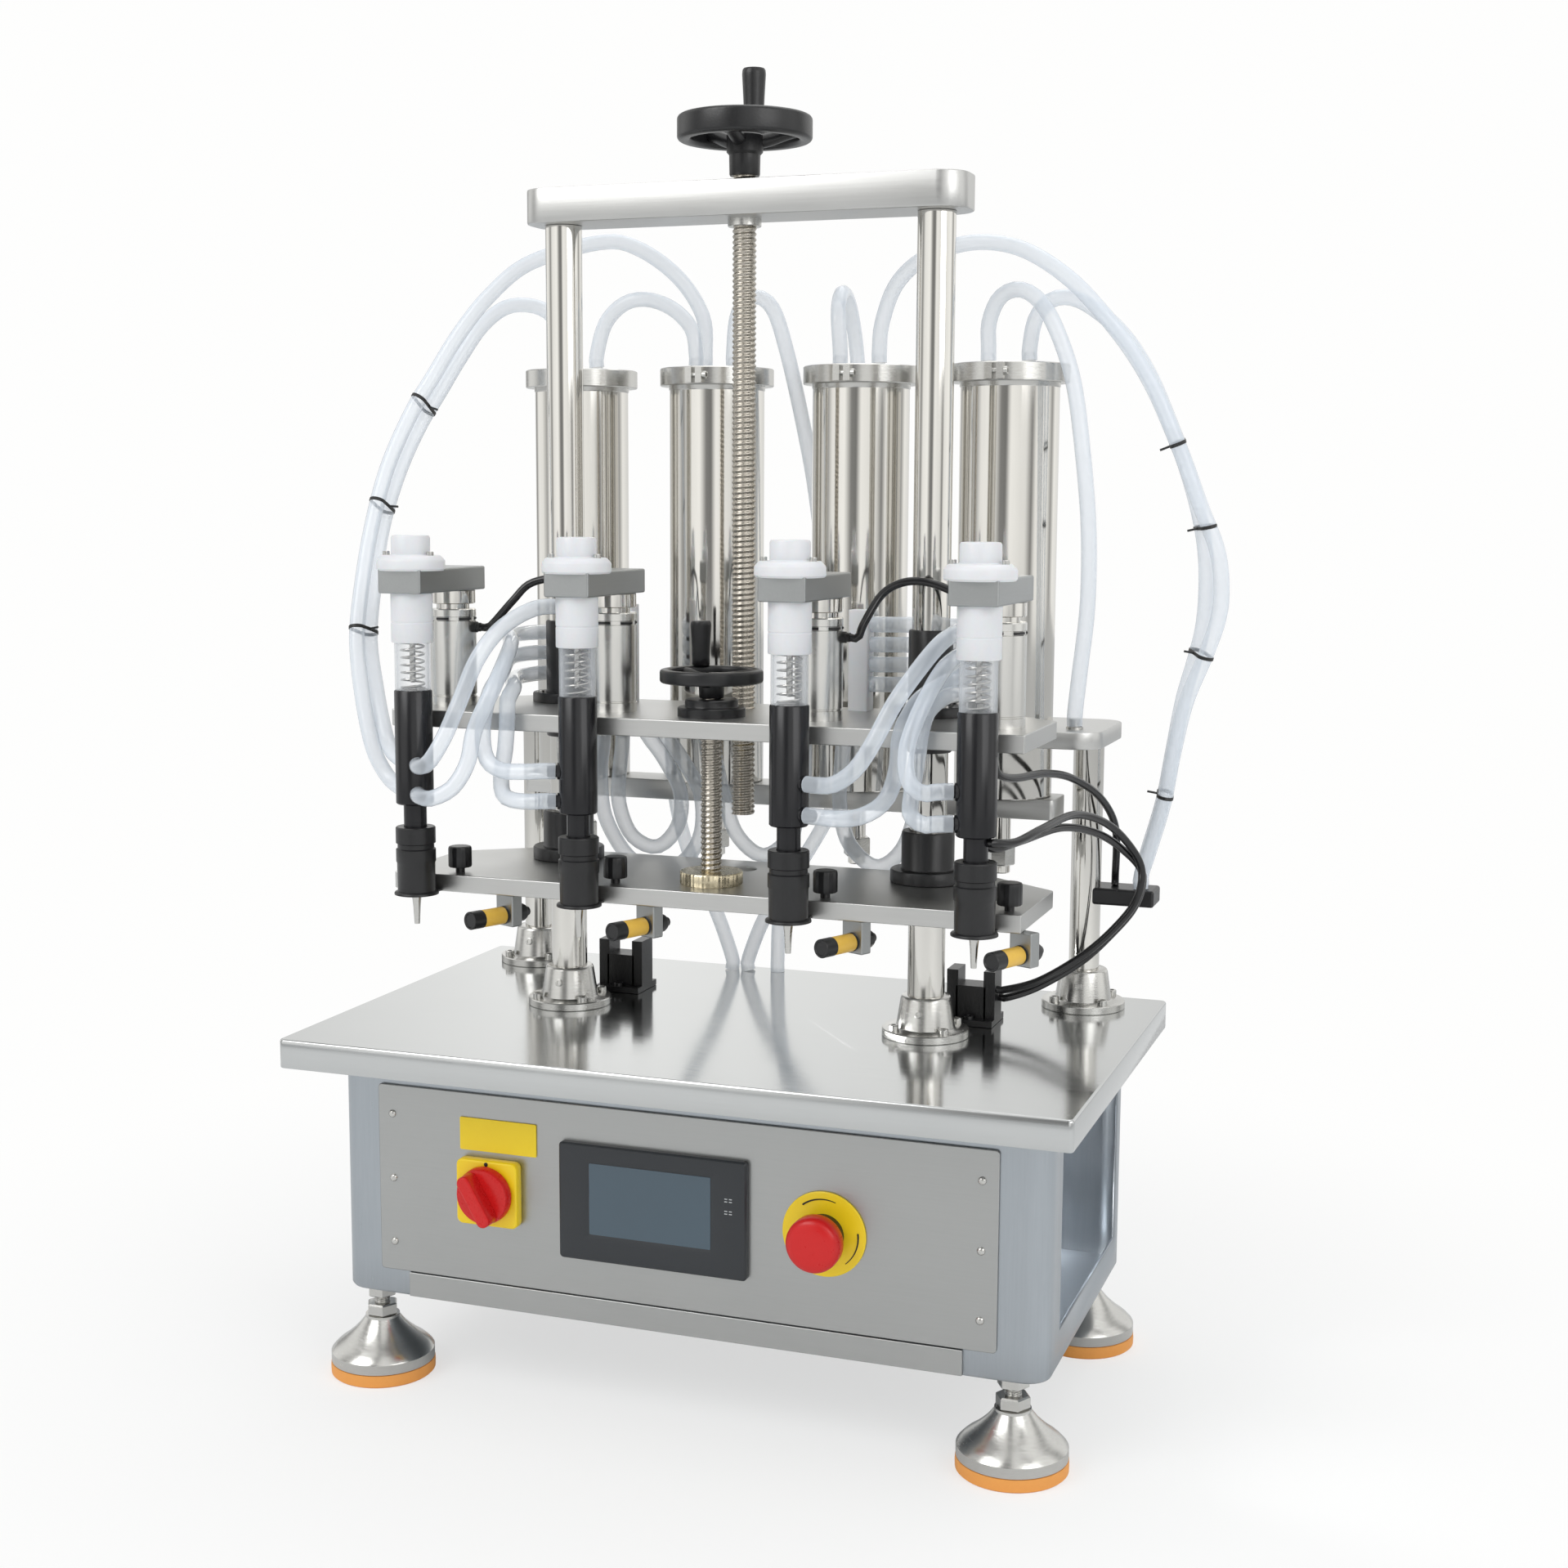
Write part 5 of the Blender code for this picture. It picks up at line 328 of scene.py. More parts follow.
both.operation = "MULTIPLY_ADD"
both.inputs[1].default_value = 0.55
halved = nodes.new("ShaderNodeMath")
halved.operation = "MULTIPLY"
halved.inputs[1].default_value = 0.45
links.new(cloud.outputs["Fac"], halved.inputs[0])
links.new(grain.outputs["Fac"], both.inputs[0])
links.new(halved.outputs[0], both.inputs[2])
links.new(both.outputs[0], leave.inputs["Tone"])
links.new(grain.outputs["Fac"], leave.inputs["Height"])


def surface(name, light, dark, rough, metallic=0.0, stretch=(1.0, 1.0, 1.0), fine=900.0, relief=0.02, spread=0.12, slots=None):
    """A material whose colour runs from dark to light, and roughness round rough, with the
    unevenness of its finish; stretch draws the grain out along an axis where it is small."""
    material = bpy.data.materials.new(name)
    material.use_nodes = True
    nodes, links = material.node_tree.nodes, material.node_tree.links
    shader = nodes["Principled BSDF"]
    shader.inputs["Metallic"].default_value = metallic
    for label, value in (slots or {}).items():
        shader.inputs[label].default_value = value
    where = nodes.new("ShaderNodeTexCoord")
    texture = nodes.new("ShaderNodeGroup")
    texture.node_tree = uneven
    texture.inputs["Stretch"].default_value = stretch
    texture.inputs["Fine"].default_value = fine
    colour = nodes.new("ShaderNodeMix")
    colour.data_type = "RGBA"
    colour.inputs["A"].default_value = (*dark, 1.0)
    colour.inputs["B"].default_value = (*light, 1.0)
    gloss = nodes.new("ShaderNodeMapRange")
    gloss.inputs["From Min"].default_value = 0.3
    gloss.inputs["From Max"].default_value = 0.7
    gloss.inputs["To Min"].default_value = max(0.03, rough - spread / 2)
    gloss.inputs["To Max"].default_value = rough + spread / 2
    bump = nodes.new("ShaderNodeBump")
    bump.inputs["Strength"].default_value = relief * 10
    bump.inputs["Distance"].default_value = 0.0002
    links.new(where.outputs["Object"], texture.inputs["Vector"])
    links.new(texture.outputs["Tone"], colour.inputs["Factor"])
    links.new(texture.outputs["Tone"], gloss.inputs["Value"])
    links.new(texture.outputs["Height"], bump.inputs["Height"])
    links.new(colour.outputs["Result"], shader.inputs["Base Color"])
    links.new(gloss.outputs["Result"], shader.inputs["Roughness"])
    links.new(bump.outputs["Normal"], shader.inputs["Normal"])
    return material


def see_through(material, middle, edge):
    """Lets a thin wall show more where it is seen edge on, as clear plastic does."""
    nodes, links = material.node_tree.nodes, material.node_tree.links
    weight = nodes.new("ShaderNodeLayerWeight")
    weight.inputs["Blend"].default_value = 0.38
    cover = nodes.new("ShaderNodeMapRange")
    cover.inputs["To Min"].default_value = middle
    cover.inputs["To Max"].default_value = edge
    links.new(weight.outputs["Facing"], cover.inputs["Value"])
    links.new(cover.outputs["Result"], nodes["Principled BSDF"].inputs["Alpha"])
    return material


clear_hose = see_through(
    surface(
        "clear hose", (0.88, 0.93, 0.99), (0.80, 0.87, 0.95), 0.14, fine=60.0, relief=0.01,
        slots={"Coat Weight": 0.9, "Coat Roughness": 0.05},
    ),
    0.34, 0.94,
)
black_tube = surface("black air tube", (0.012, 0.012, 0.013), (0.006, 0.006, 0.007), 0.18, fine=300.0, relief=0.01)
tie_black = surface("black nylon tie", (0.03, 0.03, 0.03), (0.012, 0.012, 0.012), 0.42)

HOSE = 0.006
AIR = 0.003
GAP = 0.0003
NOZZLE_XS = (-0.2155, -0.0815, 0.0805, 0.2155)
NOZZLE_Y = -0.1185
PUMP_XS = (-0.1794, -0.0605, 0.0605, 0.1794)
PUMP_Y = 0.103
BARB_WAYS = ((0.6, -0.8), (-0.94, -0.34), (0.94, -0.34), (-0.94, -0.34))
ACTUATOR_Y = -0.055
ACTUATOR_WAYS = ((1.0, 0.0), (-1.0, 0.0), (1.0, 0.0), (0.0, 1.0))
UP, DOWN = (0.0, 0.0, 1.0), (0.0, 0.0, -1.0)
LEFT, RIGHT, FRONT, BACK = (-1.0, 0.0), (1.0, 0.0), (0.0, -1.0), (0.0, 1.0)
PORT_RISES = (0.262, 0.277, 0.292, 0.307)


def above(x, y, rise):
    """A point at a height above the table."""
    return (x, y, TABLE + rise)


def barb_tip(number, way, rise, extra):
    """The end of a barb on a nozzle body, and beyond it by the extra length."""
    reach = (0.022 + extra) / math.hypot(*way)
    return above(NOZZLE_XS[number] + reach * way[0], NOZZLE_Y + reach * way[1], rise)


def actuator_port(number, extra):
    """The end of the air port on a lift cylinder."""
    way = ACTUATOR_WAYS[number]
    reach = 0.0235 + extra
    return above(NOZZLE_XS[number] + reach * way[0], ACTUATOR_Y + reach * way[1], 0.302)


def pump_port(number, side, extra):
    """The top of a barb on a pump's cap; side 0 is the third barb of the second pump."""
    x = PUMP_XS[number] + (-0.018 if side == 0 else side * 0.016)
    y = PUMP_Y + (0.020 if side == 0 else -0.005)
    return above(x, y, 0.511 + extra)


def clip_port(x, y):
    """The end of a tube that stands on the clip of the right back post."""
    return above(x, y, 0.0983)


def tie_loop(first, second, share, radius):
    """A thin band round two tubes: a stadium-shaped loop square to the first one."""
    index = round(share * (len(first) - 1))
    near = int(np.argmin(np.linalg.norm(second - first[index], axis=1)))
    way = first[min(index + 1, len(first) - 1)] - first[index - 1]
    way /= np.linalg.norm(way)
    gap = second[near] - first[index]
    gap -= way * (gap @ way)
    span = np.linalg.norm(gap)
    across = gap / span
    other = np.cross(way, across)
    angle = np.linspace(0.0, math.tau, 33)
    along = radius * np.cos(angle) + np.where(np.cos(angle) > 0, span, 0.0)
    loop = first[index] + along[:, None] * across + (radius * np.sin(angle))[:, None] * other
    inward = -math.copysign(1.0, first[index][0] * other[0])
    heights = (radius + np.array([-0.001, 0.003, 0.008]))[:, None]
    tail = first[index] + across * (span / 2) + inward * other * heights
    return [swept(loop + way * shift, 0.0006, 8) for shift in (-0.0008, 0.0, 0.0008)] + [swept(tail, 0.0009, 6)]


# Eight nozzle hoses and two air lines that ride on the carriage, four to each white manifold.

left_set_hoses = [
    (0, 0.204, FRONT, PORT_RISES[3], [
        (-0.190, -0.143, 0.208), (-0.180, -0.138, 0.226), (-0.172, -0.128, 0.252),
        (-0.163, -0.116, 0.283), (-0.152, -0.098, 0.305), (-0.138, -0.072, 0.318),
        (-0.126, -0.045, 0.318), (-0.115, -0.015, 0.311),
    ]),
    (0, 0.182, LEFT, PORT_RISES[2], [
        (-0.187, -0.145, 0.182), (-0.172, -0.141, 0.190), (-0.163, -0.134, 0.208),
        (-0.160, -0.128, 0.232), (-0.151, -0.119, 0.258), (-0.150, -0.098, 0.280),
        (-0.158, -0.072, 0.291), (-0.172, -0.044, 0.295), (-0.179, -0.008, 0.295),
        (-0.173, 0.027, 0.294), (-0.152, 0.040, 0.293), (-0.130, 0.028, 0.292),
    ]),
    (1, 0.204, LEFT, PORT_RISES[1], [
        (-0.120, -0.129, 0.203), (-0.140, -0.127, 0.203), (-0.154, -0.122, 0.211),
        (-0.160, -0.115, 0.232), (-0.161, -0.102, 0.256), (-0.162, -0.080, 0.270),
        (-0.173, -0.046, 0.278), (-0.179, -0.008, 0.279), (-0.173, 0.027, 0.278),
        (-0.152, 0.040, 0.278), (-0.130, 0.028, 0.277),
    ]),
    (1, 0.182, LEFT, PORT_RISES[0], [
        (-0.120, -0.128, 0.181), (-0.139, -0.122, 0.183), (-0.147, -0.112, 0.196),
        (-0.145, -0.1090, 0.216), (-0.143, -0.1090, 0.239), (-0.144, -0.1060, 0.252),
        (-0.147, -0.090, 0.260), (-0.170, -0.044, 0.262), (-0.179, -0.008, 0.262),
        (-0.173, 0.027, 0.262), (-0.152, 0.040, 0.262), (-0.130, 0.028, 0.262),
    ]),
]
right_set_hoses = [
    (2, 0.204, RIGHT, PORT_RISES[3], [
        (0.118, -0.131, 0.206), (0.133, -0.131, 0.217), (0.145, -0.128, 0.236),
        (0.157, -0.120, 0.262), (0.170, -0.106, 0.285), (0.181, -0.086, 0.303),
        (0.186, -0.050, 0.309), (0.184, -0.008, 0.308), (0.175, 0.027, 0.307),
        (0.150, 0.038, 0.306), (0.122, 0.028, 0.307),
    ]),
    (2, 0.182, RIGHT, PORT_RISES[1], [
        (0.118, -0.131, 0.182), (0.136, -0.128, 0.184), (0.150, -0.117, 0.194),
        (0.156, -0.110, 0.214), (0.158, -0.1090, 0.238), (0.163, -0.107, 0.252),
        (0.170, -0.094, 0.265), (0.184, -0.050, 0.277), (0.183, -0.008, 0.277),
        (0.175, 0.027, 0.277), (0.150, 0.038, 0.276), (0.122, 0.028, 0.277),
    ]),
    (3, 0.204, RIGHT, PORT_RISES[2], [
        (0.180, -0.131, 0.203), (0.171, -0.131, 0.211), (0.168, -0.128, 0.228),
        (0.171, -0.122, 0.246), (0.178, -0.110, 0.268), (0.185, -0.092, 0.286),
        (0.187, -0.050, 0.293), (0.184, -0.008, 0.293), (0.175, 0.027, 0.292),
        (0.150, 0.038, 0.291), (0.122, 0.028, 0.292),
    ]),
    (3, 0.182, RIGHT, PORT_RISES[0], [
        (0.181, -0.128, 0.181), (0.170, -0.121, 0.186), (0.168, -0.112, 0.200),
        (0.171, -0.1110, 0.222), (0.174, -0.1120, 0.243), (0.178, -0.109, 0.257),
        (0.184, -0.088, 0.265), (0.185, -0.050, 0.264), (0.183, -0.008, 0.262),
        (0.175, 0.027, 0.262), (0.150, 0.038, 0.262), (0.122, 0.028, 0.262),
    ]),
]
set_lines = {}
for side_name, manifold_x, hoses in (("left", -0.105, left_set_hoses), ("right", 0.088, right_set_hoses)):
    for count, (number, rise, side, port_rise, via) in enumerate(hoses, 1):
        way = BARB_WAYS[number]
        end = above(manifold_x + side[0] * 0.005, 0.022 + side[1] * 0.005, port_rise)
        line = hose_line(barb_tip(number, way, rise, -0.006), (*way, 0.0), via, end, (*side, 0.0))
        set_lines[side_name, count] = line
        made(
            f"{side_name}_nozzle_hose_{count}", [swept(line, HOSE)], "carriage", clear_hose,
            [f"{side_name}_hose_set"],
        )
left_bridge = [
    (-0.182, -0.052, 0.306), (-0.172, -0.040, 0.322), (-0.160, -0.034, 0.335),
    (-0.138, -0.031, 0.339), (-0.120, -0.036, 0.331), (-0.114, -0.050, 0.312),
]
right_bridge = [
    (0.113, -0.051, 0.312), (0.122, -0.038, 0.332), (0.136, -0.031, 0.341),
    (0.155, -0.028, 0.341), (0.178, -0.024, 0.332), (0.197, -0.016, 0.321), (0.211, -0.014, 0.310),
]
for side_name, start, end, via in (("left", 0, 1, left_bridge), ("right", 2, 3, right_bridge)):
    line = hose_line(
        actuator_port(start, 0.0), (*ACTUATOR_WAYS[start], 0.0), via,
        actuator_port(end, 0.0), (*ACTUATOR_WAYS[end], 0.0), 0.006, 0.004,
    )
    made(f"{side_name}_air_line", [swept(line, AIR, 12)], "carriage", black_tube, [f"{side_name}_hose_set"])

# Hoses between the fixed frame and the lifting carriage.

lift_routes = [
    (pump_port(1, 0, -0.006), 0.182, [
        (-0.080, 0.122, 0.545), (-0.096, 0.110, 0.575), (-0.123, 0.093, 0.597),
        (-0.150, 0.080, 0.602), (-0.203, 0.060, 0.586), (-0.232, 0.045, 0.560),
        (-0.253, 0.030, 0.528), (-0.268, 0.015, 0.495), (-0.279, 0.000, 0.467),
        (-0.290, -0.020, 0.424), (-0.2935, -0.040, 0.378), (-0.2935, -0.058, 0.329),
        (-0.290, -0.072, 0.290), (-0.279, -0.084, 0.248), (-0.265, -0.094, 0.211),
        (-0.252, -0.096, 0.190),
    ]),
    (pump_port(0, -1, -0.006), 0.204, [
        (-0.197, 0.093, 0.541), (-0.209, 0.084, 0.553), (-0.229, 0.071, 0.553),
        (-0.246, 0.059, 0.538), (-0.259, 0.045, 0.512), (-0.270, 0.030, 0.484),
        (-0.281, 0.014, 0.455), (-0.290, -0.004, 0.418), (-0.2935, -0.024, 0.376),
        (-0.292, -0.042, 0.329), (-0.288, -0.056, 0.290), (-0.276, -0.068, 0.252),
        (-0.263, -0.081, 0.226), (-0.251, -0.092, 0.210),
    ]),
]
lift_lines = []
for start, rise, via in lift_routes:
    end = barb_tip(0, (-0.8, 0.6), rise, -0.006)
    lift_lines.append(hose_line(start, UP, via, end, (-0.8, 0.6, 0.0)))
for count, line in enumerate(lift_lines, 1):
    arc = made(f"left_arc_hose_{count}", [swept(line, HOSE)], None, clear_hose)
    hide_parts("left_lift_hoses")
    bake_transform(arc)
ties = []
for share in (0.37, 0.545, 0.75):
    ties += tie_loop(lift_lines[1], lift_lines[0], share, HOSE)
band = made("left_arc_ties", ties, None, tie_black)
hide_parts("left_lift_hoses")
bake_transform(band)

carriage_fittings = [(-0.092, 0.030), (-0.076, 0.030), (-0.035, 0.030), (0.072, 0.030)]
rear_fittings = [(-0.130, 0.070), (-0.146, 0.068), (0.028, 0.067), (0.122, 0.068), (-0.120, 0.150)]
loop_routes = [
    [
        (-0.080, 0.038, 0.196), (-0.071, 0.050, 0.168), (-0.074, 0.052, 0.140),
        (-0.092, 0.052, 0.122), (-0.114, 0.052, 0.130), (-0.127, 0.056, 0.155), (-0.130, 0.064, 0.180),
    ],
    [
        (-0.063, 0.038, 0.194), (-0.053, 0.050, 0.165), (-0.056, 0.053, 0.130),
        (-0.078, 0.053, 0.106), (-0.112, 0.053, 0.108), (-0.138, 0.056, 0.140), (-0.146, 0.062, 0.175),
    ],
    [
        (-0.036, 0.038, 0.196), (-0.034, 0.050, 0.168), (-0.024, 0.053, 0.136),
        (-0.002, 0.054, 0.120), (0.020, 0.055, 0.136), (0.028, 0.062, 0.168),
    ],
    [
        (0.068, 0.038, 0.196), (0.063, 0.050, 0.165), (0.070, 0.053, 0.134),
        (0.092, 0.053, 0.117), (0.113, 0.054, 0.132), (0.122, 0.060, 0.165),
    ],
]
for count, (start, via, end) in enumerate(zip(carriage_fittings, loop_routes, rear_fittings), 1):
    line = hose_line(above(*start, 0.227), DOWN, via, above(*end, 0.2125), DOWN)
    loop = made(f"under_plate_loop_{count}", [swept(line, HOSE)], None, clear_hose)
    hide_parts("lift_loops")
    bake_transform(loop)

tube_routes = [
    (above(0.214, -0.070, 0.2287), DOWN, clip_port(0.262, 0.145), UP, [
        (0.216, -0.060, 0.209), (0.222, -0.030, 0.203), (0.232, 0.018, 0.201),
        (0.243, 0.060, 0.193), (0.257, 0.100, 0.174), (0.264, 0.130, 0.146),
    ]),
    (
        above(0.2238, NOZZLE_Y, 0.1695),
        (1.0, 0.0, 0.0),
        above(0.1903, 0.052, 0.028),
        (1.0, 0.0, 0.0),
        [
            (0.239, -0.098, 0.168), (0.248, -0.060, 0.172), (0.257, 0.000, 0.174),
            (0.270, 0.040, 0.165), (0.283, 0.066, 0.148), (0.2935, 0.082, 0.124),
            (0.290, 0.085, 0.099), (0.275, 0.080, 0.077), (0.252, 0.072, 0.055), (0.222, 0.058, 0.036),
        ],
    ),
    (
        above(0.2155, NOZZLE_Y + 0.0088, 0.1665),
        (0.0, 1.0, 0.0),
        above(0.1903, 0.061, 0.020),
        (1.0, 0.0, 0.0),
        [
            (0.222, -0.090, 0.161), (0.236, -0.062, 0.164), (0.250, -0.004, 0.165),
            (0.266, 0.043, 0.155), (0.280, 0.074, 0.139), (0.2925, 0.093, 0.118),
            (0.287, 0.097, 0.092), (0.270, 0.091, 0.069), (0.248, 0.083, 0.047), (0.218, 0.070, 0.028),
        ],
    ),
]
tube_lines = []
for count, (start, start_way, end, end_way, via) in enumerate(tube_routes, 1):
    line = hose_line(start, start_way, via, end, end_way, 0.006, 0.004)
    tube_lines.append(line)
    strand = made(f"air_strand_{count}", [swept(line, AIR, 12)], None, black_tube)
    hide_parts("lift_tubes")
    if count == 1:
        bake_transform(strand)
    else:
        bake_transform(strand)

# Hoses that stay with the frame: one short arch between pumps, three drains, three right arcs.

transfer_via = [
    (-0.155, 0.097, 0.540), (-0.138, 0.096, 0.555), (-0.118, 0.096, 0.558),
    (-0.096, 0.096, 0.550), (-0.080, 0.097, 0.534),
]
line = hose_line(pump_port(0, 1, -0.006), UP, transfer_via, pump_port(1, -1, -0.006), UP)
arch = made("pump_link_hose", [swept(line, HOSE)], "base", clear_hose, ["transfer_hose"])


def free_hose(name, line, node):
    """A free hose that rides on the base."""
    piece = made(name, [swept(line, HOSE)], "base", clear_hose, [node])
    return piece


drain_routes = [
    (pump_port(1, 1, -0.006), UP, above(-0.030, 0.168, 0.0003), UP, [
        (-0.041, 0.098, 0.545), (-0.028, 0.099, 0.558), (-0.013, 0.101, 0.549),
        (-0.003, 0.107, 0.516), (0.004, 0.128, 0.459), (0.008, 0.150, 0.400),
        (0.009, 0.168, 0.330), (0.006, 0.1765, 0.262), (0.000, 0.1770, 0.215),
        (-0.010, 0.1765, 0.160), (-0.022, 0.174, 0.100), (-0.029, 0.170, 0.050),
    ]),
    (pump_port(2, -1, -0.006), UP, above(-0.055, 0.164, 0.0003), UP, [
        (0.042, 0.100, 0.545), (0.040, 0.116, 0.561), (0.039, 0.140, 0.550),
        (0.040, 0.157, 0.510), (0.042, 0.163, 0.440), (0.044, 0.169, 0.340),
        (0.043, 0.1765, 0.262), (0.038, 0.1770, 0.215), (0.020, 0.171, 0.150),
        (-0.010, 0.161, 0.092), (-0.038, 0.161, 0.050),
    ]),
    (above(-0.120, 0.150, 0.2125), DOWN, above(-0.070, 0.164, 0.0003), UP, [
        (-0.118, 0.152, 0.150), (-0.107, 0.157, 0.100), (-0.085, 0.162, 0.052),
    ]),
]
for count, (start, start_way, end, end_way, via) in enumerate(drain_routes, 1):
    free_hose(f"drain_hose_{count}", hose_line(start, start_way, via, end, end_way), "drain_hoses")

right_routes = [
    (pump_port(2, 1, -0.006), clip_port(0.284, 0.136), [
        (0.079, 0.096, 0.535), (0.091, 0.090, 0.562), (0.112, 0.085, 0.580),
        (0.142, 0.081, 0.590), (0.170, 0.080, 0.591), (0.198, 0.080, 0.583),
        (0.228, 0.084, 0.563), (0.253, 0.089, 0.537), (0.274, 0.094, 0.510),
        (0.290, 0.099, 0.483), (0.303, 0.104, 0.454), (0.315, 0.109, 0.424),
        (0.326, 0.113, 0.394), (0.338, 0.116, 0.364), (0.342, 0.118, 0.336),
        (0.340, 0.120, 0.312), (0.331, 0.122, 0.284), (0.317, 0.125, 0.248),
        (0.308, 0.128, 0.208), (0.301, 0.131, 0.168), (0.290, 0.134, 0.128),
    ]),
    (pump_port(3, 1, -0.006), clip_port(0.282, 0.151), [
        (0.200, 0.096, 0.536), (0.212, 0.094, 0.549), (0.229, 0.096, 0.550),
        (0.248, 0.102, 0.539), (0.267, 0.109, 0.520), (0.284, 0.115, 0.493),
        (0.298, 0.120, 0.461), (0.311, 0.125, 0.427), (0.321, 0.128, 0.394),
        (0.327, 0.131, 0.362), (0.328, 0.134, 0.330), (0.326, 0.136, 0.304),
        (0.320, 0.138, 0.278), (0.312, 0.140, 0.248), (0.305, 0.143, 0.208),
        (0.298, 0.146, 0.168), (0.287, 0.149, 0.128),
    ]),
    (pump_port(3, -1, -0.006), above(0.239, 0.086, 0.2298), [
        (0.165, 0.092, 0.534), (0.175, 0.084, 0.551), (0.191, 0.078, 0.556),
        (0.207, 0.077, 0.547), (0.221, 0.077, 0.524), (0.234, 0.078, 0.486),
        (0.242, 0.080, 0.432), (0.247, 0.082, 0.377), (0.247, 0.084, 0.322),
        (0.242, 0.086, 0.272),
    ]),
]
arc_lines = []
for count, (start, end, via) in enumerate(right_routes, 1):
    line = hose_line(start, UP, via, end, UP)
    arc_lines.append(line)
    free_hose(f"right_arc_hose_{count}", line, "right_hoses")
ties = []
for share in (0.37, 0.485, 0.655, 0.855):
    ties += tie_loop(arc_lines[1], arc_lines[0], share, HOSE)
made("right_arc_ties", ties, "base", tie_black, ["right_hoses"])

# Levelling feet.
# Brushed turned steel cones on orange rubber pads, with a hexagon and a lock nut on a threaded
# stud. Each foot is a turned profile; the stud's radius follows a ridge that climbs as it turns.


def lathe(profile, sides, centre=(0.0, 0.0, 0.0), way=(0.0, 0.0, 1.0)):
    """Turned solid: each (radius, height) of the profile becomes a circle round the axis that
    runs from the centre in the given way; a radius of nothing closes the end."""
    axis = np.array(Vector(way).normalized())
    first = np.cross(axis, (0.0, 1.0, 0.0) if abs(axis[1]) < 0.9 else (0.0, 0.0, 1.0))
    first /= np.linalg.norm(first)
    second = np.cross(axis, first)
    radius, height = np.array(profile, float).T
    angle = np.linspace(0.0, math.tau, sides, endpoint=False)
    ring = np.cos(angle)[:, None] * first + np.sin(angle)[:, None] * second
    points = np.array(centre) + radius[:, None, None] * ring[None] + height[:, None, None] * axis
    return points.reshape(-1, 3), grid_faces(len(radius), sides)


def threaded(radius, depth, pitch, low, high, centre, sides=20, rows=6):
    """Threaded rod: the radius dips by a smooth wave of height and angle together, so that the
    ridge climbs one pitch in each turn; flat discs close both ends."""
    heights = np.linspace(low, high, int(round((high - low) / pitch * rows)) + 1)
    angle = np.linspace(0.0, math.tau, sides, endpoint=False)
    phase = heights[:, None] / pitch - angle[None, :] / math.tau
    size = radius - depth * (0.5 + 0.5 * np.cos(math.tau * phase))
    points = np.stack(
        [centre[0] + size * np.cos(angle), centre[1] + size * np.sin(angle), centre[2] + heights[:, None] + 0 * size],
        axis=-1,
    ).reshape(-1, 3)
    last = (len(heights) - 1) * sides
    return points, grid_faces(len(heights), sides) + [list(range(sides)), list(range(last, last + sides))]


turned_steel = surface("turned stainless steel", (0.66, 0.655, 0.63), (0.46, 0.455, 0.44), 0.24, 1.0, (1.0, 1.0, 6.0), 160.0, 0.03)
orange_rubber = surface("orange rubber", (0.93, 0.42, 0.10), (0.84, 0.34, 0.07), 0.55, fine=420.0, relief=0.05)
for foot, x, y in (
    ("front_left", -0.250, -0.122), ("front_right", 0.250, -0.122),
    ("rear_left", -0.250, 0.122), ("rear_right", 0.250, 0.122),
):
    place = (x, y, 0.0)
    pad = [(0.0, 0.0), (0.0385, 0.0), (0.0398, 0.0012), (0.0400, 0.0060), (0.0397, 0.0096), (0.0, 0.0096)]
    cone = [
        (0.0, 0.0096), (0.0388, 0.0096), (0.0395, 0.0103), (0.0395, 0.0178), (0.0390, 0.0186), (0.0362, 0.0216),
        (0.0340, 0.0236), (0.0290, 0.0272), (0.0240, 0.0314), (0.0190, 0.0362), (0.0152, 0.0408), (0.0132, 0.0436),
        (0.0130, 0.0455), (0.0, 0.0455),
    ]
    nut = [(0.0, 0.0455), (0.0112, 0.0455), (0.0125, 0.0465), (0.0125, 0.0536), (0.0112, 0.0546), (0.0, 0.0546)]
    lock = [(0.0, 0.0606), (0.0104, 0.0606), (0.0115, 0.0614), (0.0115, 0.0672), (0.0104, 0.0680), (0.0, 0.0680)]
    made(f"foot_pad_{foot}", [lathe(pad, 48, place)], "base", orange_rubber, [f"foot_{foot}"])
    made(f"foot_cone_{foot}", [lathe(cone, 56, place)], "base", turned_steel, [f"foot_{foot}"], smooth=24)
    made(
        f"foot_stud_{foot}",
        [threaded(0.0060, 0.0008, 0.0015, 0.0536, 0.0615, place), lathe(nut, 6, place), lathe(lock, 6, place)],
        "base", turned_steel, [f"foot_{foot}"],
    )

# Table top and cabinet.
# Folded stainless sheet, brushed along its length: a deep-edged top, a box with rounded upright
# corners and open ends, a screwed front panel and a sill strip under it.


def outline(half_x, half_y, corner, steps=6, centre=(0.0, 0.0)):
    """Flat outline of a rectangle whose corners are quarter circles, anticlockwise."""
    angle = np.linspace(0.0, math.pi / 2, steps + 1)
    arc = np.column_stack([np.cos(angle), np.sin(angle)]) * corner
    turns = []
    for quarter, (sx, sy) in enumerate(((1, 1), (-1, 1), (-1, -1), (1, -1))):
        cos, sin = math.cos(quarter * math.pi / 2), math.sin(quarter * math.pi / 2)
        turned = arc @ np.array([[cos, sin], [-sin, cos]])
        turns.append(turned + np.array([sx * (half_x - corner), sy * (half_y - corner)]))
    return np.vstack(turns) + np.array(centre)


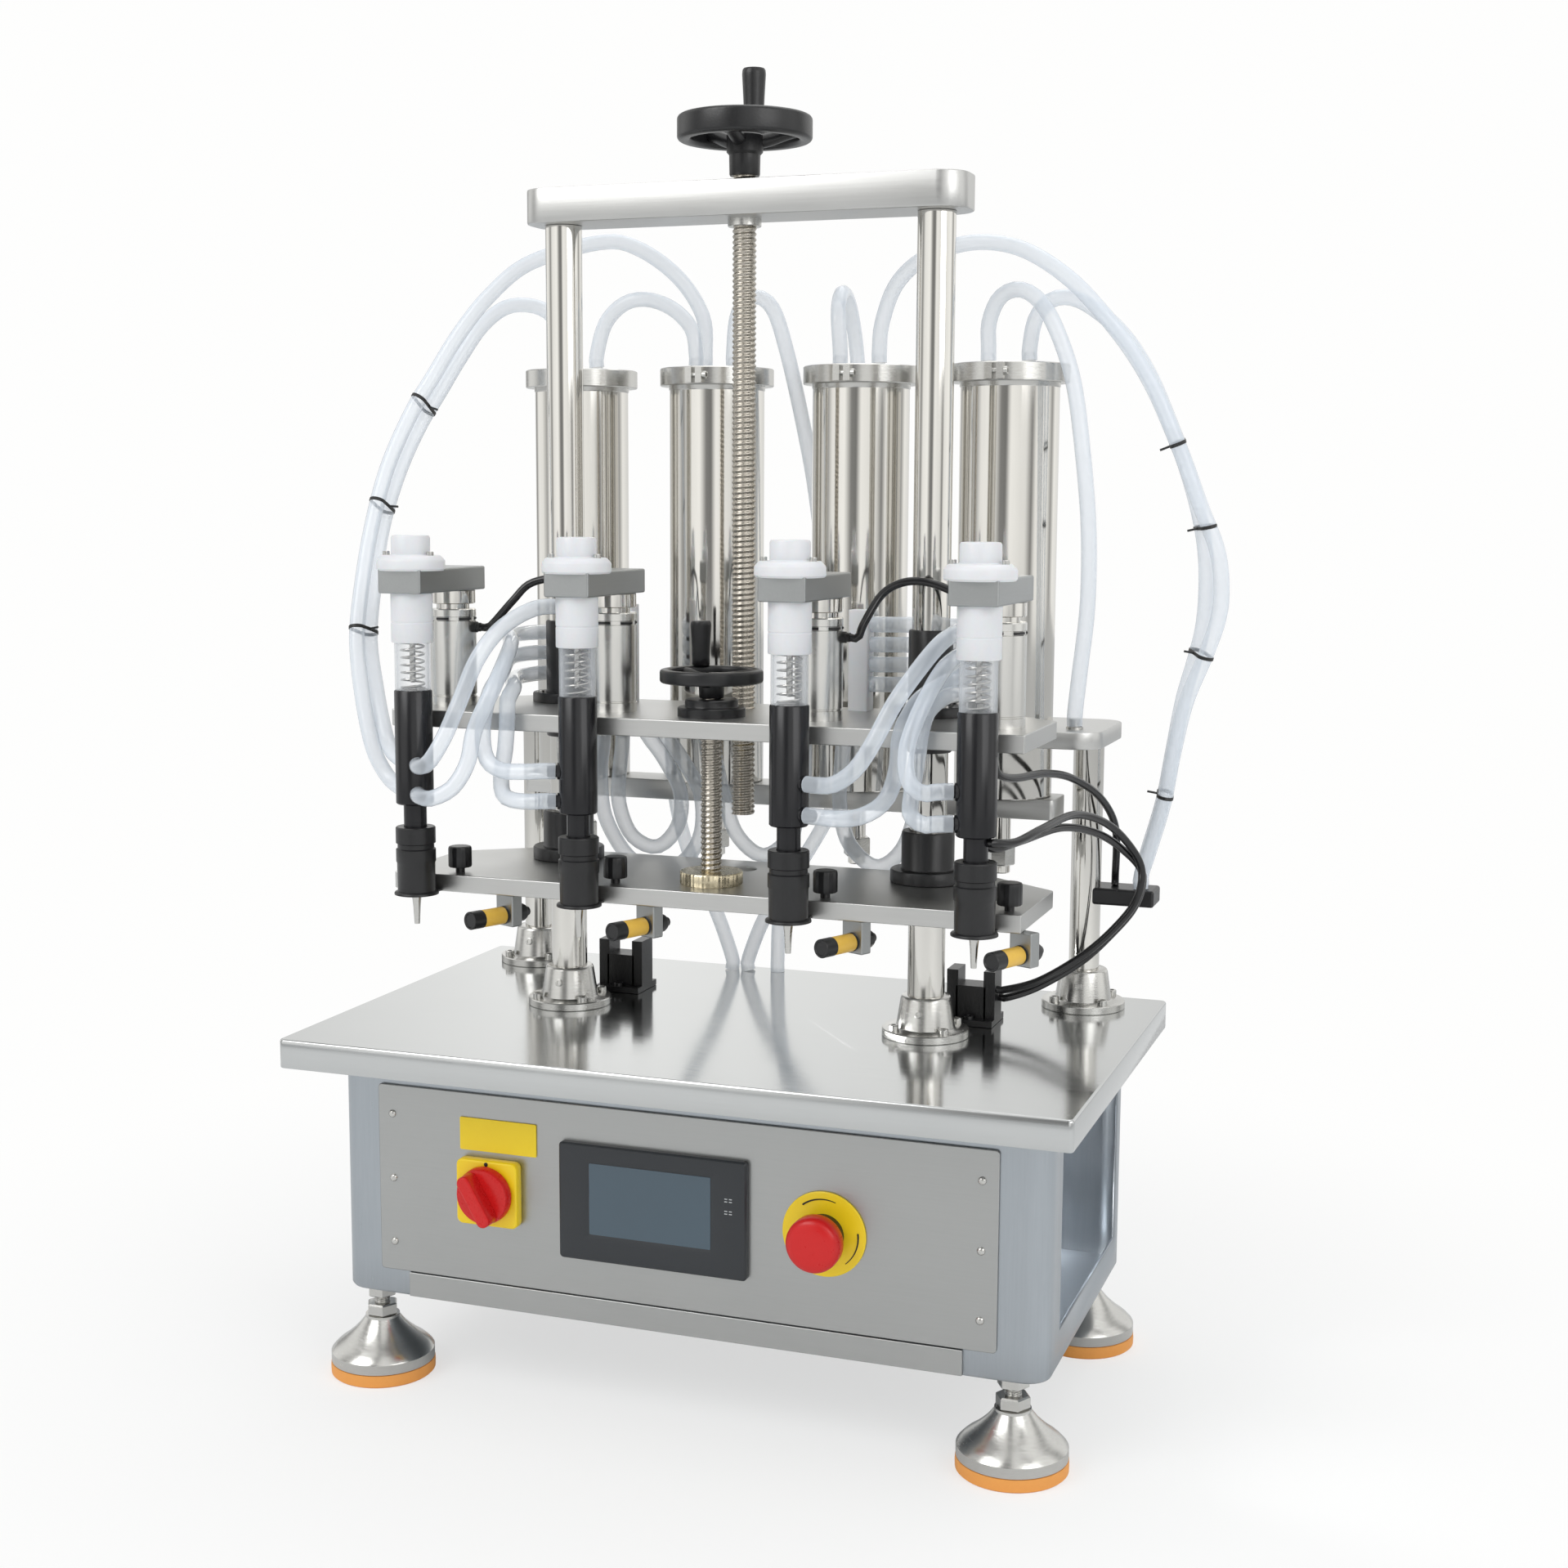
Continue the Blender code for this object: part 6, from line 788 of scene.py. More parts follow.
def banked(rows, steps=6):
    """Solid with a rounded rectangular outline at each height: a row is half width, half depth,
    corner, height and centre; the first and last rows are closed with flat faces."""
    rings = []
    for half_x, half_y, corner, height, *centre in rows:
        ring = outline(half_x, half_y, corner, steps, centre or (0.0, 0.0))
        rings.append(np.column_stack([ring, np.full(len(ring), height)]))
    count = len(rings[0])
    last = (len(rings) - 1) * count
    return np.vstack(rings), grid_faces(len(rings), count) + [list(range(count)), list(range(last, last + count))]


def slab(half_x, half_y, corner, low, high, edge=0.0008, centre=(0.0, 0.0), steps=6):
    """Flat plate with rounded corners and softened edges."""
    rows = [
        (half_x - edge, half_y - edge, corner - edge, low), (half_x - edge * 0.3, half_y - edge * 0.3, corner - edge * 0.3, low + edge * 0.3),
        (half_x, half_y, corner, low + edge), (half_x, half_y, corner, high - edge),
        (half_x - edge * 0.3, half_y - edge * 0.3, corner - edge * 0.3, high - edge * 0.3), (half_x - edge, half_y - edge, corner - edge, high),
    ]
    return banked([(*row, *centre) for row in rows], steps)


def stood(shape, x, y, z):
    """A shape drawn lying flat, stood up so that its top faces the front."""
    points, faces = shape
    return np.column_stack([x + points[:, 0], y - points[:, 2], z + points[:, 1]]), faces


def box_shape(low, high):
    """A plain rectangular block between two corners, for edges that a modifier rounds."""
    (x0, y0, z0), (x1, y1, z1) = low, high
    flat = np.array([(x0, y0), (x1, y0), (x1, y1), (x0, y1)])
    points = np.vstack([np.column_stack([flat, np.full(4, z)]) for z in (z0, z1)])
    return points, grid_faces(2, 4) + [[0, 1, 2, 3], [4, 5, 6, 7]]


table_steel = surface("satin stainless top", (0.58, 0.59, 0.59), (0.50, 0.51, 0.51), 0.13, 1.0, (0.03, 1.0, 1.0), 520.0, 0.012, 0.10)
cabinet_steel = surface("brushed stainless box", (0.45, 0.48, 0.51), (0.33, 0.36, 0.39), 0.33, 1.0, (1.0, 1.0, 0.04), 620.0, 0.02, 0.14)
panel_steel = surface("brushed stainless panel", (0.45, 0.455, 0.45), (0.37, 0.375, 0.37), 0.36, 1.0, (0.03, 1.0, 1.0), 620.0, 0.02, 0.14)
rows = [
    (0.297, 0.177, 0.0015, 0.269), (0.297, 0.177, 0.0015, 0.2502), (0.2996, 0.1796, 0.0037, 0.2500), (0.300, 0.180, 0.004, 0.2508),
    (0.300, 0.180, 0.004, 0.2700), (0.2996, 0.1796, 0.0037, 0.2712), (0.2985, 0.1785, 0.003, 0.2720),
]
made("table_sheet", [banked(rows)], "base", table_steel, ["table_top"], smooth=50)
bends = outline(0.276, 0.135, 0.018, 8)
sides_at = []
for first, second in zip(bends, np.roll(bends, -1, axis=0)):
    sides_at.append(first)
    if abs(first[0] - second[0]) < 1e-6 and abs(first[1] - second[1]) > 0.1:
        up_side = second[1] > first[1]
        sides_at += [(first[0], -0.095 if up_side else 0.105), (first[0], 0.105 if up_side else -0.095)]
ring = np.array(sides_at)
levels = (0.0690, 0.0700, 0.0940, 0.2420, 0.2687)
drawn_in = [ring * np.array([(0.276 - 0.0010) / 0.276, (0.135 - 0.0010) / 0.135]), ring, ring, ring, ring]
points = np.vstack([np.column_stack([flat, np.full(len(ring), level)]) for flat, level in zip(drawn_in, (0.0680, *levels[1:]))])
count = len(ring)
wall = []
for row in range(4):
    for column in range(count):
        beside = (column + 1) % count
        ends = {round(float(ring[column][1]), 4), round(float(ring[beside][1]), 4)}
        if row == 2 and ends == {-0.095, 0.105}:
            continue
        wall.append([row * count + column, row * count + beside, (row + 1) * count + beside, (row + 1) * count + column])
wall.append(list(range(count - 1, -1, -1)))
cabinet = made("cabinet_box", [(points, wall)], "base", cabinet_steel, ["cabinet_shell"], thickness=0.0025, smooth=40)

screws = []
dome = [(0.0, 0.0018), (0.0016, 0.0017), (0.0027, 0.0010), (0.0031, 0.0), (0.0031, -0.0006), (0.0, -0.0006)]
for x in (-0.229, 0.229):
    for z in (0.1105, 0.1605, 0.2105):
        screws.append(lathe(dome, 16, (x, -0.1373, z), (0.0, -1.0, 0.0)))
plate = stood(slab(0.241, 0.0725, 0.003, -0.0020, 0.0, 0.0006, steps=4), 0.0, -0.1373, 0.1605)
made("panel_sheet", [plate], "base", panel_steel, ["front_panel"], smooth=50)
made("panel_screws", screws, "base", turned_steel, ["front_panel"], smooth=60)
sill = box_shape((-0.217, -0.1380, 0.0686), (0.217, -0.1350, 0.0874))
made("sill_strip", [sill], "base", panel_steel, ["front_panel"], bevel=0.0007)

# Touch screen.
# A charcoal plastic bezel with a sloped face round a dark blue-grey glass, and two pairs of
# small pale marks beside the glass.

bezel_black = surface("charcoal bezel", (0.026, 0.030, 0.035), (0.017, 0.020, 0.024), 0.38, fine=700.0, relief=0.03)
screen_glass = surface(
    "screen glass", (0.048, 0.086, 0.118), (0.040, 0.072, 0.100), 0.10, fine=20.0, relief=0.0, spread=0.02,
    slots={"Coat Weight": 0.6, "Coat Roughness": 0.04},
)
mark_grey = surface("pale print", (0.55, 0.57, 0.58), (0.50, 0.52, 0.53), 0.5)
rows = [
    (0.0735, 0.044, 0.003, 0.0), (0.0735, 0.044, 0.003, 0.0040), (0.0722, 0.0427, 0.002, 0.0053),
    (0.0715, 0.0420, 0.002, 0.0055), (0.0560, 0.0322, 0.0012, 0.0055, -0.0018, 0.0030),
    (0.0500, 0.0290, 0.0010, 0.0052, -0.0018, 0.0030), (0.0478, 0.0270, 0.0008, 0.0044, -0.0018, 0.0030),
]
made("screen_bezel", [stood(banked(rows, 4), -0.015, -0.1373, 0.1615)], "base", bezel_black, ["hmi_bezel"], smooth=24)
glass = stood(slab(0.0477, 0.0269, 0.0008, 0.0030, 0.0047, 0.0003, steps=2), -0.0168, -0.1373, 0.1645)
made("screen_face", [glass], "base", screen_glass, ["hmi_screen"])
marks = []
for x, z in ((0.0420, 0.1770), (0.0455, 0.1770), (0.0420, 0.1680), (0.0455, 0.1680)):
    for drop in (0.0, 0.0020):
        marks.append(box_shape((x, -0.14302, z - drop), (x + 0.0022, -0.14270, z - drop + 0.0006)))
made("screen_marks", marks, "base", mark_grey, ["hmi_bezel"])

# Main switch and its label plate.
# A square yellow plate with a red turning knob whose bar points to the lower left; the bare
# yellow label plate above it is a thin printed sheet.

yellow = surface("yellow plastic", (0.95, 0.70, 0.012), (0.90, 0.64, 0.010), 0.36, fine=500.0, relief=0.02)
red = surface(
    "red plastic", (0.66, 0.012, 0.012), (0.58, 0.009, 0.009), 0.30, fine=300.0, relief=0.004,
    slots={"Specular IOR Level": 0.4},
)
black = surface("black plastic", (0.013, 0.013, 0.014), (0.007, 0.007, 0.008), 0.34, fine=600.0, relief=0.04)
base_plate = stood(slab(0.025, 0.025, 0.005, 0.0, 0.0090, 0.0014), -0.146, -0.1373, 0.160)
made("switch_base", [base_plate], "base", yellow, ["switch_plate"], smooth=40)
label = stood(slab(0.0315, 0.0125, 0.0010, 0.0, 0.0012, 0.0003, steps=2), -0.140, -0.1373, 0.202)
made("label_sheet", [label], "base", yellow, ["front_panel", "switch_plate"])
disc = [
    (0.0, 0.0), (0.0205, 0.0), (0.0215, 0.0010), (0.0212, 0.0060), (0.0200, 0.0078), (0.0170, 0.0086),
    (0.0120, 0.0088), (0.0, 0.0088),
]
knob_low, knob_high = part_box("switch_knob")
knob_back = knob_high[1]
tilt = math.radians(-30.0)
bar = slab(0.0055, 0.0205, 0.0050, 0.0080, -(knob_low[1] - knob_back) - 0.0002, 0.0016)
turned_x = bar[0][:, 0] * math.cos(tilt) + bar[0][:, 1] * math.sin(tilt)
turned_y = -bar[0][:, 0] * math.sin(tilt) + bar[0][:, 1] * math.cos(tilt)
bar = (np.column_stack([turned_x, turned_y, bar[0][:, 2]]), bar[1])
made(
    "switch_handle", [lathe(disc, 48, (-0.146, knob_back, 0.160), (0.0, -1.0, 0.0)), stood(bar, -0.146, knob_back, 0.160)],
    "switch", red, ["switch_knob"], smooth=36,
)
dot = lathe([(0.0, 0.0002), (0.0016, 0.0002), (0.0016, -0.0003), (0.0, -0.0003)], 12, (-0.146, -0.1463, 0.1825), (0.0, -1.0, 0.0))
made("switch_mark", [dot], "base", black, ["switch_plate"])

# Emergency stop.
# A thin yellow ring on the panel, a black collar and a red mushroom head with a domed face.
# The head slides on the collar; the ring carries short black arcs that show the release turn.

ring_shape = [(0.0, 0.0), (0.0306, 0.0), (0.0310, 0.0004), (0.0310, 0.0016), (0.0304, 0.0020), (0.0, 0.0020)]
collar = [(0.0, 0.0020), (0.0150, 0.0020), (0.0150, 0.0082), (0.0142, 0.0090), (0.0, 0.0090)]
stop_place = (0.1156, -0.1373, 0.159)
made("stop_ring", [lathe(ring_shape, 56, stop_place, (0.0, -1.0, 0.0))], "base", yellow, ["estop_ring"])
made("stop_collar", [lathe(collar, 40, stop_place, (0.0, -1.0, 0.0))], "base", black, ["estop_ring"])
stop_low, stop_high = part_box("estop_button")
deep = stop_high[1] - stop_low[1]
stem_back = stop_high[1]
head_back = deep - 0.017
head = [
    (0.0, 0.0), (0.0110, 0.0), (0.0112, head_back), (0.0170, head_back), (0.0193, head_back + 0.0010),
    (0.0199, head_back + 0.0030), (0.0200, head_back + 0.0095), (0.0196, head_back + 0.0122),
    (0.0183, head_back + 0.0144), (0.0160, head_back + 0.0157), (0.0120, head_back + 0.0165),
    (0.0060, head_back + 0.0169), (0.0, head_back + 0.0170),
]
made("stop_head", [lathe(head, 56, (0.1156, stem_back, 0.159), (0.0, -1.0, 0.0))], "stop_button", red, ["estop_button"], smooth=40)
arcs = []
for turn in range(3):
    span = np.radians(np.linspace(70.0, 128.0, 14) + 120.0 * turn)
    line = np.column_stack([0.1156 + 0.0255 * np.cos(span), np.full(14, -0.13935), 0.159 + 0.0255 * np.sin(span)])
    arcs.append(swept(line, np.linspace(0.0003, 0.0007, 14), 6))
made("stop_arrows", arcs, "base", black, ["estop_ring"])

# Posts and their foot flanges.
# Ground and polished shafts, 28 mm in front and 24 mm behind, held in turned stainless
# flanges with four cap screws each; the right back one carries a clip for the hoses.

chrome = surface("polished steel", (0.74, 0.725, 0.69), (0.63, 0.615, 0.58), 0.09, 1.0, (1.0, 1.0, 0.05), 220.0, 0.004, 0.05)


def cap_screw(radius, height, centre, way=(0.0, 0.0, 1.0), sides=18):
    """Socket screw head: a turned disc with a small round hollow in its face."""
    profile = [
        (0.0, height * 0.45), (radius * 0.48, height * 0.45), (radius * 0.52, height), (radius * 0.88, height),
        (radius, height * 0.88), (radius, 0.0), (0.0, 0.0),
    ]
    return lathe(profile, sides, centre, way)


for post, x, y, radius, top in (
    ("front_post_left", -0.1475, 0.004, 0.014, 0.6054), ("front_post_right", 0.1475, 0.004, 0.014, 0.6054),
    ("rear_post_left", -0.240, 0.138, 0.012, 0.2145), ("rear_post_right", 0.240, 0.138, 0.012, 0.2145),
):
    place = (x, y, TABLE)
    shaft = [(0.0, 0.002), (radius, 0.002), (radius, top - 0.0004), (0.0, top - 0.0004)]
    flange = [
        (0.0, 0.0), (0.0325, 0.0), (0.0330, 0.0005), (0.0330, 0.0053), (0.0323, 0.0060), (0.0240, 0.0062),
        (0.0224, 0.0072), (0.0219, 0.0100), (0.0190, 0.0290), (0.0184, 0.0304), (0.0176, 0.0310),
        (radius, 0.0310), (0.0, 0.0310),
    ]
    made(f"{post}_shaft", [lathe(shaft, 64, place)], "base", chrome, [post], smooth=40)
    made(f"{post}_flange", [lathe(flange, 56, place)], "base", turned_steel, [post], smooth=40)
    heads = []
    for quarter in range(4):
        angle = math.pi / 4 + quarter * math.pi / 2
        spot = (x + 0.0272 * math.cos(angle), y + 0.0272 * math.sin(angle), TABLE + 0.0058)
        heads.append(cap_screw(0.0038, 0.0047, spot))
    heads.append(cap_screw(0.0030, 0.0010, (x, y - 0.0203, TABLE + 0.020), (0.0, -1.0, 0.15)))
    made(f"{post}_screws", heads, "base", turned_steel, [post])
clip = box_shape(above(0.2415, 0.1285, 0.0843), above(0.2955, 0.1595, 0.0978))
made("hose_clip", [clip], "base", black, ["rear_post_right"], bevel=0.0022, segments=3)

# Top bar and handwheels.
# The bar is a milled aluminium block with round ends, bolted to the posts. Both wheels are
# moulded black: a rim, three sloping spokes, a hub and a free-turning grip.

satin = surface("satin aluminium", (0.60, 0.60, 0.59), (0.50, 0.50, 0.49), 0.36, 1.0, (0.03, 1.0, 1.0), 560.0, 0.02)
made("cross_bar", [slab(0.173, 0.026, 0.020, TABLE + 0.6054, TABLE + 0.631, 0.0012, (0.0, 0.004), 12)], "base", satin, ["top_bar"], smooth=40)
heads = [cap_screw(0.0080, 0.0030, above(x, 0.004, 0.6309)) for x in (-0.1475, 0.1475)]
heads.append(lathe([(0.0, 0.0), (0.0120, 0.0), (0.0125, 0.0005), (0.0125, 0.0061), (0.0, 0.0061)], 36, above(0.0, 0.004, 0.5994)))
made("cross_bar_screws", heads, "base", turned_steel, ["top_bar"])


def handwheel(name, body, node, centre, radius, width, rim, hub, hub_radius):
    """Moulded wheel: a rounded rim, a stepped hub and three flat spokes that slope down to it."""
    low, high = rim
    inner = radius - width
    soft = min(width, high - low) * 0.3
    section = []
    for corner_r, corner_z, start in (
        (radius - soft, high - soft, 0.0), (inner + soft, high - soft, 90.0),
        (inner + soft, low + soft, 180.0), (radius - soft, low + soft, 270.0),
    ):
        for step in range(5):
            angle = math.radians(start + step * 22.5)
            section.append((corner_r + soft * math.cos(angle), corner_z + soft * math.sin(angle)))
    section.append(section[0])
    parts = [lathe(section, 72, (*centre, 0.0))]
    bottom, top = hub
    parts.append(lathe([
        (0.0, bottom), (hub_radius * 0.80, bottom), (hub_radius * 0.84, bottom + 0.001), (hub_radius * 0.86, (bottom + top) / 2),
        (hub_radius, (bottom + top) / 2 + 0.002), (hub_radius, top - 0.001), (hub_radius - 0.001, top), (0.0, top),
    ], 40, (*centre, 0.0)))
    for spoke in range(3):
        angle = math.tau * (spoke + 0.25) / 3
        out = np.array([math.cos(angle), math.sin(angle), 0.0])
        reach = np.linspace(hub_radius * 0.5, inner + width * 0.4, 10)
        share = (reach - reach[0]) / (reach[-1] - reach[0])
        slope = (3 * share**2 - 2 * share**3) * ((low + high) / 2 - (top - 0.005)) + top - 0.005
        line = np.column_stack([centre[0] + out[0] * reach, centre[1] + out[1] * reach, slope])
        parts.append(swept(line, np.linspace(0.0056, 0.0044, 10), 14))
    return made(name, parts, body, black, [node], smooth=38)


handwheel("lift_wheel", "top_spindle", "top_wheel", (0.0, 0.004), 0.050, 0.010, (TABLE + 0.661, TABLE + 0.679), (TABLE + 0.636, TABLE + 0.666), 0.0135)
handwheel("lower_handwheel", "lower_spindle", "lower_wheel", (0.0, -0.062), 0.038, 0.008, (TABLE + 0.2665, TABLE + 0.2765), (TABLE + 0.2555, TABLE + 0.2735), 0.011)
for name, body, node, radius, x, y in (
    ("lift_wheel_grip", "top_handle", "top_grip", 0.0090, -0.00936, 0.05202),
    ("lower_wheel_grip", "lower_handle", "lower_grip", 0.0078, -0.0195, -0.03415),
):
    low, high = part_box(node)
    x, y = (low[0] + high[0]) / 2, (low[1] + high[1]) / 2
    tall = high[2] - low[2]
    radius = (high[0] - low[0]) / 2
    grip = [
        (0.0, 0.0), (radius * 0.80, 0.0), (radius * 0.86, 0.0006), (radius * 0.84, tall * 0.18), (radius * 0.90, tall * 0.5),
        (radius * 0.98, tall * 0.82), (radius, tall * 0.90), (radius * 0.97, tall - 0.0012), (radius * 0.88, tall), (0.0, tall),
    ]
    made(name, [lathe(grip, 40, (x, y, low[2]))], body, black, [node], smooth=40)

screw_steel = surface("screw steel", (0.56, 0.52, 0.46), (0.40, 0.37, 0.32), 0.27, 1.0, fine=300.0, relief=0.02)
made("lift_screw_rod", [threaded(0.0090, 0.0011, 0.0040, 0.1605, 0.656, (0.0, 0.004, TABLE), 28, 8)], "top_spindle", screw_steel, ["top_screw"], smooth=60)
made("lower_screw_rod", [threaded(0.0080, 0.0010, 0.0040, 0.100, 0.2600, (0.0, -0.062, TABLE), 28, 8)], "lower_spindle", screw_steel, ["lower_screw"], smooth=60)


# Lifting carriage.
# A milled aluminium plate on black plastic bushes that slide on the posts, with a black bearing
# for the lower screw, a brass nut under it and four polished lift cylinders standing on it.

PLATE_OUTLINE = [(-0.244, -0.101), (0.244, -0.101), (0.244, 0.0), (0.190, 0.040), (-0.190, 0.040), (-0.244, 0.0)]


def cut_plate(corners, low, high):
    """Flat plate with straight edges, for a modifier to soften."""
    flat = np.array(corners)
    count = len(flat)
    points = np.vstack([np.column_stack([flat, np.full(count, z)]) for z in (low, high)])
    return points, grid_faces(2, count) + [list(range(count)), list(range(count, 2 * count))]


brass = surface("turned brass", (0.74, 0.66, 0.48), (0.60, 0.52, 0.36), 0.26, 1.0, fine=260.0, relief=0.02)
made("carriage_sheet", [cut_plate(PLATE_OUTLINE, TABLE + 0.229, TABLE + 0.242)], "carriage", satin, ["carriage_plate"], bevel=0.0009)
fittings = []
for x in (-0.1475, 0.1475):
    bush = [
        (0.0143, 0.2150), (0.0158, 0.2150), (0.0164, 0.2158), (0.0164, 0.2415), (0.0262, 0.2415), (0.0270, 0.2424),
        (0.0270, 0.2484), (0.0262, 0.2495), (0.0176, 0.2497), (0.0164, 0.2512), (0.0164, 0.3044), (0.0156, 0.3054),
        (0.0143, 0.3054),
    ]
    fittings.append(lathe(bush + bush[:1], 48, (x, 0.004, TABLE)))
bearing = [
    (0.0, 0.2415), (0.0250, 0.2415), (0.0250, 0.2482), (0.0242, 0.2490), (0.0200, 0.2492), (0.0196, 0.2500),
    (0.0196, 0.2540), (0.0188, 0.2547), (0.0, 0.2547),
]
fittings.append(lathe(bearing, 48, (0.0, -0.062, TABLE)))
made("carriage_bushes", fittings, "carriage", black, ["carriage_plate"], smooth=40)
heads = []
for x in (-0.1475, 0.1475):
    for turn in range(4):
        angle = math.pi / 4 + turn * math.pi / 2
        heads.append(cap_screw(0.0028, 0.0022, above(x + 0.0222 * math.cos(angle), 0.004 + 0.0222 * math.sin(angle), 0.2490), sides=12))
made("carriage_screws", heads, "carriage", turned_steel, ["carriage_plate"])
nut = [(0.0, 0.2190), (0.0148, 0.2190), (0.0160, 0.2200), (0.0160, 0.2288), (0.0, 0.2288)]
made("carriage_nut", [lathe(nut, 40, (0.0, 0.004, TABLE))], "carriage", brass, ["lift_nut"])
cylinder_steel = surface("satin cylinder steel", (0.80, 0.79, 0.76), (0.70, 0.69, 0.66), 0.24, 1.0, (1.0, 1.0, 0.05), 320.0, 0.01, 0.08)
cylinders, bands = [], []
for number, x in enumerate(NOZZLE_XS):
    body = [
        (0.0, 0.2415), (0.0175, 0.2415), (0.0175, 0.2490), (0.0168, 0.2494), (0.0168, 0.2503), (0.0175, 0.2507),
        (0.0175, 0.3068), (0.0168, 0.3072), (0.0168, 0.3098), (0.0175, 0.3102), (0.0175, 0.3152), (0.0168, 0.3160),
        (0.0, 0.3160),
    ]
    cylinders.append(lathe(body, 48, (x, ACTUATOR_Y, TABLE)))
    for step in range(6):
        angle = math.tau * (step + 0.5) / 6
        slot = np.linspace(angle - 0.30, angle + 0.30, 7)
        line = np.column_stack([x + 0.0168 * np.cos(slot), ACTUATOR_Y + 0.0168 * np.sin(slot), np.full(7, TABLE + 0.3085)])
        bands.append(swept(line, 0.0011, 8))
    way = (*ACTUATOR_WAYS[number], 0.0)
    port = [(0.0, 0.0165), (0.0042, 0.0165), (0.0042, 0.0205), (0.0034, 0.0210), (0.0034, 0.0235), (0.0, 0.0235)]
    bands.append(lathe(port, 16, above(x, ACTUATOR_Y, 0.302), way))
made("lift_cylinders", cylinders, "carriage", cylinder_steel, ["carriage_plate"], smooth=40)
made("cylinder_ports", bands, "carriage", black, ["carriage_plate"])
barbs = []
for x, y in carriage_fittings:
    barb = [(0.0, 0.0), (0.0045, 0.0), (0.0045, -0.0072), (0.0038, -0.0080), (0.0, -0.0080)]
    barbs.append(lathe(barb, 16, above(x, y, 0.2295)))
made("carriage_barbs", barbs, "carriage", turned_steel, ["carriage_plate"])

# Filling nozzles.
# Black turned bodies with two hose barbs, a stepped neck, a clear guard tube pressed into the
# top and a pulled steel tip below; a steel spring stands inside the guard.

clear_plastic = see_through(
    surface("clear plastic", (0.86, 0.89, 0.93), (0.78, 0.82, 0.86), 0.10, fine=90.0, relief=0.01, slots={"Coat Weight": 0.4}),
    0.07, 0.60,
)
black_satin = surface("black anodised", (0.014, 0.014, 0.016), (0.008, 0.008, 0.010), 0.24, 0.2, (1.0, 1.0, 0.1), 420.0, 0.02)
spring_steel = surface("spring steel", (0.62, 0.61, 0.58), (0.50, 0.49, 0.47), 0.22, 1.0, fine=300.0)
for number, x in enumerate(NOZZLE_XS):
    place = (x, NOZZLE_Y, TABLE)
    node = f"nozzle_{number + 1}"
    body = [
        (0.0, 0.1180), (0.0078, 0.1180), (0.0085, 0.1187), (0.0085, 0.1725), (0.0130, 0.1733), (0.0140, 0.1743), (0.0140, 0.2576), (0.0132, 0.2586), (0.0, 0.2586),
    ]
    tip = [
        (0.0, 0.1185), (0.0060, 0.1185), (0.0060, 0.1172), (0.0040, 0.1160), (0.0037, 0.1150), (0.0037, 0.1042),
        (0.0028, 0.0960), (0.0021, 0.0830), (0.0020, 0.0821), (0.0, 0.0821),
    ]
    parts = [lathe(body, 48, place)]
    ways = [(0.204, BARB_WAYS[number]), (0.182, BARB_WAYS[number])]
    if number == 0:
        ways += [(0.204, (-0.8, 0.6)), (0.182, (-0.8, 0.6))]
    for rise, way in ways:
        collar = [(0.0, 0.0120), (0.0062, 0.0120), (0.0062, 0.0148), (0.0045, 0.0152), (0.0045, 0.0220), (0.0, 0.0220)]
        parts.append(lathe(collar, 20, above(x, NOZZLE_Y, rise), (*way, 0.0)))
    made(f"{node}_body", parts, "carriage", black_satin, [node], smooth=40)
    made(f"{node}_tip", [lathe(tip, 24, place)], "carriage", turned_steel, [node], smooth=40)
    guard = [(0.0120, 0.2584), (0.0132, 0.2584), (0.0132, 0.2950), (0.0120, 0.2950), (0.0120, 0.2584)]
    made(f"{node}_guard", [lathe(guard, 40, place)], "carriage", clear_plastic, [node], smooth=40)
    low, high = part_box(f"valve_spring_{number + 1}")
    angle = np.linspace(0.0, math.tau * 8.0, 8 * 22 + 1)
    share = angle / angle[-1]
    ease = np.clip((share - 0.06) / 0.88, 0.0, 1.0)
    line = np.column_stack([
        x + 0.0084 * np.cos(angle), NOZZLE_Y + 0.0084 * np.sin(angle),
        low[2] + 0.0009 + (high[2] - low[2] - 0.0018) * ease,
    ])
    coil = made(f"valve_coil_{number + 1}", [swept(line, 0.0008, 8)], None, spring_steel)
    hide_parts(f"valve_spring_{number + 1}")
    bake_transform(coil)

# Valve heads.
# White plastic caps on flanges with two small screws, on a milled aluminium bracket; a white
# sleeve hangs under it round the needle, and the cylinder's polished rod holds it up.

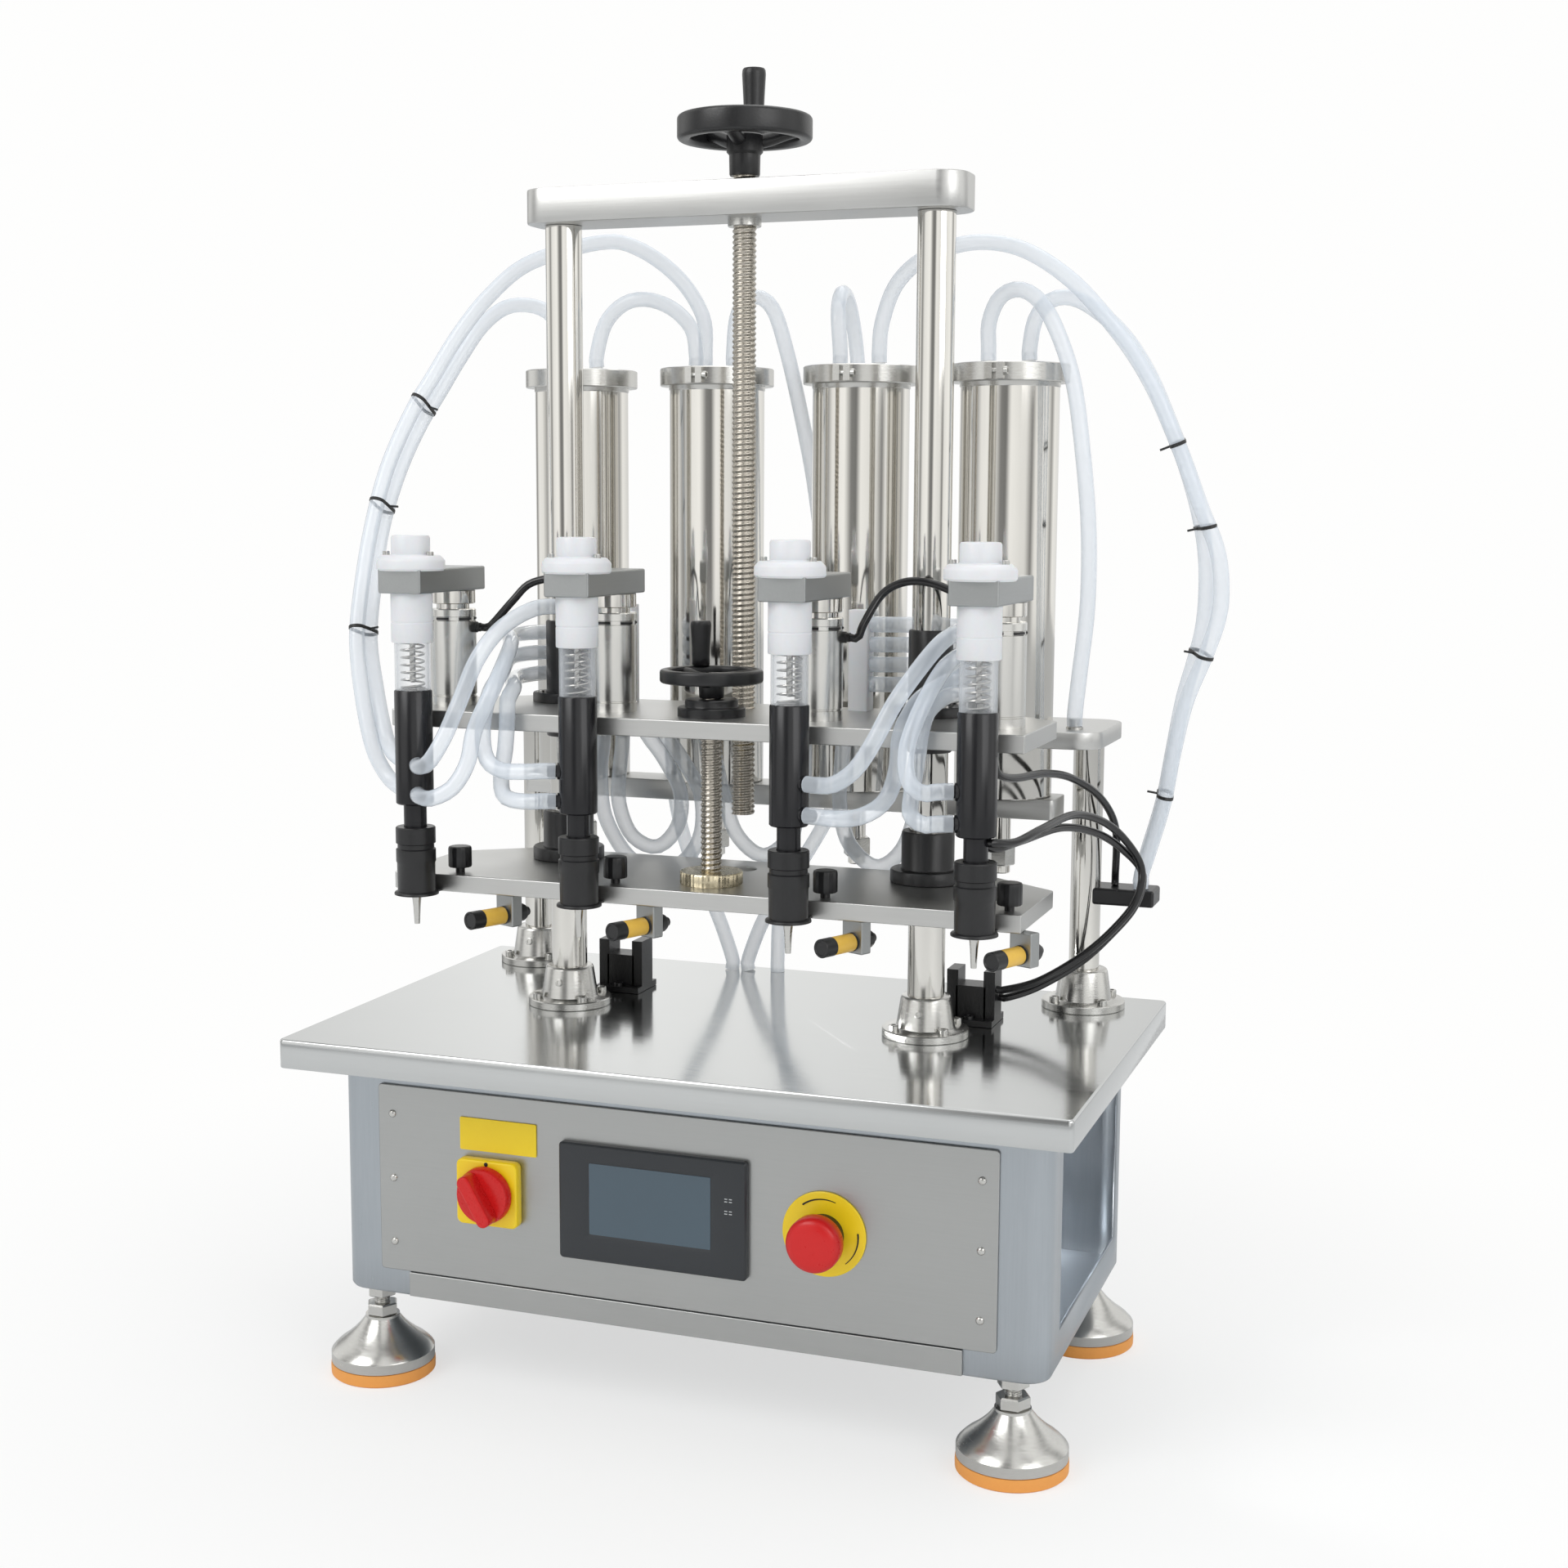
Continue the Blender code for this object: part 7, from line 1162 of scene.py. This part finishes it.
white_plastic = surface(
    "white plastic", (0.80, 0.81, 0.83), (0.74, 0.75, 0.77), 0.38, fine=420.0, relief=0.02,
    slots={"Subsurface Weight": 0.15, "Subsurface Scale": 0.004},
)
bracket_grey = surface("bracket aluminium", (0.42, 0.43, 0.43), (0.33, 0.34, 0.34), 0.38, 1.0, (1.0, 0.04, 1.0), 520.0, 0.03)
for number, x in enumerate(NOZZLE_XS):
    node, body = f"valve_head_{number + 1}", f"valve_{number + 1}"
    place = (x, NOZZLE_Y, TABLE)
    cap = [
        (0.0, 0.3478), (0.0238, 0.3466), (0.0250, 0.3480), (0.0250, 0.3536), (0.0244, 0.3548), (0.0220, 0.3574),
        (0.0212, 0.3578), (0.0150, 0.3580), (0.0143, 0.3588), (0.0143, 0.3706), (0.0134, 0.3722), (0.0120, 0.3724), (0.0, 0.3724),
    ]
    sleeve = [
        (0.0, 0.2938), (0.0148, 0.2938), (0.0153, 0.2945), (0.0153, 0.3080), (0.0150, 0.3084), (0.0150, 0.3092),
        (0.0153, 0.3096), (0.0153, 0.3301), (0.0, 0.3301),
    ]
    made(f"{node}_cap", [lathe(cap, 48, place), lathe(sleeve, 48, place)], body, white_plastic, [node], smooth=36)
    heads = [cap_screw(0.0026, 0.0030, above(x + side * 0.0182, NOZZLE_Y - 0.004, 0.3577), sides=14) for side in (-1, 1)]
    needle = [(0.0, 0.2640), (0.0018, 0.2640), (0.0022, 0.2655), (0.0022, 0.2950), (0.0, 0.2950)]
    made(f"{node}_screws", [*heads, lathe(needle, 16, place)], body, turned_steel, [node])
    bracket = box_shape(above(x - 0.0175, -0.137, 0.3301), above(x + 0.0175, -0.035, 0.3480))
    made(f"{node}_bracket", [bracket], body, bracket_grey, [node], bevel=0.0014, segments=3)
    rod = [
        (0.0, 0.2765), (0.0125, 0.2765), (0.0125, 0.3195), (0.0165, 0.3197), (0.0172, 0.3204), (0.0172, 0.3295), (0.0165, 0.3301), (0.0, 0.3301),
    ]
    made(f"{node}_rod", [lathe(rod, 40, (x, ACTUATOR_Y, TABLE))], body, chrome, [node], smooth=40)

# Manifolds.
# Two white plastic blocks on the carriage take four hoses each.

blocks, barbs = [], []
for x, sides_used in ((-0.105, (-1, -1, -1, -1)), (0.088, (1, 1, 1, 1))):
    blocks.append(slab(0.008, 0.008, 0.0018, TABLE + 0.2415, TABLE + 0.318, 0.0008, (x, 0.022), 3))
made("hose_manifolds", blocks, "carriage", white_plastic, ["left_hose_set", "right_hose_set", "carriage_plate"], smooth=50)

# Lower plate.
# The same aluminium shape as the carriage, with tall black bushes on the posts, four black
# centring collars at the front edge, ribbed clamp knobs behind them and a knurled brass nut.

angle = np.linspace(math.pi / 2, -math.pi / 2, 25)
passage = np.column_stack([0.0105 * np.cos(angle), 0.004 + 0.0105 * np.sin(angle)])
passage[[0, -1], 0] = 0.0
half = np.vstack([[(0.0, -0.101), (0.244, -0.101), (0.244, 0.0), (0.190, 0.040), (0.0, 0.040)], passage])
count = len(half)
halves = []
for side in (1.0, -1.0):
    flat = half * np.array([side, 1.0])
    points = np.vstack([np.column_stack([flat, np.full(count, TABLE + rise)]) for rise in (0.1045, 0.1175)])
    walls = [face for at, face in enumerate(grid_faces(2, count)) if at not in (4, count - 1)]
    halves.append((points, walls + [list(range(count)), list(range(count, 2 * count))]))
made("lower_sheet", halves, "lower", satin, ["lower_plate"], bevel=0.0009)
fittings, knobs, prints = [], [], []
for x in (-0.1475, 0.1475):
    bush = [
        (0.0143, 0.1175), (0.0272, 0.1175), (0.0280, 0.1183), (0.0280, 0.1263), (0.0272, 0.1273), (0.0206, 0.1275),
        (0.0198, 0.1285), (0.0198, 0.1545), (0.0188, 0.1560), (0.0143, 0.1560), (0.0143, 0.1175),
    ]
    fittings.append(lathe(bush, 48, (x, 0.004, TABLE)))
    fittings.append(lathe([(0.0, 0.0), (0.0170, 0.0), (0.0176, 0.0006), (0.0176, 0.0040), (0.0, 0.0040)], 40, above(x, 0.004, 0.1006)))
for x, offset in zip(NOZZLE_XS, (0.0195, 0.0145, 0.0165, 0.0165)):
    place = (x, NOZZLE_Y, TABLE)
    collar = [
        (0.0089, 0.1562), (0.0140, 0.1562), (0.0148, 0.1554), (0.0148, 0.1440), (0.0136, 0.1432), (0.0136, 0.1400),
        (0.0148, 0.1392), (0.0148, 0.1300), (0.0142, 0.1290), (0.0140, 0.1075), (0.0160, 0.1069), (0.0165, 0.1062),
        (0.0165, 0.1050), (0.0158, 0.1048), (0.0043, 0.1048), (0.0043, 0.1075), (0.0089, 0.1079), (0.0089, 0.1562),
    ]
    fittings.append(lathe(collar, 48, place))
    fittings.append(box_shape((x - 0.0120, NOZZLE_Y, TABLE + 0.1052), (x + 0.0120, -0.0995, TABLE + 0.1066)))
    angle = np.linspace(0.0, math.tau, 48, endpoint=False)
    heights = np.array([0.0, 0.0008, 0.0140, 0.0155, 0.0160])
    size = np.array([0.93, 1.0, 1.0, 0.95, 0.80]) * 0.0090
    wave = size[:, None] * (1.0 - 0.055 * (0.5 + 0.5 * np.cos(16 * angle))[None, :])
    low = TABLE + 0.1215
    points = np.stack([
        x + offset + wave * np.cos(angle), -0.086 + wave * np.sin(angle), low + heights[:, None] + 0 * wave,
    ], axis=-1).reshape(-1, 3)
    knobs.append((points, grid_faces(5, 48) + [list(range(48)), list(range(4 * 48, 5 * 48))]))
    knobs.append(lathe([(0.0, 0.1170), (0.0035, 0.1170), (0.0035, 0.1220), (0.0, 0.1220)], 16, (x + offset, -0.086, TABLE)))
made("lower_bushes", fittings, "lower", black, ["lower_plate"], smooth=40)
made("clamp_knobs", knobs, "lower", black, ["lower_plate"], smooth=50)
angle = np.linspace(0.0, math.tau, 144, endpoint=False)
heights = np.array([0.1175, 0.1182, 0.1262, 0.1270])
size = np.array([0.0228, 0.0235, 0.0235, 0.0226])
wave = size[:, None] * (1.0 - np.array([0.0, 0.022, 0.022, 0.0])[:, None] * (0.5 + 0.5 * np.cos(48 * angle))[None, :])
points = np.stack([wave * np.cos(angle), -0.062 + wave * np.sin(angle), TABLE + heights[:, None] + 0 * wave], axis=-1).reshape(-1, 3)
knurl = (points, grid_faces(4, 144) + [list(range(144)), list(range(3 * 144, 4 * 144))])
made("lower_nut", [knurl], "lower", brass, ["screw_nut"], smooth=50)

# Bottle sensors.
# Small yellow barrels with a black lens in front and a black cable end, in grey clips under
# the lower plate, turned a little towards the bottle.

sensor_amber = surface("amber plastic", (0.90, 0.58, 0.10), (0.80, 0.47, 0.06), 0.34, fine=420.0, relief=0.02)
away = (math.sin(math.radians(23.5)), math.cos(math.radians(23.5)), 0.0)
for number, x in enumerate((-0.168, -0.053, 0.107, 0.229)):
    node = f"bottle_sensor_{number + 1}"
    tip = above(x, -0.125, 0.0885)
    nose = [(0.0, 0.0006), (0.0048, 0.0006), (0.0052, 0.0), (0.0064, 0.0), (0.0068, 0.0006), (0.0068, 0.0110), (0.0062, 0.0116), (0.0, 0.0116)]
    barrel = [(0.0, 0.0114), (0.0064, 0.0114), (0.0066, 0.0120), (0.0066, 0.0310), (0.0064, 0.0316), (0.0, 0.0316)]
    back = [(0.0, 0.0314), (0.0068, 0.0314), (0.0068, 0.0500), (0.0058, 0.0520), (0.0040, 0.0530), (0.0034, 0.0560), (0.0, 0.0560)]
    made(f"{node}_lens", [lathe(nose, 32, tip, away), lathe(back, 32, tip, away)], "lower", black, [node])
    made(f"{node}_barrel", [lathe(barrel, 32, tip, away)], "lower", sensor_amber, [node])
    clip_at = np.array(tip) + 0.038 * np.array(away)
    side = np.array([away[1], -away[0]])
    corners = [
        clip_at[:2] + side * a + np.array(away[:2]) * b
        for a, b in ((-0.0095, -0.005), (0.0095, -0.005), (0.0095, 0.005), (-0.0095, 0.005))
    ]
    grip = cut_plate([tuple(corner) for corner in corners], TABLE + 0.0800, TABLE + 0.1044)
    made(f"{node}_clip", [grip], "lower", bracket_grey, [node], bevel=0.0012)


# Rear plate and pumps.
# A second aluminium plate on the back posts carries four polished stainless pump cylinders,
# each with a cap in a clamped ring and two plastic hose barbs.

made("rear_sheet", [slab(0.263, 0.055, 0.020, TABLE + 0.2145, TABLE + 0.2275, 0.0010, (0.0, 0.113), 12)], "base", satin, ["rear_plate"], smooth=40)
barbs = []
for x, y in rear_fittings:
    barbs.append(lathe([(0.0, 0.0), (0.0045, 0.0), (0.0045, -0.0072), (0.0038, -0.0080), (0.0, -0.0080)], 16, above(x, y, 0.2150)))
barbs.append(lathe([(0.0, 0.0), (0.0065, 0.0), (0.0065, 0.0020), (0.0045, 0.0026), (0.0045, 0.0082), (0.0, 0.0082)], 20, above(0.239, 0.086, 0.2273)))
made("rear_barbs", barbs, "base", turned_steel, ["rear_plate"])
for number, x in enumerate(PUMP_XS):
    node = f"pump_{number + 1}"
    place = (x, PUMP_Y, TABLE)
    tube = [
        (0.0345, 0.1723), (0.0374, 0.1723), (0.0380, 0.1730), (0.0380, 0.4900), (0.0345, 0.4900), (0.0345, 0.1723),
    ]
    cap = [
        (0.0, 0.4850), (0.0380, 0.4850), (0.0385, 0.4860), (0.0385, 0.5022), (0.0378, 0.5030), (0.0300, 0.5031),
        (0.0296, 0.5026), (0.0, 0.5026),
    ]
    made(f"{node}_tube", [lathe(tube, 72, place)], "base", chrome, [node], smooth=40)
    band = [
        (0.0383, 0.4885), (0.0448, 0.4885), (0.0455, 0.4892), (0.0455, 0.5018), (0.0448, 0.5025), (0.0386, 0.5025), (0.0383, 0.4885),
    ]
    lug = [box_shape(above(x + side - 0.0026, PUMP_Y - 0.0515, 0.4895), above(x + side + 0.0026, PUMP_Y - 0.0440, 0.5015)) for side in (-0.0042, 0.0042)]
    made(f"{node}_cap", [lathe(cap, 64, place), lathe(band, 64, place), *lug], "base", turned_steel, [node], smooth=40)
    bolt = [cap_screw(0.0032, 0.0032, above(x + 0.0066, PUMP_Y - 0.0480, 0.4955), (1.0, 0.0, 0.0), 14)]
    bolt.append(lathe([(0.0, -0.0072), (0.0018, -0.0072), (0.0018, 0.0072), (0.0, 0.0072)], 12, above(x, PUMP_Y - 0.0480, 0.4955), (1.0, 0.0, 0.0)))
    made(f"{node}_bolt", bolt, "base", turned_steel, [node])
    spots = [(x - 0.016, PUMP_Y - 0.005), (x + 0.016, PUMP_Y - 0.005)] + ([(x - 0.018, PUMP_Y + 0.020)] if number == 1 else [])
    barbs = []
    for spot in spots:
        barb = [
            (0.0, 0.5020), (0.0062, 0.5020), (0.0062, 0.5042), (0.0045, 0.5046), (0.0045, 0.5080), (0.0042, 0.5104), (0.0036, 0.5110), (0.0, 0.5110),
        ]
        barbs.append(lathe(barb, 20, (*spot, TABLE)))
    made(f"{node}_barbs", barbs, "base", clear_plastic, [node])

# Crosshead.
# An aluminium bar under the pumps that pushes all four piston rods together.

cross_low, cross_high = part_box("piston_crosshead")
made("crosshead_bar", [slab(0.225, 0.020, 0.004, TABLE + 0.156, TABLE + 0.172, 0.0009, (0.0, PUMP_Y), 4)], "crosshead", satin, ["piston_crosshead"], smooth=40)
rods, nuts = [], []
for x in PUMP_XS:
    place = (x, PUMP_Y, TABLE)
    rods.append(lathe([(0.0, 0.110), (0.0063, 0.110), (0.0070, 0.1108), (0.0070, 0.4560), (0.0, 0.4560)], 28, place))
    piston = [(0.0, 0.4550), (0.0330, 0.4550), (0.0340, 0.4560), (0.0340, 0.4780), (0.0330, 0.4790), (0.0, 0.4790)]
    rods.append(lathe(piston, 40, place))
    nuts.append(lathe([(0.0, 0.1165), (0.0100, 0.1165), (0.0110, 0.1175), (0.0110, 0.1305), (0.0100, 0.1315), (0.0, 0.1315)], 6, place))
made("piston_rods", rods, "crosshead", chrome, ["piston_crosshead"], smooth=40)
made("rod_nuts", nuts, "crosshead", turned_steel, ["piston_crosshead"])

# Table brackets.
# Two moulded black clips behind the front posts hold the air tubes where they reach the table.

clips = []
for x, y in ((-0.126, 0.066), (0.171, 0.058)):
    clips.append(box_shape((x - 0.019, y - 0.019, TABLE + 0.0002), (x + 0.019, y + 0.019, TABLE + 0.0050)))
    clips.append(box_shape((x - 0.019, y - 0.011, TABLE + 0.0045), (x - 0.010, y + 0.011, TABLE + 0.0420)))
    clips.append(box_shape((x + 0.010, y - 0.011, TABLE + 0.0045), (x + 0.019, y + 0.011, TABLE + 0.0420)))
    clips.append(box_shape((x - 0.012, y - 0.011, TABLE + 0.0045), (x + 0.012, y + 0.011, TABLE + 0.0300)))
    clips.append(cap_screw(0.0036, 0.0030, (x, y - 0.0150, TABLE + 0.0048)))
made("table_clips", clips, "base", black, ["table_top"], bevel=0.0012)

# Motor and control box.
# A black ribbed motor on a foot behind the open right end, and a grey steel box with a lid
# at the back of the cabinet.

motor_black = surface("painted motor", (0.040, 0.042, 0.045), (0.022, 0.023, 0.025), 0.34, fine=420.0, relief=0.05)
box_grey = surface("painted steel box", (0.40, 0.41, 0.42), (0.34, 0.35, 0.36), 0.48, fine=420.0, relief=0.05)
low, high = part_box("drive_motor")
axis = (0.160, -0.006, 0.178)
ribs = [(0.0, 0.0), (0.0262, 0.0), (0.0280, 0.0016)]
for step in range(9):
    start = 0.014 + step * 0.0065
    ribs += [(0.0280, start), (0.0262, start + 0.0008), (0.0262, start + 0.0026), (0.0280, start + 0.0034)]
ribs += [(0.0280, 0.0770), (0.0270, 0.0784), (0.0, 0.0784)]
end_cap = [(0.0, 0.0780), (0.0195, 0.0780), (0.0195, 0.0845), (0.0186, 0.0858), (0.0, 0.0858)]
made("motor_body", [lathe(ribs, 56, axis, (1.0, 0.0, 0.0))], "base", motor_black, ["drive_motor"], smooth=40)
made("motor_cap", [lathe(end_cap, 40, axis, (1.0, 0.0, 0.0))], "base", box_grey, ["drive_motor"], smooth=40)
foot = [
    box_shape((0.180, -0.028, low[2]), (0.226, 0.016, low[2] + 0.004)),
    box_shape((0.180, -0.020, low[2] + 0.003), (0.186, 0.008, 0.1560)),
    box_shape((0.220, -0.020, low[2] + 0.003), (0.226, 0.008, 0.1560)),
]
made("motor_foot", foot, "base", motor_black, ["drive_motor"], bevel=0.0010)
low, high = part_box("control_box")
case = slab((high[0] - low[0]) / 2, (high[1] - low[1]) / 2, 0.004, low[2], high[2] - 0.010, 0.001, ((low[0] + high[0]) / 2, (low[1] + high[1]) / 2), 4)
lid = slab((high[0] - low[0]) / 2, (high[1] - low[1]) / 2, 0.004, high[2] - 0.0094, high[2], 0.001, ((low[0] + high[0]) / 2, (low[1] + high[1]) / 2), 4)
made("control_case", [case, lid], "base", box_grey, ["control_box"], smooth=40)
